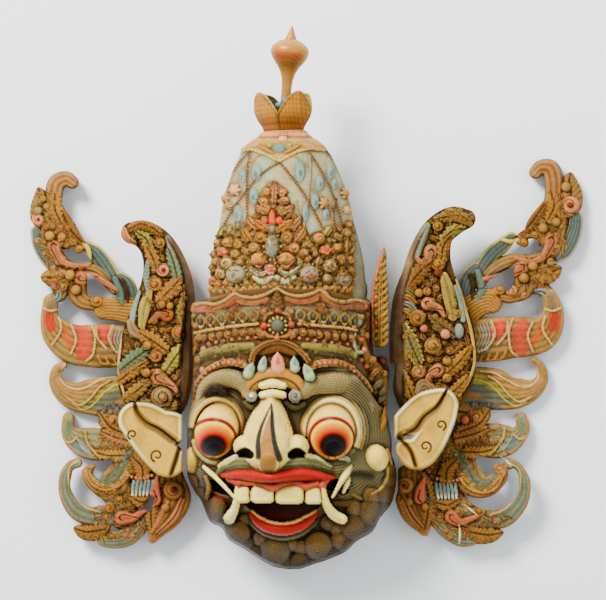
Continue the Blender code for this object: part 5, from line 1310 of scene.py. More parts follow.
R.paint([(262, 389.6, 1.0), (272.5, 388.2, 1.1), (284, 389.6, 1.0)], OCHRE, 0.9)
R.paint([(262, 398.4, 1.2), (272.5, 397.6, 1.5), (284, 398.6, 1.2)], OCHRE, 0.9)
R.curl(251.3, 396, 6.2, 76, tone(160, 158, 142), turns=1.2, eye=CREAM_PALE, top=7)
R.curl(295.2, 396, 7.0, 76, tone(150, 148, 134), sense=-1, turns=1.3, eye=tone(120, 116, 120), top=7)
R.rib([(246, 403, 3.4, 66), (252, 407, 3.6, 66), (259, 402, 3.0, 68)], 0, 5, HAIR)
R.rib([(286, 402, 3.0, 68), (294, 407, 3.8, 66), (303, 404, 3.4, 64)], 0, 5, HAIR)

# ---- eyelids, folds and eyeballs
def lids(cx, cy, rx, ry, rises, scales, colours, a0, a1):
    for s, rise, colour in zip(scales, rises, colours):
        a = np.radians(np.linspace(a0, a1, 11))
        taper = 1.9 + 1.4 * np.sin(np.linspace(0.25, math.pi - 0.25, 11))
        R.rib(list(zip(cx + rx * s * np.cos(a), cy - ry * s * np.sin(a), taper, np.full(11, rise) - 3 * np.cos(a) ** 2)), 0, 4.5, colour, grooves=0)


LEFT_EYE, RIGHT_EYE = (217.0, 430.5, 22.5, 28.5), (331.3, 432.0, 24.6, 29.0)
R.soft = 3.0
lids(*LEFT_EYE, (62, 59, 54), (1.09, 1.20, 1.33), (tone(196, 168, 108), tone(160, 140, 92), tone(136, 122, 84)), 172, -20)
lids(*RIGHT_EYE, (62, 59, 54, 48), (1.08, 1.18, 1.30, 1.42), (tone(226, 200, 140), tone(196, 170, 114), tone(166, 146, 98), tone(140, 126, 86)), 188, -25)
lids(*LEFT_EYE, (56,), (1.10,), (mix(CREAM, BROWN, 0.5),), 200, 300)
lids(*RIGHT_EYE, (56,), (1.09,), (mix(CREAM, BROWN, 0.45),), 215, 330)
R.soft = 0.0


def eyeball(cx, cy, rx, ry, rise, deep, pupil, ring, lean=0.0):
    w = R.window(cx - rx - 1, cy - ry - 1, cx + rx + 1, cy + ry + 1)
    u, v = R.u[w], R.v[w]
    du, dv = u - cx, v - cy
    q = ((du + lean * dv) / rx) ** 2 + (dv / ry) ** 2
    h = rise + deep * np.sqrt(np.clip(1 - q, 0, 1))
    (pu, pv, pr, ps), (ru, rv, rr) = pupil, ring
    # the painted rings are circles whose middles slide from the pupil to the outer ring
    du0, dv0, mu, mv, g = u - pu, (v - pv) * ps, ru - pu, (rv - pv) * ps, rr - pr
    a2 = mu * mu + mv * mv - g * g
    b2 = du0 * mu + dv0 * mv + pr * g
    k = (b2 - np.sqrt(np.clip(b2 * b2 - a2 * (du0 ** 2 + dv0 ** 2 - pr * pr), 0, None))) / a2
    k = np.clip(k, -1.2, 2.0)
    stops = [(-1.2, tone(12, 12, 13)), (-0.36, tone(16, 16, 17)), (-0.30, tone(58, 58, 58)), (-0.20, tone(14, 14, 15)), (-0.12, tone(46, 42, 42)), (-0.05, tone(20, 12, 12)),
             (0.03, tone(60, 12, 4)), (0.12, tone(150, 24, 2)), (0.18, tone(184, 50, 0)), (0.28, tone(202, 84, 0)), (0.40, tone(212, 116, 0)),
             (0.54, tone(218, 146, 0)), (0.68, tone(228, 174, 14)), (0.80, tone(238, 206, 84)), (0.86, tone(240, 214, 120)), (0.89, tone(214, 110, 20)), (0.94, tone(160, 40, 20)), (1.04, tone(100, 24, 36)), (1.10, tone(200, 120, 70)),
             (1.18, tone(238, 208, 140)), (1.5, tone(230, 196, 118)), (2.0, tone(196, 150, 80))]
    col = np.stack([np.interp(k, [s[0] for s in stops], [s[1][c] for s in stops]) for c in range(3)], axis=-1)
    # darker brown round the eyeball's rim, where it meets the lids: painted shade
    col = mix(col, tone(150, 84, 44), smooth(0.86, 1.0, q) * 0.65)
    R.put(w, q < 1, h, col)


eyeball(*LEFT_EYE, 58, 29, (213.6, 446.5, 11.6, 1.22), (212.5, 438.5, 23.2), 0.10)
eyeball(*RIGHT_EYE, 58, 29, (333.4, 446.0, 12.0, 1.12), (331.8, 438.0, 22.2))

# ---- cheeks
R.ball(192.6, 460, 8.6, 26, tone(222, 184, 96), ry=13.0, top=16)
R.ball(374.6, 458.7, 14.0, 40, tone(230, 198, 118), ry=14.4, top=20)
R.rib([(387, 450, 1.8, 26), (390, 462, 2.2, 22), (389.5, 474, 2.4, 22), (385, 485, 2.4, 24), (378, 493, 1.8, 26)], 0, 4, tone(200, 160, 84))
R.soft = 5.0
R.rib([(346, 487, 5, 46), (358, 488, 9, 44), (372, 484, 11, 38), (382, 474, 7, 30)], 0, 7, tone(134, 116, 66))
R.soft = 0.0
# a dark patch under the right cheek ball: painted shadow
R.paint([(347, 475, 5), (358, 474, 8), (371, 476, 7)], tone(52, 42, 26), 0.85, 1.0)
R.paint([(388, 466, 1.4), (387, 478, 1.8), (381, 488, 1.6), (372, 494, 1.2)], tone(206, 172, 88), 0.85, 0.6)
R.rib([(201, 447, 1.6, 38), (203, 456, 2.0, 40), (200, 466, 1.8, 36)], 0, 4, tone(190, 170, 120))
R.rib([(341, 450, 2.6, 60), (350, 451, 3.4, 56), (357, 458, 3.4, 50), (356, 468, 3, 48)], 0, 5, tone(170, 166, 140), grooves=2)
R.rib([(340, 458, 2.4, 62), (347, 459, 3.2, 58), (350, 466, 2.6, 54)], 0, 5, tone(186, 182, 156), grooves=2)
R.rib([(356, 448, 2.4, 50), (362, 444, 2.6, 44), (367, 437, 2.2, 34)], 0, 5, tone(196, 186, 146))
R.rib([(352, 494, 2.4, 50), (362, 498, 2.8, 44), (372, 492, 2.2, 38)], 0, 4, mix(HAIR, OCHRE, 0.3))
R.rib([(333, 503, 3, 52), (345, 503, 3.4, 50), (355, 500, 2.4, 46)], 0, 4, mix(BROWN, HAIR, 0.4))
R.rib([(386.5, 408, 2.2, 18), (383, 419, 4.4, 22), (376, 430, 6.5, 26), (369, 439, 4.5, 28)], 0, 6, tone(172, 122, 52), grooves=2, tip=(0.0, tone(172, 122, 52)))

# ---- nose
SKIN = tone(232, 204, 128)
R.soft = 7.0
R.rib([(270.5, 401, 10.5, 60), (270, 412, 15, 66), (269, 425, 20.5, 72), (268.5, 438, 25, 79), (268.3, 448, 25.5, 87), (268.3, 454.5, 20, 92)], 0, 26, SKIN, power=0.62)
R.ball(245.6, 446.5, 12.4, 76, SKIN, ry=11.8, top=24)
R.ball(296.4, 446.5, 12.6, 76, SKIN, ry=11.8, top=24)
R.soft = 0.0
R.paint([(272, 413, 1.2), (269, 424, 3.4), (267.5, 438, 6.4), (267.5, 450, 9.4), (268, 464, 10)], tone(168, 120, 56), 0.9, 0.25)
R.paint([(271.5, 403.5, 0.9), (266.5, 415, 1.5), (261, 428, 2.3), (258, 442, 3.0), (258.3, 457, 3.4)], tone(38, 44, 60), 0.95, 0.4)
R.paint([(271.5, 403.5, 0.9), (272.2, 416, 2.4), (272.6, 428, 2.7), (275, 444, 3.2), (279.5, 459, 4.0)], tone(42, 48, 62), 0.95, 0.4)
a = np.linspace(0, 1.5 * math.pi, 14)
R.paint([(288.5 + (1.2 + 2.6 * k / 13) * math.cos(-x + 0.4), 426 + (1.6 + 3.6 * k / 13) * math.sin(-x + 0.4), 0.55) for k, x in enumerate(a)], tone(150, 116, 60), 0.8)
# the nostrils sunk deep and painted black: painted shade in the holes
R.dent([(239.5, 454.5, 4.5), (245, 453, 5.6), (250, 455, 4.5)], 15, BLACK, power=0.6, strength=1.2)
R.dent([(291.5, 455, 4.5), (297, 453.3, 5.8), (302.5, 455, 4.2)], 15, BLACK, power=0.6, strength=1.2)
R.rib([(252, 461, 2.0, 96), (267, 465.5, 2.6, 99), (283, 461, 2.0, 96)], 0, 2.5, tone(120, 84, 46))
for u0, v0 in ((241.5, 427), (299.5, 429)):
    R.paint([(u0, v0 - 3, 3.4), (u0, v0 + 3, 3.8)], tone(214, 128, 104), 0.6, 0.8)

# ---- moustache, laugh ridges, lips, gums
R.rib([(219, 474, 4, 56), (226, 467, 5.6, 68), (238, 463.5, 6.6, 80), (254, 464.5, 6, 90), (270, 467, 5.2, 94), (288, 464.5, 6, 90), (308, 463.5, 6.6, 80), (324, 467, 6.4, 66), (337, 472, 4.8, 52)], 0, 6, tone(140, 134, 96), grooves=3, deep=0.4, barbs=(2.0, 0.3, 0.5))
R.soft = 2.5
R.rib([(220, 466, 2.6, 62), (228, 462, 4.0, 72), (236, 457, 3.0, 80)], 0, 6, tone(206, 192, 138))
R.rib([(307, 456, 3.2, 80), (315, 459.5, 4.4, 72), (323, 463.5, 3.6, 66), (330, 466.5, 2.2, 60)], 0, 6, tone(214, 200, 146))
R.soft = 0.0
R.rib([(222.5, 475.5, 2.2, 62), (232, 475, 4.4, 74), (244, 474.5, 6.0, 84), (256, 475.5, 6.2, 92), (271, 477.5, 5.4, 96), (286, 475.3, 6.2, 92), (300, 474.3, 6.8, 86), (313, 475.5, 6.0, 78), (324, 477.6, 4.6, 70), (333, 478, 2.4, 60)], 0, 9, tone(180, 40, 28))
R.rib([(229, 479, 3.6, 66), (237, 483, 5.0, 76), (240, 490, 3.4, 74)], 0, 7, tone(176, 70, 54))
R.rib([(327, 480, 3.6, 66), (322, 485, 5.2, 74), (321, 493, 3.4, 72)], 0, 7, tone(184, 88, 68))
R.rib([(240, 482, 4, 78), (255, 481.5, 4.6, 84), (264, 484, 4.2, 87), (272.5, 487, 4.6, 88), (281, 484, 4.2, 87), (292, 482, 4.6, 84), (304, 486.5, 4.4, 80), (316, 484, 4.4, 76)], 0, 6, tone(198, 100, 70))

# ---- the open mouth: inside, upper teeth, lower teeth, lower lip
arc = np.interp(U, [243, 250, 258, 268, 283, 298, 308, 316, 322], [503, 510, 516.5, 521, 523.5, 521, 516.5, 510.5, 503])
mouth = smooth(0, 2.2, arc - V) * smooth(0, 1.6, V - 500.5) * (U > 242) * (U < 323)
R.h = R.h * (1 - mouth) + (34 + 6 * np.sin((U - 283) / 24)) * mouth
R.c = mix(R.c, mix(tone(112, 34, 20), tone(58, 14, 10), 0.5 + 0.0 * U), mouth)
R.c = mix(R.c, tone(150, 52, 30), mouth * smooth(508, 519, V) * 0.6)
for u0, u1, v0, v1, rise in ((236.0, 250.2, 485.5, 503, 76), (250.6, 274.4, 484.5, 503.3, 82), (275.2, 303.6, 484.0, 504.2, 82), (304.4, 321.6, 486.0, 504.4, 75)):
    R.tooth(u0, u1, v0, v1, rise, 8, tone(240, 214, 138))
for run in ([(252, 511, 1.5, 40), (258, 516.3, 1.7, 43), (264.5, 519.6, 1.8, 45)], [(266, 520.6, 1.7, 46), (274, 523, 1.9, 47), (281.5, 523.9, 1.8, 48)],
            [(284, 523.8, 1.8, 48), (293, 522.4, 1.9, 47), (301, 519.2, 1.8, 46)], [(303, 517.8, 1.7, 45), (310, 514.4, 1.7, 43), (316.5, 510.5, 1.5, 40)]):
    R.rib(run, 0, 4, tone(224, 176, 116), over=True)
R.rib([(250, 513.5, 2, 36), (257, 521, 4.4, 40), (267, 527.2, 5.2, 44), (282.5, 530, 5.8, 46), (298, 527.2, 5.2, 44), (309, 520.6, 4.4, 40), (318, 512.5, 2, 36)], 0, 8, tone(180, 44, 28))
R.rib([(247, 518, 2, 32), (256, 527, 2.8, 34), (268, 534, 3.2, 36), (283, 537, 3.4, 37), (299, 534, 3.2, 36), (311, 526.5, 2.8, 34), (320, 518, 2, 32)], 0, 5, mix(HAIR, GREEN, 0.3), barbs=(2.0, 0.3, 0.5))

# ---- mouth corners, tusks and the thin side fangs
# the mouth's corners sunk deep and painted near black: painted shade in the pits
R.dent([(211, 484, 4.5), (219, 486.5, 6.5), (228, 489, 6.8), (233, 489, 5)], 22, tone(44, 12, 10), power=0.7, strength=1.2)
R.dent([(331, 486, 4.5), (337, 485, 6.5), (343, 489, 6.0)], 22, tone(40, 14, 12), power=0.7, strength=1.2)
R.paint([(209, 491, 3), (219, 497, 4.5), (231, 502, 4)], tone(120, 40, 26), 0.85, 0.8)
R.rib([(206, 477, 2.4, 44), (209, 487, 2.6, 42), (207, 497, 2.4, 36)], 0, 4, mix(HAIR, OCHRE, 0.3))
R.rib([(237.3, 488, 2.6, 74), (236.8, 498, 3.2, 72), (235, 508, 4.0, 68), (230.5, 516.5, 5.4, 62), (229.2, 518.5, 5.6, 60)], 0, 7, mix(CREAM, OCHRE, 0.18))
R.rib([(322.6, 489, 3.0, 74), (324.5, 499, 3.8, 71), (328.6, 508.5, 4.6, 66), (335, 515.5, 5.2, 60), (342, 519.0, 5.2, 56)], 0, 7, tone(238, 214, 136))
R.rib([(204, 467, 1.9, 50), (214, 476, 2.4, 60), (224, 486, 2.3, 68), (234, 497, 1.4, 74)], 0, 4, mix(CREAM, OCHRE, 0.2), over=True)
R.rib([(351, 466.5, 3.2, 56), (345.5, 475, 3.3, 62), (340.5, 483, 2.8, 66), (332.5, 497, 1.3, 68)], 0, 4, mix(CREAM, OCHRE, 0.25), over=True)
R.rib([(350, 476, 1.0, 56), (347, 483.5, 2.8, 60), (343.5, 492, 1.8, 60)], 0, 4, mix(CREAM, OCHRE, 0.35), over=True)

# --------------------------------------------------------------- the diadem
def T(*points):
    """Stations on the diadem's front: (u, v, half width) with the front's rise."""
    return [(u, v, r, float(tiara_rise(np.array(u), np.array(v))) - 1.0) for u, v, r in points]


def tiara_ball(u, v, r, colour, ry=None, top=None, lift=0.8):
    R.ball(u, v, r, float(tiara_rise(np.array(u), np.array(v))) - 1.0 + lift, colour, ry=ry, top=top)


SCALLOP_V = np.array([(190, 305), (203, 302), (216, 303.5), (227, 298), (234.7, 291.5), (244, 295), (255, 295.5), (267, 292), (277, 286.2), (287, 292),
                      (299, 294.5), (311, 292), (320, 287.8), (330, 297), (341, 300.6), (350, 299.5), (357, 298.5), (364, 301), (371, 302)], float)
R.rib(T((193, 304, 1.6), (204, 303, 1.8), (214, 304.5, 1.8), (225, 300.5, 1.8), (234.7, 293.5, 1.6)), 1.0, 3.0, tone(188, 150, 88))
R.rib(T((234.7, 293.5, 1.6), (243, 297, 1.9), (255, 297.5, 1.9), (267, 294, 1.8), (277, 288.2, 1.6)), 1.0, 3.0, tone(188, 150, 88))
R.rib(T((277, 288.2, 1.6), (287, 294, 1.8), (299, 296.3, 1.9), (311, 294, 1.8), (320, 289.6, 1.6)), 1.0, 3.0, tone(188, 150, 88))
R.rib(T((320, 289.6, 1.6), (330, 298.4, 1.8), (341, 302, 1.9), (350, 301, 1.8), (357, 299.5, 1.6)), 1.0, 3.0, tone(188, 150, 88))
R.rib(T((357, 299.5, 1.6), (364, 302, 1.6), (369, 303, 1.4)), 1.0, 3.0, tone(188, 150, 88))
wave = [(194, 309, 3.2), (205, 307.5, 4.0), (216, 308.5, 3.6), (227, 303.5, 4.2), (235.5, 297.5, 4.8), (245, 301, 3.8), (256, 302, 3.2), (266, 299, 2.8)]
wave2 = [(288, 298, 2.8), (299, 301, 3.2), (311, 298.5, 4.2), (320, 294.5, 5.2), (329, 302.5, 4.2), (341, 306.5, 3.2), (352, 305.5, 3.2), (364, 306.5, 3.0)]
R.rib(T(*[(a, b, c * 1.25) for a, b, c in wave]), 0.2, 1.8, mix(SALMON, TAN, 0.35), grooves=3, deep=0.3)
R.rib(T(*[(a, b, c * 1.25) for a, b, c in wave2]), 0.2, 1.8, mix(SALMON, TAN, 0.35), grooves=3, deep=0.3)
for u0, v0 in ((207, 308), (235, 300), (237, 304), (300, 301), (309, 300), (320, 298)):
    R.paint([(u0, v0, 3.6)], tone(200, 60, 46), 0.8, 0.9)
for cusp, low in (((277, 290.5), 307), ((234.7, 307), 314), ((320, 304), 311)):
    R.rib(T((cusp[0], cusp[1], 1.6), (cusp[0], (cusp[1] + low) / 2, 5.0), (cusp[0], low, 6.5)), 0.8, 2.6, GOLD_DARK, barbs=(4.2, 0.8, 0.7))
# leaf band with its small dark blue hearts
R.rib(T((196, 320, 7), (222, 317.5, 7.4), (250, 314, 7.4), (266, 313, 6)), 0.2, 1.2, mix(GREEN, BLUE, 0.45))
R.rib(T((289, 313, 6), (304, 314, 7.4), (332, 316.5, 7.4), (356, 320, 7)), 0.2, 1.2, mix(GREEN, BLUE, 0.45))
for k, (u0, v0) in enumerate(((201, 321), (211, 319.5), (222, 318.6), (232.5, 317), (243, 315.6), (254, 315), (300.5, 315), (313, 316), (323.5, 316.5), (334, 317.5), (344.5, 318.5), (354, 321))):
    R.rib(T((u0 - 3.4, v0 + 3.4, 1.2), (u0 - 4.2, v0 - 1, 1.7), (u0, v0 - 5, 1.5)), 0.8, 2.2, mix(GREEN, GOLD, 0.5))
    R.rib(T((u0 + 3.4, v0 + 3.4, 1.2), (u0 + 4.2, v0 - 1, 1.7), (u0, v0 - 5, 1.5)), 0.8, 2.2, mix(GREEN, GOLD, 0.5))
    tiara_ball(u0, v0, 2.6, tone(62, 90, 104) if k % 3 != 2 else tone(96, 112, 96), ry=3.4, top=1.8)
    R.rib(T((u0 - 1.6, v0 + 5.2, 1.0), (u0, v0 + 6.4, 1.2), (u0 + 1.6, v0 + 5.2, 1.0)), 1.0, 1.6, GOLD_PALE)
# gold arc line, scroll band, green arc band, bead arc
R.rib(T((195, 333, 1.4), (212, 329.5, 1.6), (236, 326.2, 1.7), (258, 324, 1.5)), 1.0, 2.4, GOLD_PALE)
R.rib(T((299, 324, 1.5), (322, 326, 1.7), (345, 328, 1.6), (357, 330.5, 1.4)), 1.0, 2.4, GOLD_PALE)
R.rib(T((199, 341, 6.2), (222, 337, 6.6), (246, 334.5, 6.6), (264, 333, 6)), 0.2, 1.0, mix(BROWN, GOLD, 0.3))
R.rib(T((291, 333, 6), (312, 334.5, 6.6), (334, 336.5, 6.6), (356, 341, 6.2)), 0.2, 1.0, mix(BROWN, GOLD, 0.3))
for k in range(8):
    u0 = 205 + k * 7.8
    v0 = 339.5 - 6.5 * math.sin(min(k, 7) / 7 * 1.5)
    base0 = float(tiara_rise(np.array(u0), np.array(v0)))
    R.curl(u0, v0 - 1.2, 4.3, base0 + 0.4, GOLD if k % 2 else mix(GOLD, BROWN, 0.4), sense=1 if k % 2 else -1, turns=1.2, top=3.2)
    tiara_ball(u0 + 3.6, v0 + 4.2, 1.9, PINK if k % 2 else SALMON)
for k in range(8):
    u0 = 295 + k * 8.0
    v0 = 333.5 + 6.5 * math.sin(max(k - 1, 0) / 7 * 1.3)
    base0 = float(tiara_rise(np.array(u0), np.array(v0)))
    R.curl(u0, v0 - 1.2, 4.3, base0 + 0.4, GOLD if k % 2 else mix(GOLD, BROWN, 0.4), sense=1 if k % 2 else -1, turns=1.2, top=3.2)
    tiara_ball(u0 - 3.6, v0 + 4.6, 1.9, PINK if k % 2 else SALMON)
for run, shade in ((((203, 354, 3.8), (215, 350.5, 4.2), (231, 347.5, 4.4), (252, 346, 3.6)), 0), (((304, 346, 3.6), (322, 347.5, 4.4), (340, 349.5, 4.4), (354, 355, 3.6)), 0)):
    R.rib(T(*run), 0.8, 3.0, mix(GREEN, YELLOW, 0.25))
    R.rib(T(*[(a, b + 6.0, 2.8) for a, b, c in run]), 0.2, 1.8, tone(74, 80, 52), barbs=(2.2, 0.2, 0.7))
for run in ([(192, 398), (195, 389), (201, 380), (208, 371.5), (215, 366.5), (222, 363.5), (230, 362.5), (238, 363), (245, 365)],
            [(312, 366), (318, 364), (325, 363), (332, 362.6), (339, 363.5), (346, 366), (352, 370), (358, 375.5), (364, 382), (369, 390)]):
    path = T(*[(a, b, 3.6) for a, b in run])
    R.rib(path, 0.4, 2.4, mix(GOLD, BROWN, 0.3), edge=(1.0, GOLD_PALE))
    dense = curve(path, 1.0)
    step = np.concatenate([[0], np.cumsum(np.hypot(*np.diff(dense[:, :2], axis=0).T))])
    for k, at in enumerate(np.arange(2.5, step[-1], 5.2)):
        q = dense[np.searchsorted(step, at)]
        R.ball(q[0], q[1], 2.1, q[3] + 2.2, SALMON if k % 3 == 0 else mix(PINK, GOLD, 0.4 * (k % 2)))
# the middle gem with its balls, the round arch and the lotus under it
for a in range(12):
    x = a * math.pi / 6
    R.ball(277.6 + 8.6 * math.cos(x), 325.6 + 8.2 * math.sin(x), 1.5, 83.4, GOLD_PALE)
R.ball(277.6, 325.6, 6.8, 83.0, tone(96, 112, 110), top=6)
for u0, v0, r0, c0 in ((277.5, 310.6, 3.0, tone(206, 70, 50)), (264.2, 326, 3.6, tone(200, 70, 54)), (291.6, 324.8, 3.4, tone(170, 92, 70)), (277, 338, 3.2, SALMON)):
    R.ball(u0, v0, r0, 83.4, c0)
for s in (-1, 1):
    R.rib(T((277.5 + s * 5, 313, 1.4), (277.5 + s * 11, 315, 2.2), (277.5 + s * 13, 320, 1.6)), 0.8, 2.4, GOLD)
    R.rib(T((277.5 + s * 4, 337, 1.4), (277.5 + s * 10, 336, 2.2), (277.5 + s * 13, 331.5, 1.6)), 0.8, 2.4, GOLD)
    R.curl(277.5 + s * 15.5, 334.5, 3.6, 83.2, mix(GOLD, PINK, 0.4), sense=s, turns=1.1, top=2.8)
    R.curl(277.5 + s * 13.5, 312, 3.4, 83.2, mix(GOLD, PINK, 0.4), sense=-s, turns=1.1, top=2.8)
arch = [(251.5, 361), (254, 353), (261, 346.5), (269, 343), (278, 341.8), (287, 343.2), (295, 347), (303, 354), (308.5, 361)]
R.rib([(a, b, 3.0, 81) for a, b in arch], 0.4, 3.2, mix(GOLD, BROWN, 0.2), line=[(0, 0.8, UMBER)], barbs=(3.0, 0.2, 0.4))
R.rib([(262, 352, 4, 78), (278, 347.5, 5, 80), (294, 352.5, 4, 78)], 0, 3, mix(BROWN, GOLD, 0.35), barbs=(3.2, 0.5, 0.6))
for (u0, v0, u1, v1, half), shade, eye_tint in (
    ((248.5, 374, 252.5, 362.5, 5.4), tone(170, 182, 150), tone(130, 156, 150)), ((309.5, 376, 305, 364.5, 5.6), tone(176, 184, 150), tone(120, 144, 140)),
    ((262, 368, 264.5, 356.5, 4.8), tone(176, 184, 160), tone(100, 126, 136)), ((295, 368, 294, 357, 5.0), tone(176, 184, 160), tone(96, 122, 134)),
    ((278, 369, 277.6, 352.5, 7.4), tone(226, 158, 132), tone(196, 90, 86)),
):
    R.rib([(u0, v0, half, 77), (u0 * 0.5 + u1 * 0.5, v0 * 0.5 + v1 * 0.5, half * 0.8, 78), (u1, v1, 0.8, 79)], 0, 6, shade, power=0.45)
    R.paint([(u0 * 0.6 + u1 * 0.4, v0 * 0.6 + v1 * 0.4, half * 0.55), (u1 * 0.8 + u0 * 0.2, v1 * 0.8 + v0 * 0.2, 1.0)], eye_tint, 0.8, 0.7)

# ---- the columns of scrolls down both temples
def column_field(spine, base_drop, pieces):
    for (u0, v0, r0, kind, tint) in pieces:
        base0 = here(u0, v0, -0.4)
        if kind == "ball":
            R.ball(u0, v0, r0, base0, tint)
        elif kind == "curl":
            R.curl(u0, v0, r0, base0, tint, sense=1 if int(v0) % 2 else -1, turns=1.3, top=4.0)
        else:
            R.rib([(u0 - r0, v0 + r0, 1.6, base0), (u0, v0, r0 * 0.6, base0), (u0 + r0, v0 - r0 * 0.8, 1.2, base0)], 0, 3.2, tint, line=[(0, 0.8, UMBER)], teeth=(3.5, 0.2))


R.rib([(361, 330, 4, 34), (362, 345, 5, 36), (366, 358, 6, 34), (374, 372, 9, 22), (380, 388, 10, 14), (384, 402, 7, 8)], 0, 10, mix(GOLD, BROWN, 0.4), barbs=(4, 0.5, 0.6))
R.rib([(199, 340, 5, 34), (196, 356, 7, 26), (192, 372, 7, 18), (189, 388, 6, 10), (188, 400, 4, 6)], 0, 10, mix(GOLD, BROWN, 0.4), barbs=(4, 0.5, 0.6))
R.rib([(355, 334, 1.6, 46), (353.5, 343, 2.8, 48), (357, 351, 3.0, 46), (363, 352, 2.2, 42)], 0, 6, tone(190, 196, 168))
column_field(None, 0, [
    (363, 326, 4, "leaf", GOLD), (366, 336, 4, "curl", GOLD), (372, 330, 3.4, "leaf", mix(GOLD, PINK, 0.4)), (371, 345, 4.4, "curl", mix(GOLD, BROWN, 0.3)), (364, 350, 3.0, "ball", PINK),
    (378, 352, 4.4, "leaf", GOLD), (372, 360, 4.6, "curl", GOLD), (381, 362, 4.4, "ball", tone(140, 66, 50)), (376, 371, 4.6, "leaf", mix(GOLD, PINK, 0.3)), (384, 374, 3.8, "curl", GOLD),
    (370, 378, 4.0, "curl", mix(GOLD, GREEN, 0.3)), (378, 384, 4.8, "leaf", mix(GREEN, BLUE, 0.3)), (384, 390, 4.0, "leaf", GREEN), (374, 392, 4.0, "curl", GOLD), (381, 399, 4.0, "leaf", mix(GREEN, BLUE, 0.4)), (366, 366, 2.8, "ball", SALMON),
    (361, 360, 2.6, "ball", GOLD), (362, 340, 2.6, "ball", mix(RED, GOLD, 0.4)),
    (200, 338, 4.4, "curl", GOLD), (193, 333, 3.6, "leaf", mix(GOLD, BROWN, 0.4)), (197, 348, 4.6, "leaf", GOLD), (204, 349, 3.0, "ball", PINK), (191, 352, 4.0, "curl", mix(GOLD, BROWN, 0.4)),
    (199, 360, 4.6, "curl", GOLD), (189, 366, 3.8, "leaf", mix(GREEN, GOLD, 0.4)), (203, 370, 3.4, "ball", PINK), (195, 371, 4.4, "leaf", GOLD), (188, 378, 3.8, "ball", PINK), (195, 382, 4.2, "curl", mix(GOLD, GREEN, 0.2)), (189, 391, 3.8, "leaf", GOLD),
    (193, 318, 3.4, "leaf", mix(GREEN, GOLD, 0.4)), (367, 315, 3.4, "leaf", GOLD), (196, 326, 3.2, "ball", GOLD), (362, 317, 2.6, "ball", GOLD),
])

# soften the steepest steps a little, paint shade along the lower rim, then age the paint and paint shade into its
# hollows
R.h = blurred(R.h, 0)
# darker towards the mask's lower edge along the beard: painted shade
rim = smooth(-15, -1, mask_field(R.u, R.v)) * smooth(430, 490, R.v)
R.c = R.c * (1 - 0.66 * rim[..., None])
for zone in ((208, 302, 356, 316), (208, 338, 262, 372), (294, 338, 358, 372), (208, 320, 262, 336), (294, 320, 356, 336)):
    R.scrolls(lambda a, b: crown_part[np.argmin(np.abs(R.us - a)), np.argmin(np.abs(R.vs - b))] > 0.5, int(zone[0] + zone[1]), 5.0, 0.0, 1.2,
              [tone(150, 112, 60), tone(164, 122, 66), tone(130, 112, 70), tone(168, 118, 84)], zone, riding=True, share=0.5)
R.age_and_shade(91, dark=0.66, fade=0.07, dull=0.40 * crown_part + 0.05, shade=(1.06 * np.ones(R.h.shape))[..., None])
FACE = R


def in_dome(points, shrink=6.0):
    """Part points in mm that lie inside the crown's wall."""
    foot, head = lay(289.0, 304.0, 0.0), lay(283.6, 130.8, 0.0)
    t = (points[:, 1] - foot[1]) / (head[1] - foot[1])
    centre_x = foot[0] + (head[0] - foot[0]) * t
    v = 304.0 - t * 173.2
    half = np.interp(v, [130.8, 147, 171, 205, 252, 285.5, 296.5, 304], [20.5, 40, 53, 64, 74, 77.5, 79, 77.5])
    dz = points[:, 2] - axis_height(points[:, 1])
    q = np.hypot((points[:, 0] - centre_x) / (half - shrink), dz / (half * 0.93 - shrink))
    return (t > 0.0) & (t < 1) & (q < 1)


f = mask_field(R.u, R.v)
pts, refs, tris, border = clipped(R.us, R.vs, f)
rise = sampled(R.h, refs)
col = sampled(R.c, refs)
on_edge = np.unique(border)
near = mask_field(pts[:, 0], pts[:, 1])
_, _, edge_here = sheet_edge(pts[:, 0], pts[:, 1])
roll = smooth(-3.0, 0.0, near) ** 1.5
rise = rise * (1 - roll) + np.minimum(rise, edge_here + 1.5) * roll
front = lay(pts[:, 0], pts[:, 1], rise)

ids = {int(k): i for i, k in enumerate(on_edge)}
rim = front[on_edge]
aim = rim[:, :2] - MIDDLE
far = np.hypot(aim[:, 0], aim[:, 1])
aim /= far[:, None]
rim_in = 14.0 - 11.0 * smooth(110, 140, rim[:, 1] + 125)


def ring_at(distance, z):
    xy = MIDDLE + aim * distance[:, None]
    return np.column_stack([xy, np.broadcast_to(z, len(xy))])


edge_z = rim[:, 2]
loft = [rim]
for k in (0.25, 0.5, 0.75):
    loft.append(ring_at(far - rim_in * (k * 0.7), edge_z * (1 - k)))
loft.append(ring_at(far - rim_in, 0.0))
loft.append(ring_at(far - rim_in - 12, 0.0))
loft.append(ring_at(far - 0.35 * rim_in - 13.5, (axis_height(rim[:, 1]) - 14) * 0.5))
for rho in np.linspace(0.97, 0.04, 12):
    inner = far - 14.5
    xy = MIDDLE + aim * (inner * rho)[:, None]
    close = np.clip((1 - rho) * inner / 46.0, 0, 1)
    low = -16.0 + (np.interp(xy[:, 1], *HOLLOW) + 16.0) * np.sqrt(1 - (1 - close) ** 2)
    loft.append(np.column_stack([xy, axis_height(xy[:, 1]) + low]))
n, m = len(front), len(on_edge)
loft_tris = []
for k in range(len(loft) - 1):
    for a, b in border:
        i, j = ids[int(a)], ids[int(b)]
        p, q = (int(a), int(b)) if k == 0 else (n + (k - 1) * m + i, n + (k - 1) * m + j)
        r, s = n + k * m + i, n + k * m + j
        loft_tris += [(q, p, r), (q, r, s)]
middle = n + (len(loft) - 1) * m
last = middle - m
for a, b in border:
    loft_tris.append((last + ids[int(b)], last + ids[int(a)], middle))
inside_paint = tone(128, 92, 62)
rows = np.vstack(loft[1:] + [loft[-1].mean(axis=0)[None]])
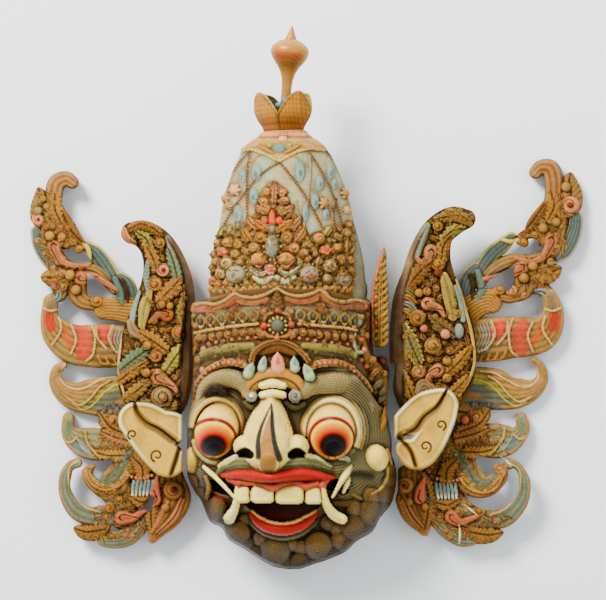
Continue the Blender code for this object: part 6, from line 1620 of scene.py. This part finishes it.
spots = 0.75 + 0.5 * np.abs(np.sin(rows[:, 0] * 0.11) * np.cos(rows[:, 1] * 0.09 + rows[:, 0] * 0.05))
verts = np.vstack([front, rows])
cols = np.vstack([col, inside_paint * spots[:, None]])
# the wall's first rings below the rim: dark hair colour, each ring darker towards the floor as painted shade
first = np.arange(n, n + m)
for k in range(4):
    cols[first + k * m] = HAIR_DARK * (1 - 0.12 * k) + 0.0 * first[:, None]
all_tris = np.vstack([tris, np.array(loft_tris)])
gone = in_dome(verts)
drop = gone[all_tris].all(axis=1)
make_piece("carved_face_mask", verts, all_tris[~drop], cols, GLOSSY, "face_mask")
print("mask triangles", (~drop).sum())

# ------------------------------------------------------------------ crown
DOME = [  # sheet v, half width; the crown is a little less deep than wide
    (304, 77.5), (297.5, 78.5), (296.5, 79), (287, 79), (285.5, 77.5), (268, 76.5), (252, 74), (236, 70.5),
    (222, 67), (205, 64), (190, 60), (171, 53), (158, 47), (147, 40), (140, 31), (137, 27), (132, 21.5), (130.8, 20.5),
]
FLAT = 0.93
FOOT = lay(289.0, 304.0, 0.0)
HEAD = lay(283.6, 130.8, 0.0)


def dome_points(v, half, angle, grow=0.0):
    t = (304.0 - v) / (304.0 - 130.8)
    c = FOOT + (HEAD - FOOT) * np.asarray(t)[..., None]
    lift = (half * FLAT + grow) * np.sin(angle)
    return np.stack([c[..., 0] + (half + grow) * np.cos(angle), c[..., 1] - AXIS_SLOPE * lift, c[..., 2] + lift], axis=-1)


GROUND = tone(182, 176, 148)
D = Relief((204, 124, 374, 308), 0.6, 0.0, GROUND)
shade = soft_noise(D.h.shape, D.cell, 12, 301)
D.c = mix(D.c, tone(150, 168, 164), smooth(0.5, 0.8, shade) * 0.5)
D.c = mix(D.c, tone(196, 160, 134), smooth(0.5, 0.2, shade) * 0.5)
# the smooth top collar and the leafed cap under it
D.c = mix(D.c, tone(206, 150, 112), smooth(141, 137, D.v))
cap_edge = np.interp(D.u, [236, 246, 256, 266, 279, 292, 302, 318, 330], [156, 151, 149.5, 154, 159.5, 154, 149.5, 149, 153])
cap = smooth(1.0, -1.0, D.v - cap_edge) * smooth(137, 140, D.v)
D.h += 1.4 * cap
D.c = mix(D.c, tone(190, 158, 100), cap)


def bead_line(path, r=1.15, tint=tone(84, 58, 42), pitch=3.0, rail=tone(150, 128, 100)):
    line = [(a, b, 1.1) for a, b in path]
    D.rib(line, 0.2, 0.7, rail)
    dense = curve(line, 0.5)
    run = np.concatenate([[0], np.cumsum(np.hypot(*np.diff(dense[:, :2], axis=0).T))])
    for at in np.arange(pitch / 2, run[-1], pitch):
        q = dense[np.searchsorted(run, at)]
        D.ball(q[0], q[1], r, 0.8, tint)


for path in (
    [(279.5, 162), (263, 173), (249, 188), (239, 201), (231, 213), (224, 226)], [(279.5, 162), (290, 175), (301, 190), (309, 203), (315, 214), (321, 226)],
    [(251, 151), (248.6, 166), (247.6, 184), (247.6, 206), (248.5, 232)], [(307, 150), (317, 165), (326, 181), (333, 197), (338, 211), (341.5, 225)],
    [(252, 150), (242, 160), (234, 172)], [(325, 150), (333, 160), (340.5, 172)], [(336, 198), (333, 210), (333.5, 224)],
):
    bead_line(path)
for path in (
    [(309.5, 152), (310.5, 168), (309, 190), (306, 214), (303, 236)], [(309, 186), (320, 196), (330, 210), (335, 222)], [(250, 160), (240, 176), (230, 196), (224, 212)],
    [(262, 152), (256, 158), (250, 165)], [(292, 154), (300, 160), (309, 168)], [(235, 172), (229, 186), (224, 200)], [(296, 200), (299, 220), (300, 240)], [(341, 172), (346, 190), (349, 214)],
):
    bead_line(path, 0.8, tone(140, 112, 84), 2.4, tone(168, 148, 118))
for u0, v0, ru, rv in ((256.5, 173, 4.6, 9), (300, 172, 4.8, 10), (319.5, 183.5, 4, 7.5), (254, 196, 4.4, 8.5), (315, 202, 4, 8), (330, 172, 3, 7), (305.5, 213, 3, 9), (238, 214, 4, 9), (243, 176, 3, 7), (326, 214, 3, 6), (334, 184, 2.4, 6)):
    D.ball(u0, v0, ru, 0.3, tone(128, 156, 158), ry=rv, top=1.5)
    D.ball(u0, v0 + 1, ru * 0.45, 1.2, tone(88, 118, 124), ry=rv * 0.45, top=0.8)
for u0, v0, r0, tint in ((345, 193, 3.6, GOLD), (323.5, 203, 3.6, GOLD), (225.5, 198, 3.0, GOLD), (235.5, 190, 4.0, PINK), (229, 206, 2.4, GOLD), (346, 210, 2.6, PINK)):
    D.ball(u0, v0, r0, 0.8, tint, ry=r0 * 1.25)
    for a in range(6):
        D.ball(u0 + r0 * 1.1 * math.cos(a * 1.047), v0 + r0 * 1.3 * math.sin(a * 1.047), r0 * 0.34, 0.8, GOLD_PALE)
# the hanging flower of the cap, edged with yellow beads
bead_line([(244, 150), (252, 149.5), (260, 152), (270, 156.5), (279, 160.5), (288, 156.5), (298, 151.5), (310, 149), (322, 150)], 1.3, tone(206, 190, 96), 2.7, tone(170, 140, 80))
D.ball(279, 148.5, 6.2, 1.2, tone(110, 136, 140), ry=4.6, top=2.2)
for s in (-1, 1):
    D.curl(279 + s * 9.5, 145.5, 3.2, 1.2, tone(170, 166, 92), sense=s, turns=1.1, top=2.2)
    D.rib([(279 + s * 6, 153, 1.2), (279 + s * 13, 149, 2.2), (279 + s * 19, 146, 1.2)], 1.4, 2.0, GOLD)
    D.rib([(279 + s * 20, 144, 1.4), (279 + s * 29, 146, 3.0), (279 + s * 38, 150, 1.4)], 1.2, 1.8, tone(196, 148, 104), barbs=(3, 0.5, 0.5))
D.ball(283, 138.5, 4.4, 1.0, tone(224, 150, 128), ry=2.8, top=2.2)
for k in range(9):
    D.rib([(256 + k * 6.6, 134.2, 2.0), (259.3 + k * 6.6, 134.2, 2.0)], 0.2, 0.8, tone(206, 150, 112))


# the great ornament over the brow, and the clusters at its sides
def leafy(points, base, top, colour, pitch=3.6):
    D.rib(points, base, top, colour, teeth=(pitch, 0.28), line=[(0, 0.7, UMBER)], barbs=(pitch, 0.9, 0.4))


D.rib([(274, 184, 1.2), (275, 196, 3.4), (274.5, 210, 4.4), (273.5, 232, 12), (273, 256, 18), (273, 284, 22)], 0.3, 1.0, mix(BROWN, GOLD, 0.5))
leafy([(276, 183, 1.0), (275, 190, 2.6), (274.5, 201, 3.0)], 1.6, 3.0, tone(196, 128, 92))
for s in (-1, 1):
    c0 = 274.5
    D.curl(c0 + s * 7.5, 192.5, 4.4, 1.2, mix(GOLD, PINK, 0.3), sense=s, turns=1.2)
    D.curl(c0 + s * 10, 201.5, 4.8, 1.2, mix(GOLD, PINK, 0.2), sense=-s, turns=1.2)
    leafy([(c0 + s * 4, 214, 1.2), (c0 + s * 11, 211, 3.4), (c0 + s * 18, 206, 1.4)], 1.2, 2.6, mix(GOLD, PINK, 0.35))
    D.curl(c0 + s * 7, 209, 4.0, 1.4, GOLD, sense=s, turns=1.1)
    leafy([(c0 + s * 3, 231, 2), (c0 + s * 10, 226.5, 5.0), (c0 + s * 18, 221, 1.6)], 1.8, 3.2, tone(176, 112, 52))
    D.curl(c0 + s * 12.5, 237.5, 6.0, 1.6, mix(GOLD, BROWN, 0.3), sense=-s, turns=1.3)
    leafy([(c0 + s * 15, 229, 1.4), (c0 + s * 21, 224, 3.6), (c0 + s * 26, 217, 1.2)], 1.0, 2.6, mix(GOLD, PINK, 0.25))
    D.curl(c0 + s * 19.5, 248, 5.4, 1.6, mix(GOLD, PINK, 0.3), sense=s, turns=1.3)
    leafy([(c0 + s * 22, 241, 1.4), (c0 + s * 27, 235, 3.6), (c0 + s * 30, 228, 1.2)], 1.0, 2.6, GOLD)
    D.ball(c0 - 1.5 + s * 13, 259, 7.6, 1.6, tone(178, 128, 62), ry=6.6, top=6.4)
    D.rib([(c0 - 1.5 + s * 6, 262, 1.0), (c0 - 1.5 + s * 13, 266.6, 1.6), (c0 - 1.5 + s * 20, 262, 1.0)], 1.6, 2.4, PINK)
    D.rib([(c0 + s * 5, 271, 1.6), (c0 + s * 14, 274.5, 2.6), (c0 + s * 24, 268, 1.4)], 1.4, 2.4, tone(176, 182, 150), line=[(0.2, 0.7, UMBER)])
    D.rib([(c0 + s * 2, 277, 2.0), (c0 + s * 11, 281.5, 3.4), (c0 + s * 20, 277, 1.6)], 1.2, 2.2, tone(190, 188, 156), barbs=(3, 0.5, 0.5))
D.ball(266, 221, 3.6, 2.2, tone(196, 70, 50), ry=4.2)
D.ball(279.5, 221, 3.6, 2.2, tone(196, 70, 50), ry=4.2)
D.rib([(272.8, 211, 1.0), (272.8, 216, 3.0), (272.8, 222, 3.4)], 2.6, 3.0, tone(206, 76, 54))
D.ball(272.8, 229, 3.4, 2.0, tone(120, 132, 134), ry=4.2)
for a in range(14):
    x = a * math.pi / 7
    D.ball(272.8 + 8.2 * math.cos(x), 246.5 + 13.4 * math.sin(x), 1.3, 1.8, GOLD_PALE)
D.ball(272.8, 246.5, 6.8, 1.6, tone(112, 122, 120), ry=12.2, top=6.0)
# a pale streak on the gem: painted highlight
D.paint([(271, 240, 1.6), (271, 246, 1.6)], tone(176, 184, 180), 0.8)
for a in range(7):
    x = a * 2 * math.pi / 7
    D.ball(271 + 3.8 * math.cos(x), 270 + 3.6 * math.sin(x), 2.0, 2.6, tone(214, 140, 120))
D.ball(271, 270, 2.2, 3.4, tone(190, 90, 76))

low_ground = np.interp(D.u, [205, 222, 240, 255, 262, 274, 286, 294, 310, 330, 352], [232, 228, 232, 214, 190, 180, 190, 214, 234, 228, 222])
under = smooth(2.0, -2.0, low_ground - D.v)
D.c = mix(D.c, tone(138, 104, 60), under * (D.h < 0.7))
D.scrolls(lambda a, b: (b > np.interp(a, [205, 222, 240, 255, 262, 274, 286, 294, 310, 330, 352], [232, 228, 232, 214, 190, 180, 190, 214, 234, 228, 222])) & (b < 290),
          7, 6.4, 0.3, 1.8, [tone(166, 122, 66), tone(150, 110, 62), tone(172, 128, 92), tone(140, 122, 78)], (208, 184, 354, 290))
rng = np.random.default_rng(12)
for spots in (
    [(222, 232, 3.8, 3), (230, 229, 3.6, 3), (239, 234, 3.6, 2), (219, 243, 4.2, 1), (229, 242, 5.2, 1), (239, 245, 4.6, 1), (246, 239, 3.4, 2), (224, 252, 4.6, 4), (236, 254, 4.4, 1), (246, 251, 4.0, 2),
     (218, 262, 4.6, 1), (228, 263, 6.0, 5), (241, 261, 4.0, 2), (222, 274, 5.4, 5), (250, 262, 3.6, 3), (251, 273, 3.8, 2), (247, 283, 3.6, 3), (229, 283, 4.6, 1), (220, 284, 4.4, 1), (213, 268, 4.2, 2), (213, 254, 4.2, 1), (214, 281, 4.4, 4), (238, 225, 3.0, 3)],
    [(318, 239, 6.0, 1), (309, 244, 4.4, 2), (327, 231, 5.0, 3), (336, 236, 4.2, 2), (345, 233, 4.2, 1), (304, 253, 4.4, 1), (314, 251, 4.6, 2), (325, 250, 5.2, 4), (336, 248, 4.6, 1), (346, 245, 4.4, 2),
     (353, 238, 3.6, 1), (352, 250, 3.8, 2), (350, 261, 3.8, 1), (300, 263, 4.2, 3), (318, 261, 4.4, 2), (329, 266, 6.2, 5), (340, 259, 4.4, 1), (342.5, 280, 7.6, 6), (326, 279, 5.0, 1), (299, 284, 3.8, 2), (318, 284, 3.8, 3), (350, 271, 3.8, 2), (333, 287, 3.6, 3), (308, 258, 3.0, 4), (348, 225, 3.2, 1)],
):
    for u0, v0, r0, kind in spots:
        tint = mix(GOLD, [PINK, GREEN, BROWN, BLUE][int(rng.integers(4))], 0.35 * rng.random())
        if kind == 1:
            D.curl(u0, v0, r0, 1.0, tint, sense=1 if rng.random() > 0.5 else -1, start=rng.random() * 6, turns=1.3, top=r0 * 0.8)
        elif kind in (2, 3):
            way = rng.random() * 1.6 + 0.8
            d0, d1 = math.cos(way) * r0, -math.sin(way) * r0
            leafy([(u0 - d0, v0 - d1, 1.4), (u0, v0, r0 * 0.62), (u0 + d0, v0 + d1, 1.0)], 1.2, 2.8, tint if kind == 2 else mix(GREEN, YELLOW, 0.4))
        elif kind == 4:
            for a in range(5):
                D.ball(u0 + r0 * 0.6 * math.cos(a * 1.257), v0 + r0 * 0.6 * math.sin(a * 1.257), r0 * 0.45, 1.8, tone(206, 110, 84))
            D.ball(u0, v0, r0 * 0.4, 2.8, tone(190, 66, 48))
        elif kind == 5:
            D.curl(u0, v0, r0, 1.2, tone(190, 168, 128), turns=1.8, eye=tone(120, 62, 44))
        else:
            D.curl(u0, v0, r0, 1.2, tone(140, 132, 112), turns=2.4, sense=-1)
for u0, v0, tint in ((237.5, 274.5, tone(150, 150, 134)), (308.5, 274.5, tone(150, 142, 130))):
    for a in range(16):
        x = a * math.pi / 8
        D.ball(u0 + 10.6 * math.cos(x), v0 + 10.6 * math.sin(x), 1.1, 1.2, GOLD_PALE)
    D.ball(u0, v0, 9.4, 0.8, tint, top=7.0)
D.ball(308.6, 276.5, 3.8, 5.6, tone(190, 50, 42), top=3)
for k in range(22):
    u0 = 212 + k * 6.6
    D.rib([(u0 - 2.6, 291, 1.0), (u0, 287.5, 1.9), (u0 + 2.6, 291, 1.0)], 0.8, 2.4, [GOLD, mix(GREEN, GOLD, 0.5), mix(GOLD, PINK, 0.4)][k % 3])
plain_side = smooth(351.5, 354.5, D.u) * smooth(228, 240, D.v)
D.h = D.h * (1 - plain_side)
D.c = mix(D.c, tone(146, 146, 132), plain_side)
D.scrolls(lambda a, b: (b > 6 + np.interp(a, [205, 222, 240, 255, 262, 274, 286, 294, 310, 330, 352], [232, 228, 232, 214, 190, 180, 190, 214, 234, 228, 222])) & (b < 290),
          19, 5.0, 0.0, 1.5, [tone(150, 116, 70), tone(158, 124, 78), tone(140, 124, 92), tone(128, 108, 70), tone(170, 132, 92)], (208, 184, 354, 290), riding=True, share=0.6)
D.age_and_shade(131, dull=0.34, shade=1.34)


def pick(a, x, y):
    """Bilinear reading of a net at sheet points."""
    i = np.clip((x - D.us[0]) / D.cell, 0, len(D.us) - 1.001)
    j = np.clip((y - D.vs[0]) / D.cell, 0, len(D.vs) - 1.001)
    i0, j0 = i.astype(int), j.astype(int)
    fi, fj = i - i0, j - j0
    if a.ndim == 3:
        fi, fj = fi[..., None], fj[..., None]
    return (a[i0, j0] * (1 - fi) + a[i0 + 1, j0] * fi) * (1 - fj) + (a[i0, j0 + 1] * (1 - fi) + a[i0 + 1, j0 + 1] * fi) * fj


prof = np.array(DOME[::-1], float)
vs = np.concatenate([np.linspace(130.8, 285.5, 218), [287, 290, 293, 296.5, 297.5, 300.5, 304]])
half = np.interp(vs, prof[:, 0], prof[:, 1])
front_n, back_n = ((300, 70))
angle = np.concatenate([np.linspace(0, math.pi, front_n, endpoint=False), np.linspace(math.pi, 2 * math.pi, back_n, endpoint=False)])
AA, VV = np.meshgrid(angle, vs, indexing="ij")
HH = np.broadcast_to(half, VV.shape)
base = dome_points(VV, HH, AA)
su, sv = read_off(base)
slope = np.gradient(half, vs)
outward_dir = np.stack([np.cos(AA), np.broadcast_to(slope, VV.shape) * 0.0 - 0.0, np.sin(AA)], axis=-1)
front_face = smooth(-0.04, 0.10, np.sin(AA))
lift = pick(D.h, su, sv) * front_face
paint = pick(D.c, su, sv)
plain_back = tone(140, 134, 112) * (0.8 + 0.3 * np.abs(np.sin(AA * 9) * np.sin(VV * 0.11)))[..., None]
paint = mix(paint, plain_back, 1 - front_face)
limit = 0.35 + 0.65 * smooth(304, 285, VV)  # keep the foot clear of the diadem's seat
shell = base + outward_dir * (lift * limit)[..., None]
na, nv = AA.shape
cavity_v = np.array([304, 296, 285, 252, 222, 190, 165, 152.0])
cavity_r = np.array([66, 66, 65.5, 61, 54, 46, 34, 20.0])
inner = dome_points(np.broadcast_to(cavity_v, (na, 8)), np.broadcast_to(cavity_r, (na, 8)), np.broadcast_to(angle[:, None], (na, 8)))
grid = np.concatenate([shell, inner], axis=1)
tints = np.concatenate([paint, np.broadcast_to(tone(110, 84, 60), inner.shape)], axis=1)
rows = grid.shape[1]
idx = np.arange(na * rows).reshape(na, rows)
nxt = np.roll(idx, -1, axis=0)
quads = [(idx[:, :-1], nxt[:, :-1], nxt[:, 1:]), (idx[:, :-1], nxt[:, 1:], idx[:, 1:])]
tris = np.vstack([np.column_stack([x.ravel() for x in q]) for q in quads])
top_mid, in_mid = na * rows, na * rows + 1
caps = np.vstack([np.column_stack([nxt[:, 0], idx[:, 0], np.full(na, top_mid)]), np.column_stack([idx[:, -1], nxt[:, -1], np.full(na, in_mid)])])
verts = np.vstack([grid.reshape(-1, 3), shell[:, 0].mean(axis=0)[None], inner[:, -1].mean(axis=0)[None]])
cols = np.vstack([tints.reshape(-1, 3), tone(190, 130, 96)[None], tone(110, 84, 60)[None]])
make_piece("carved_crown", verts, np.vstack([tris, caps]), cols, WOODY, "crown_dome")

# --------------------------------------------------- finial: cup and spire
UP_AXIS = (HEAD - FOOT) / np.linalg.norm(HEAD - FOOT)
OUT_AXIS = np.array([0.0, -UP_AXIS[2], UP_AXIS[1]])
OUT_AXIS -= UP_AXIS * np.dot(OUT_AXIS, UP_AXIS)
OUT_AXIS /= np.linalg.norm(OUT_AXIS)


def turned(profile, foot, axis, around, bend=None):
    side = np.cross(axis, OUT_AXIS)
    side /= np.linalg.norm(side)
    out = np.cross(side, axis)
    a = np.linspace(0, 2 * math.pi, around, endpoint=False)
    rings = []
    for h, r in profile:
        hh, rr = bend(a, h, r) if bend else (np.full(around, h), np.full(around, r))
        rings.append(foot + np.outer(hh, axis) + np.outer(rr * np.cos(a), side) + np.outer(rr * np.sin(a), out))
    return a, np.array(rings)


def ring_mesh(rings):
    nr, na = rings.shape[:2]
    idx = np.arange(nr * na).reshape(nr, na)
    nx = np.roll(idx, -1, axis=1)
    tris = np.vstack([np.column_stack([a.ravel() for a in q]) for q in ((idx[:-1], nx[:-1], nx[1:]), (idx[:-1], nx[1:], idx[1:]))])
    low, high = nr * na, nr * na + 1
    tris = np.vstack([tris, np.column_stack([nx[0], idx[0], np.full(na, low)]), np.column_stack([idx[-1], nx[-1], np.full(na, high)])])
    return np.vstack([rings.reshape(-1, 3), rings[0].mean(axis=0)[None], rings[-1].mean(axis=0)[None]]), tris


def fine_profile(stations, step=0.8):
    p = curve([(h, r, 0) for h, r in stations], step)
    return p[:, :2]


CUP_FOOT = lay(283.7, 130.4, 0.0)
CUP_OUT = np.array([(0, 20), (4, 21.5), (9, 25), (14, 27.4), (19, 28.4), (30, 28.2), (38, 27.6)], float)


def petal_top(a):
    """Four petals, their tips on the diagonals and deep notches between."""
    return 15.5 + 22.0 * np.abs(np.sin(2 * a)) ** 0.85


around = 240
a = np.linspace(0, 2 * math.pi, around, endpoint=False)
side_axis = np.cross(UP_AXIS, OUT_AXIS)
rings, tints = [], []
top = petal_top(a)
edge_near = np.abs(np.sin(2 * a))


def cup_ring(h, r):
    return CUP_FOOT + np.outer(h, UP_AXIS) + np.outer(r * np.cos(a), side_axis) + np.outer(r * np.sin(a), OUT_AXIS)


cup_gold, cup_red = tone(190, 130, 52), tone(128, 66, 34)
for s in np.concatenate([[0.0], np.linspace(0.02, 1.0, 44)]):
    h = s * top
    r = np.interp(h, CUP_OUT[:, 0], CUP_OUT[:, 1])
    margin = (top - h) * 0.5 + 9 * edge_near * (h > 14) * (1 - s)
    row = np.abs(top - h - 4.2) < 1.2
    tooth = (np.mod(a * 26, 1.0) < 0.5) & row & (edge_near < 0.93)
    ridge = 0.7 * np.exp(-((np.abs(np.mod(a, math.pi / 2) - math.pi / 4)) / 0.05) ** 2) * (h > 8)
    r = r + ridge - 0.8 * tooth + 0.7 * np.exp(-((top - h) / 1.2) ** 2)
    rings.append(cup_ring(h, r))
    c = mix(np.broadcast_to(cup_gold, (around, 3)), cup_red, smooth(20, 4, h) * 0.6)
    # lighter on the cup's left side, towards the key lamp: painted light
    c = mix(c, tone(196, 140, 86), smooth(0.3, -0.4, np.cos(a)) * 0.35)
    # the notches of the tooth row painted dark: painted shade
    c = mix(c, UMBER, 0.55 * tooth)
    # darker down the seams between the petals: painted shade
    c = mix(c, GOLD_DARK, smooth(0.22, 0.02, edge_near) * 0.8)
    c = mix(c, tone(230, 196, 126), np.exp(-((top - h) / 1.4) ** 2) * 0.6)
    tints.append(c)
for s in np.linspace(0.97, 0.35, 14):
    h = np.maximum(s * top, 9.0)
    r = np.interp(h, CUP_OUT[:, 0], CUP_OUT[:, 1]) - 3.6 - 3.0 * (1 - s)
    rings.append(cup_ring(h, r))
    tints.append(np.broadcast_to(tone(96, 84, 66), (around, 3)))
rings.append(cup_ring(np.full(around, 9.0), np.full(around, 6.5)))
tints.append(np.broadcast_to(tone(80, 66, 50), (around, 3)))
v, t = ring_mesh(np.array(rings))
cols = np.vstack([np.vstack(tints), tone(120, 84, 60)[None], tone(80, 66, 50)[None]])
make_piece("carved_cup", v, t, cols * (0.72 + 0.36 * np.abs(np.sin(v[:, 0] * 0.9) * np.cos(v[:, 1] * 0.7)))[:, None], WOODY, "finial_cup")

STEM_FOOT = lay(283.8, 120.2, 0.0)
TIP = lay(292.0, 27.0, 0.0)
lean = (TIP - STEM_FOOT) / np.linalg.norm(TIP - STEM_FOOT)
prof = fine_profile([(0.0, 4.5), (2, 5.6), (22, 5.0), (36, 5.2), (45, 7.0), (52, 10.4), (58, 14.8), (63, 17.8), (67.5, 19.0), (72, 18.0), (76, 14.2), (79, 9.2), (80.2, 5.6), (81.5, 5.4), (86, 3.5), (93.4, 0.8)], 0.9)
aa, rings = turned(prof, STEM_FOOT, lean, 120)
v, t = ring_mesh(rings)
h = np.append(np.repeat(prof[:, 0], rings.shape[1]), [0.0, 93.4])
ang = np.append(np.tile(aa, rings.shape[0]), [0, 0])
c = mix(np.broadcast_to(tone(178, 122, 56), v.shape), tone(206, 150, 70), smooth(58, 72, h) * 0.6)
c = mix(c, tone(176, 72, 44), np.exp(-((h - 62) / 4.5) ** 2) * smooth(0.2, 0.9, np.sin(ang)) * 0.75)
c = mix(c, tone(120, 92, 36), np.exp(-((h - 54) / 5.5) ** 2) * smooth(0.0, 0.9, np.sin(ang)) * 0.6)
c = mix(c, tone(176, 130, 88), smooth(46, 30, h) * 0.5)
c = mix(c, tone(206, 140, 112), np.exp(-((h - 77) / 3) ** 2) * 0.6)
c = c * (0.9 + 0.2 * np.abs(np.sin(h * 0.8 + np.sin(ang * 3) * 2)))[:, None]
gather = [(v, t, c)]


def egg(centre, axes, colour, n=20):
    """A small ellipsoid on three half axes."""
    a = np.linspace(0, 2 * math.pi, n, endpoint=False)
    lat = np.linspace(-0.49, 0.49, n // 2) * math.pi
    rings = np.array([centre + np.outer(np.cos(a) * math.cos(p), axes[0]) + np.outer(np.sin(a) * math.cos(p), axes[1]) + math.sin(p) * axes[2] for p in lat])
    v, t = ring_mesh(rings)
    return v, t, np.broadcast_to(colour, v.shape)


# the little blue flower at the stem's foot, seen through the front notch
flower = STEM_FOOT + lean * 14.0 + OUT_AXIS * 5.6
cross = np.cross(lean, OUT_AXIS)
for k in range(4):
    x = k * math.pi / 2
    way = math.cos(x) * lean + math.sin(x) * cross
    gather.append(egg(flower + way * 4.6, (way * 4.4, np.cross(way, OUT_AXIS) * 3.4, OUT_AXIS * 1.9), tone(112, 128, 128)))
gather.append(egg(flower + OUT_AXIS * 1.6, (lean * 1.5, cross * 1.5, OUT_AXIS * 1.6), tone(40, 40, 44)))
v, t, c = joined(gather)
make_piece("carved_spire", v, t, c, GILDED, "finial_spire")

# ------------------------------------------------------ floor, light, camera
def plain(name, colour, rough=0.9):
    m = bpy.data.materials.new(name)
    m.use_nodes = True
    b = m.node_tree.nodes["Principled BSDF"]
    b.inputs["Base Color"].default_value = (*colour, 1)
    b.inputs["Roughness"].default_value = rough
    return m


floor_mesh = bpy.data.meshes.new("studio_floor")
floor_mesh.from_pydata([(-6, -6, -0.001), (6, -6, -0.001), (6, 6, -0.001), (-6, 6, -0.001)], [], [(0, 1, 2, 3)])
floor_mesh.materials.append(plain("studio_floor", tone(250, 253, 253)))
floor = bpy.data.objects.new("studio_floor", floor_mesh)
bpy.context.scene.collection.objects.link(floor)

world = bpy.data.worlds.new("studio")
world.use_nodes = True
world.node_tree.nodes["Background"].inputs["Color"].default_value = (0.93, 0.96, 1.0, 1)
world.node_tree.nodes["Background"].inputs["Strength"].default_value = 0.95
bpy.context.scene.world = world


def lamp(name, place, at, size, power, colour=(1, 1, 1)):
    data = bpy.data.lights.new(name, "AREA")
    data.shape = "SQUARE"
    data.size = size
    data.energy = power
    data.color = colour
    made = bpy.data.objects.new(name, data)
    place, at = Vector(place), Vector(at)
    made.location = place
    made.rotation_euler = (at - place).to_track_quat("-Z", "Y").to_euler()
    bpy.context.scene.collection.objects.link(made)
    return made


lamp("key_light", (-0.9, 1.5, 1.9), (0, 0, 0.08), 0.9, 150, (1.0, 0.985, 0.96))
lamp("fill_light", (1.5, 0.2, 1.7), (0, 0, 0.05), 1.4, 20, (0.95, 0.98, 1.0))

eye = bpy.data.cameras.new("photo_camera")
eye.sensor_fit = "HORIZONTAL"
eye.sensor_width = 36.0
eye.lens = 1700.0 * 36.0 / 606.0
eye.clip_end = 50
camera = bpy.data.objects.new("photo_camera", eye)
turn = Matrix((RIGHT, UP, BACK)).transposed().to_4x4()
camera.matrix_world = Matrix.Translation(Vector(STATION * 0.001)) @ turn
bpy.context.scene.collection.objects.link(camera)
bpy.context.scene.camera = camera
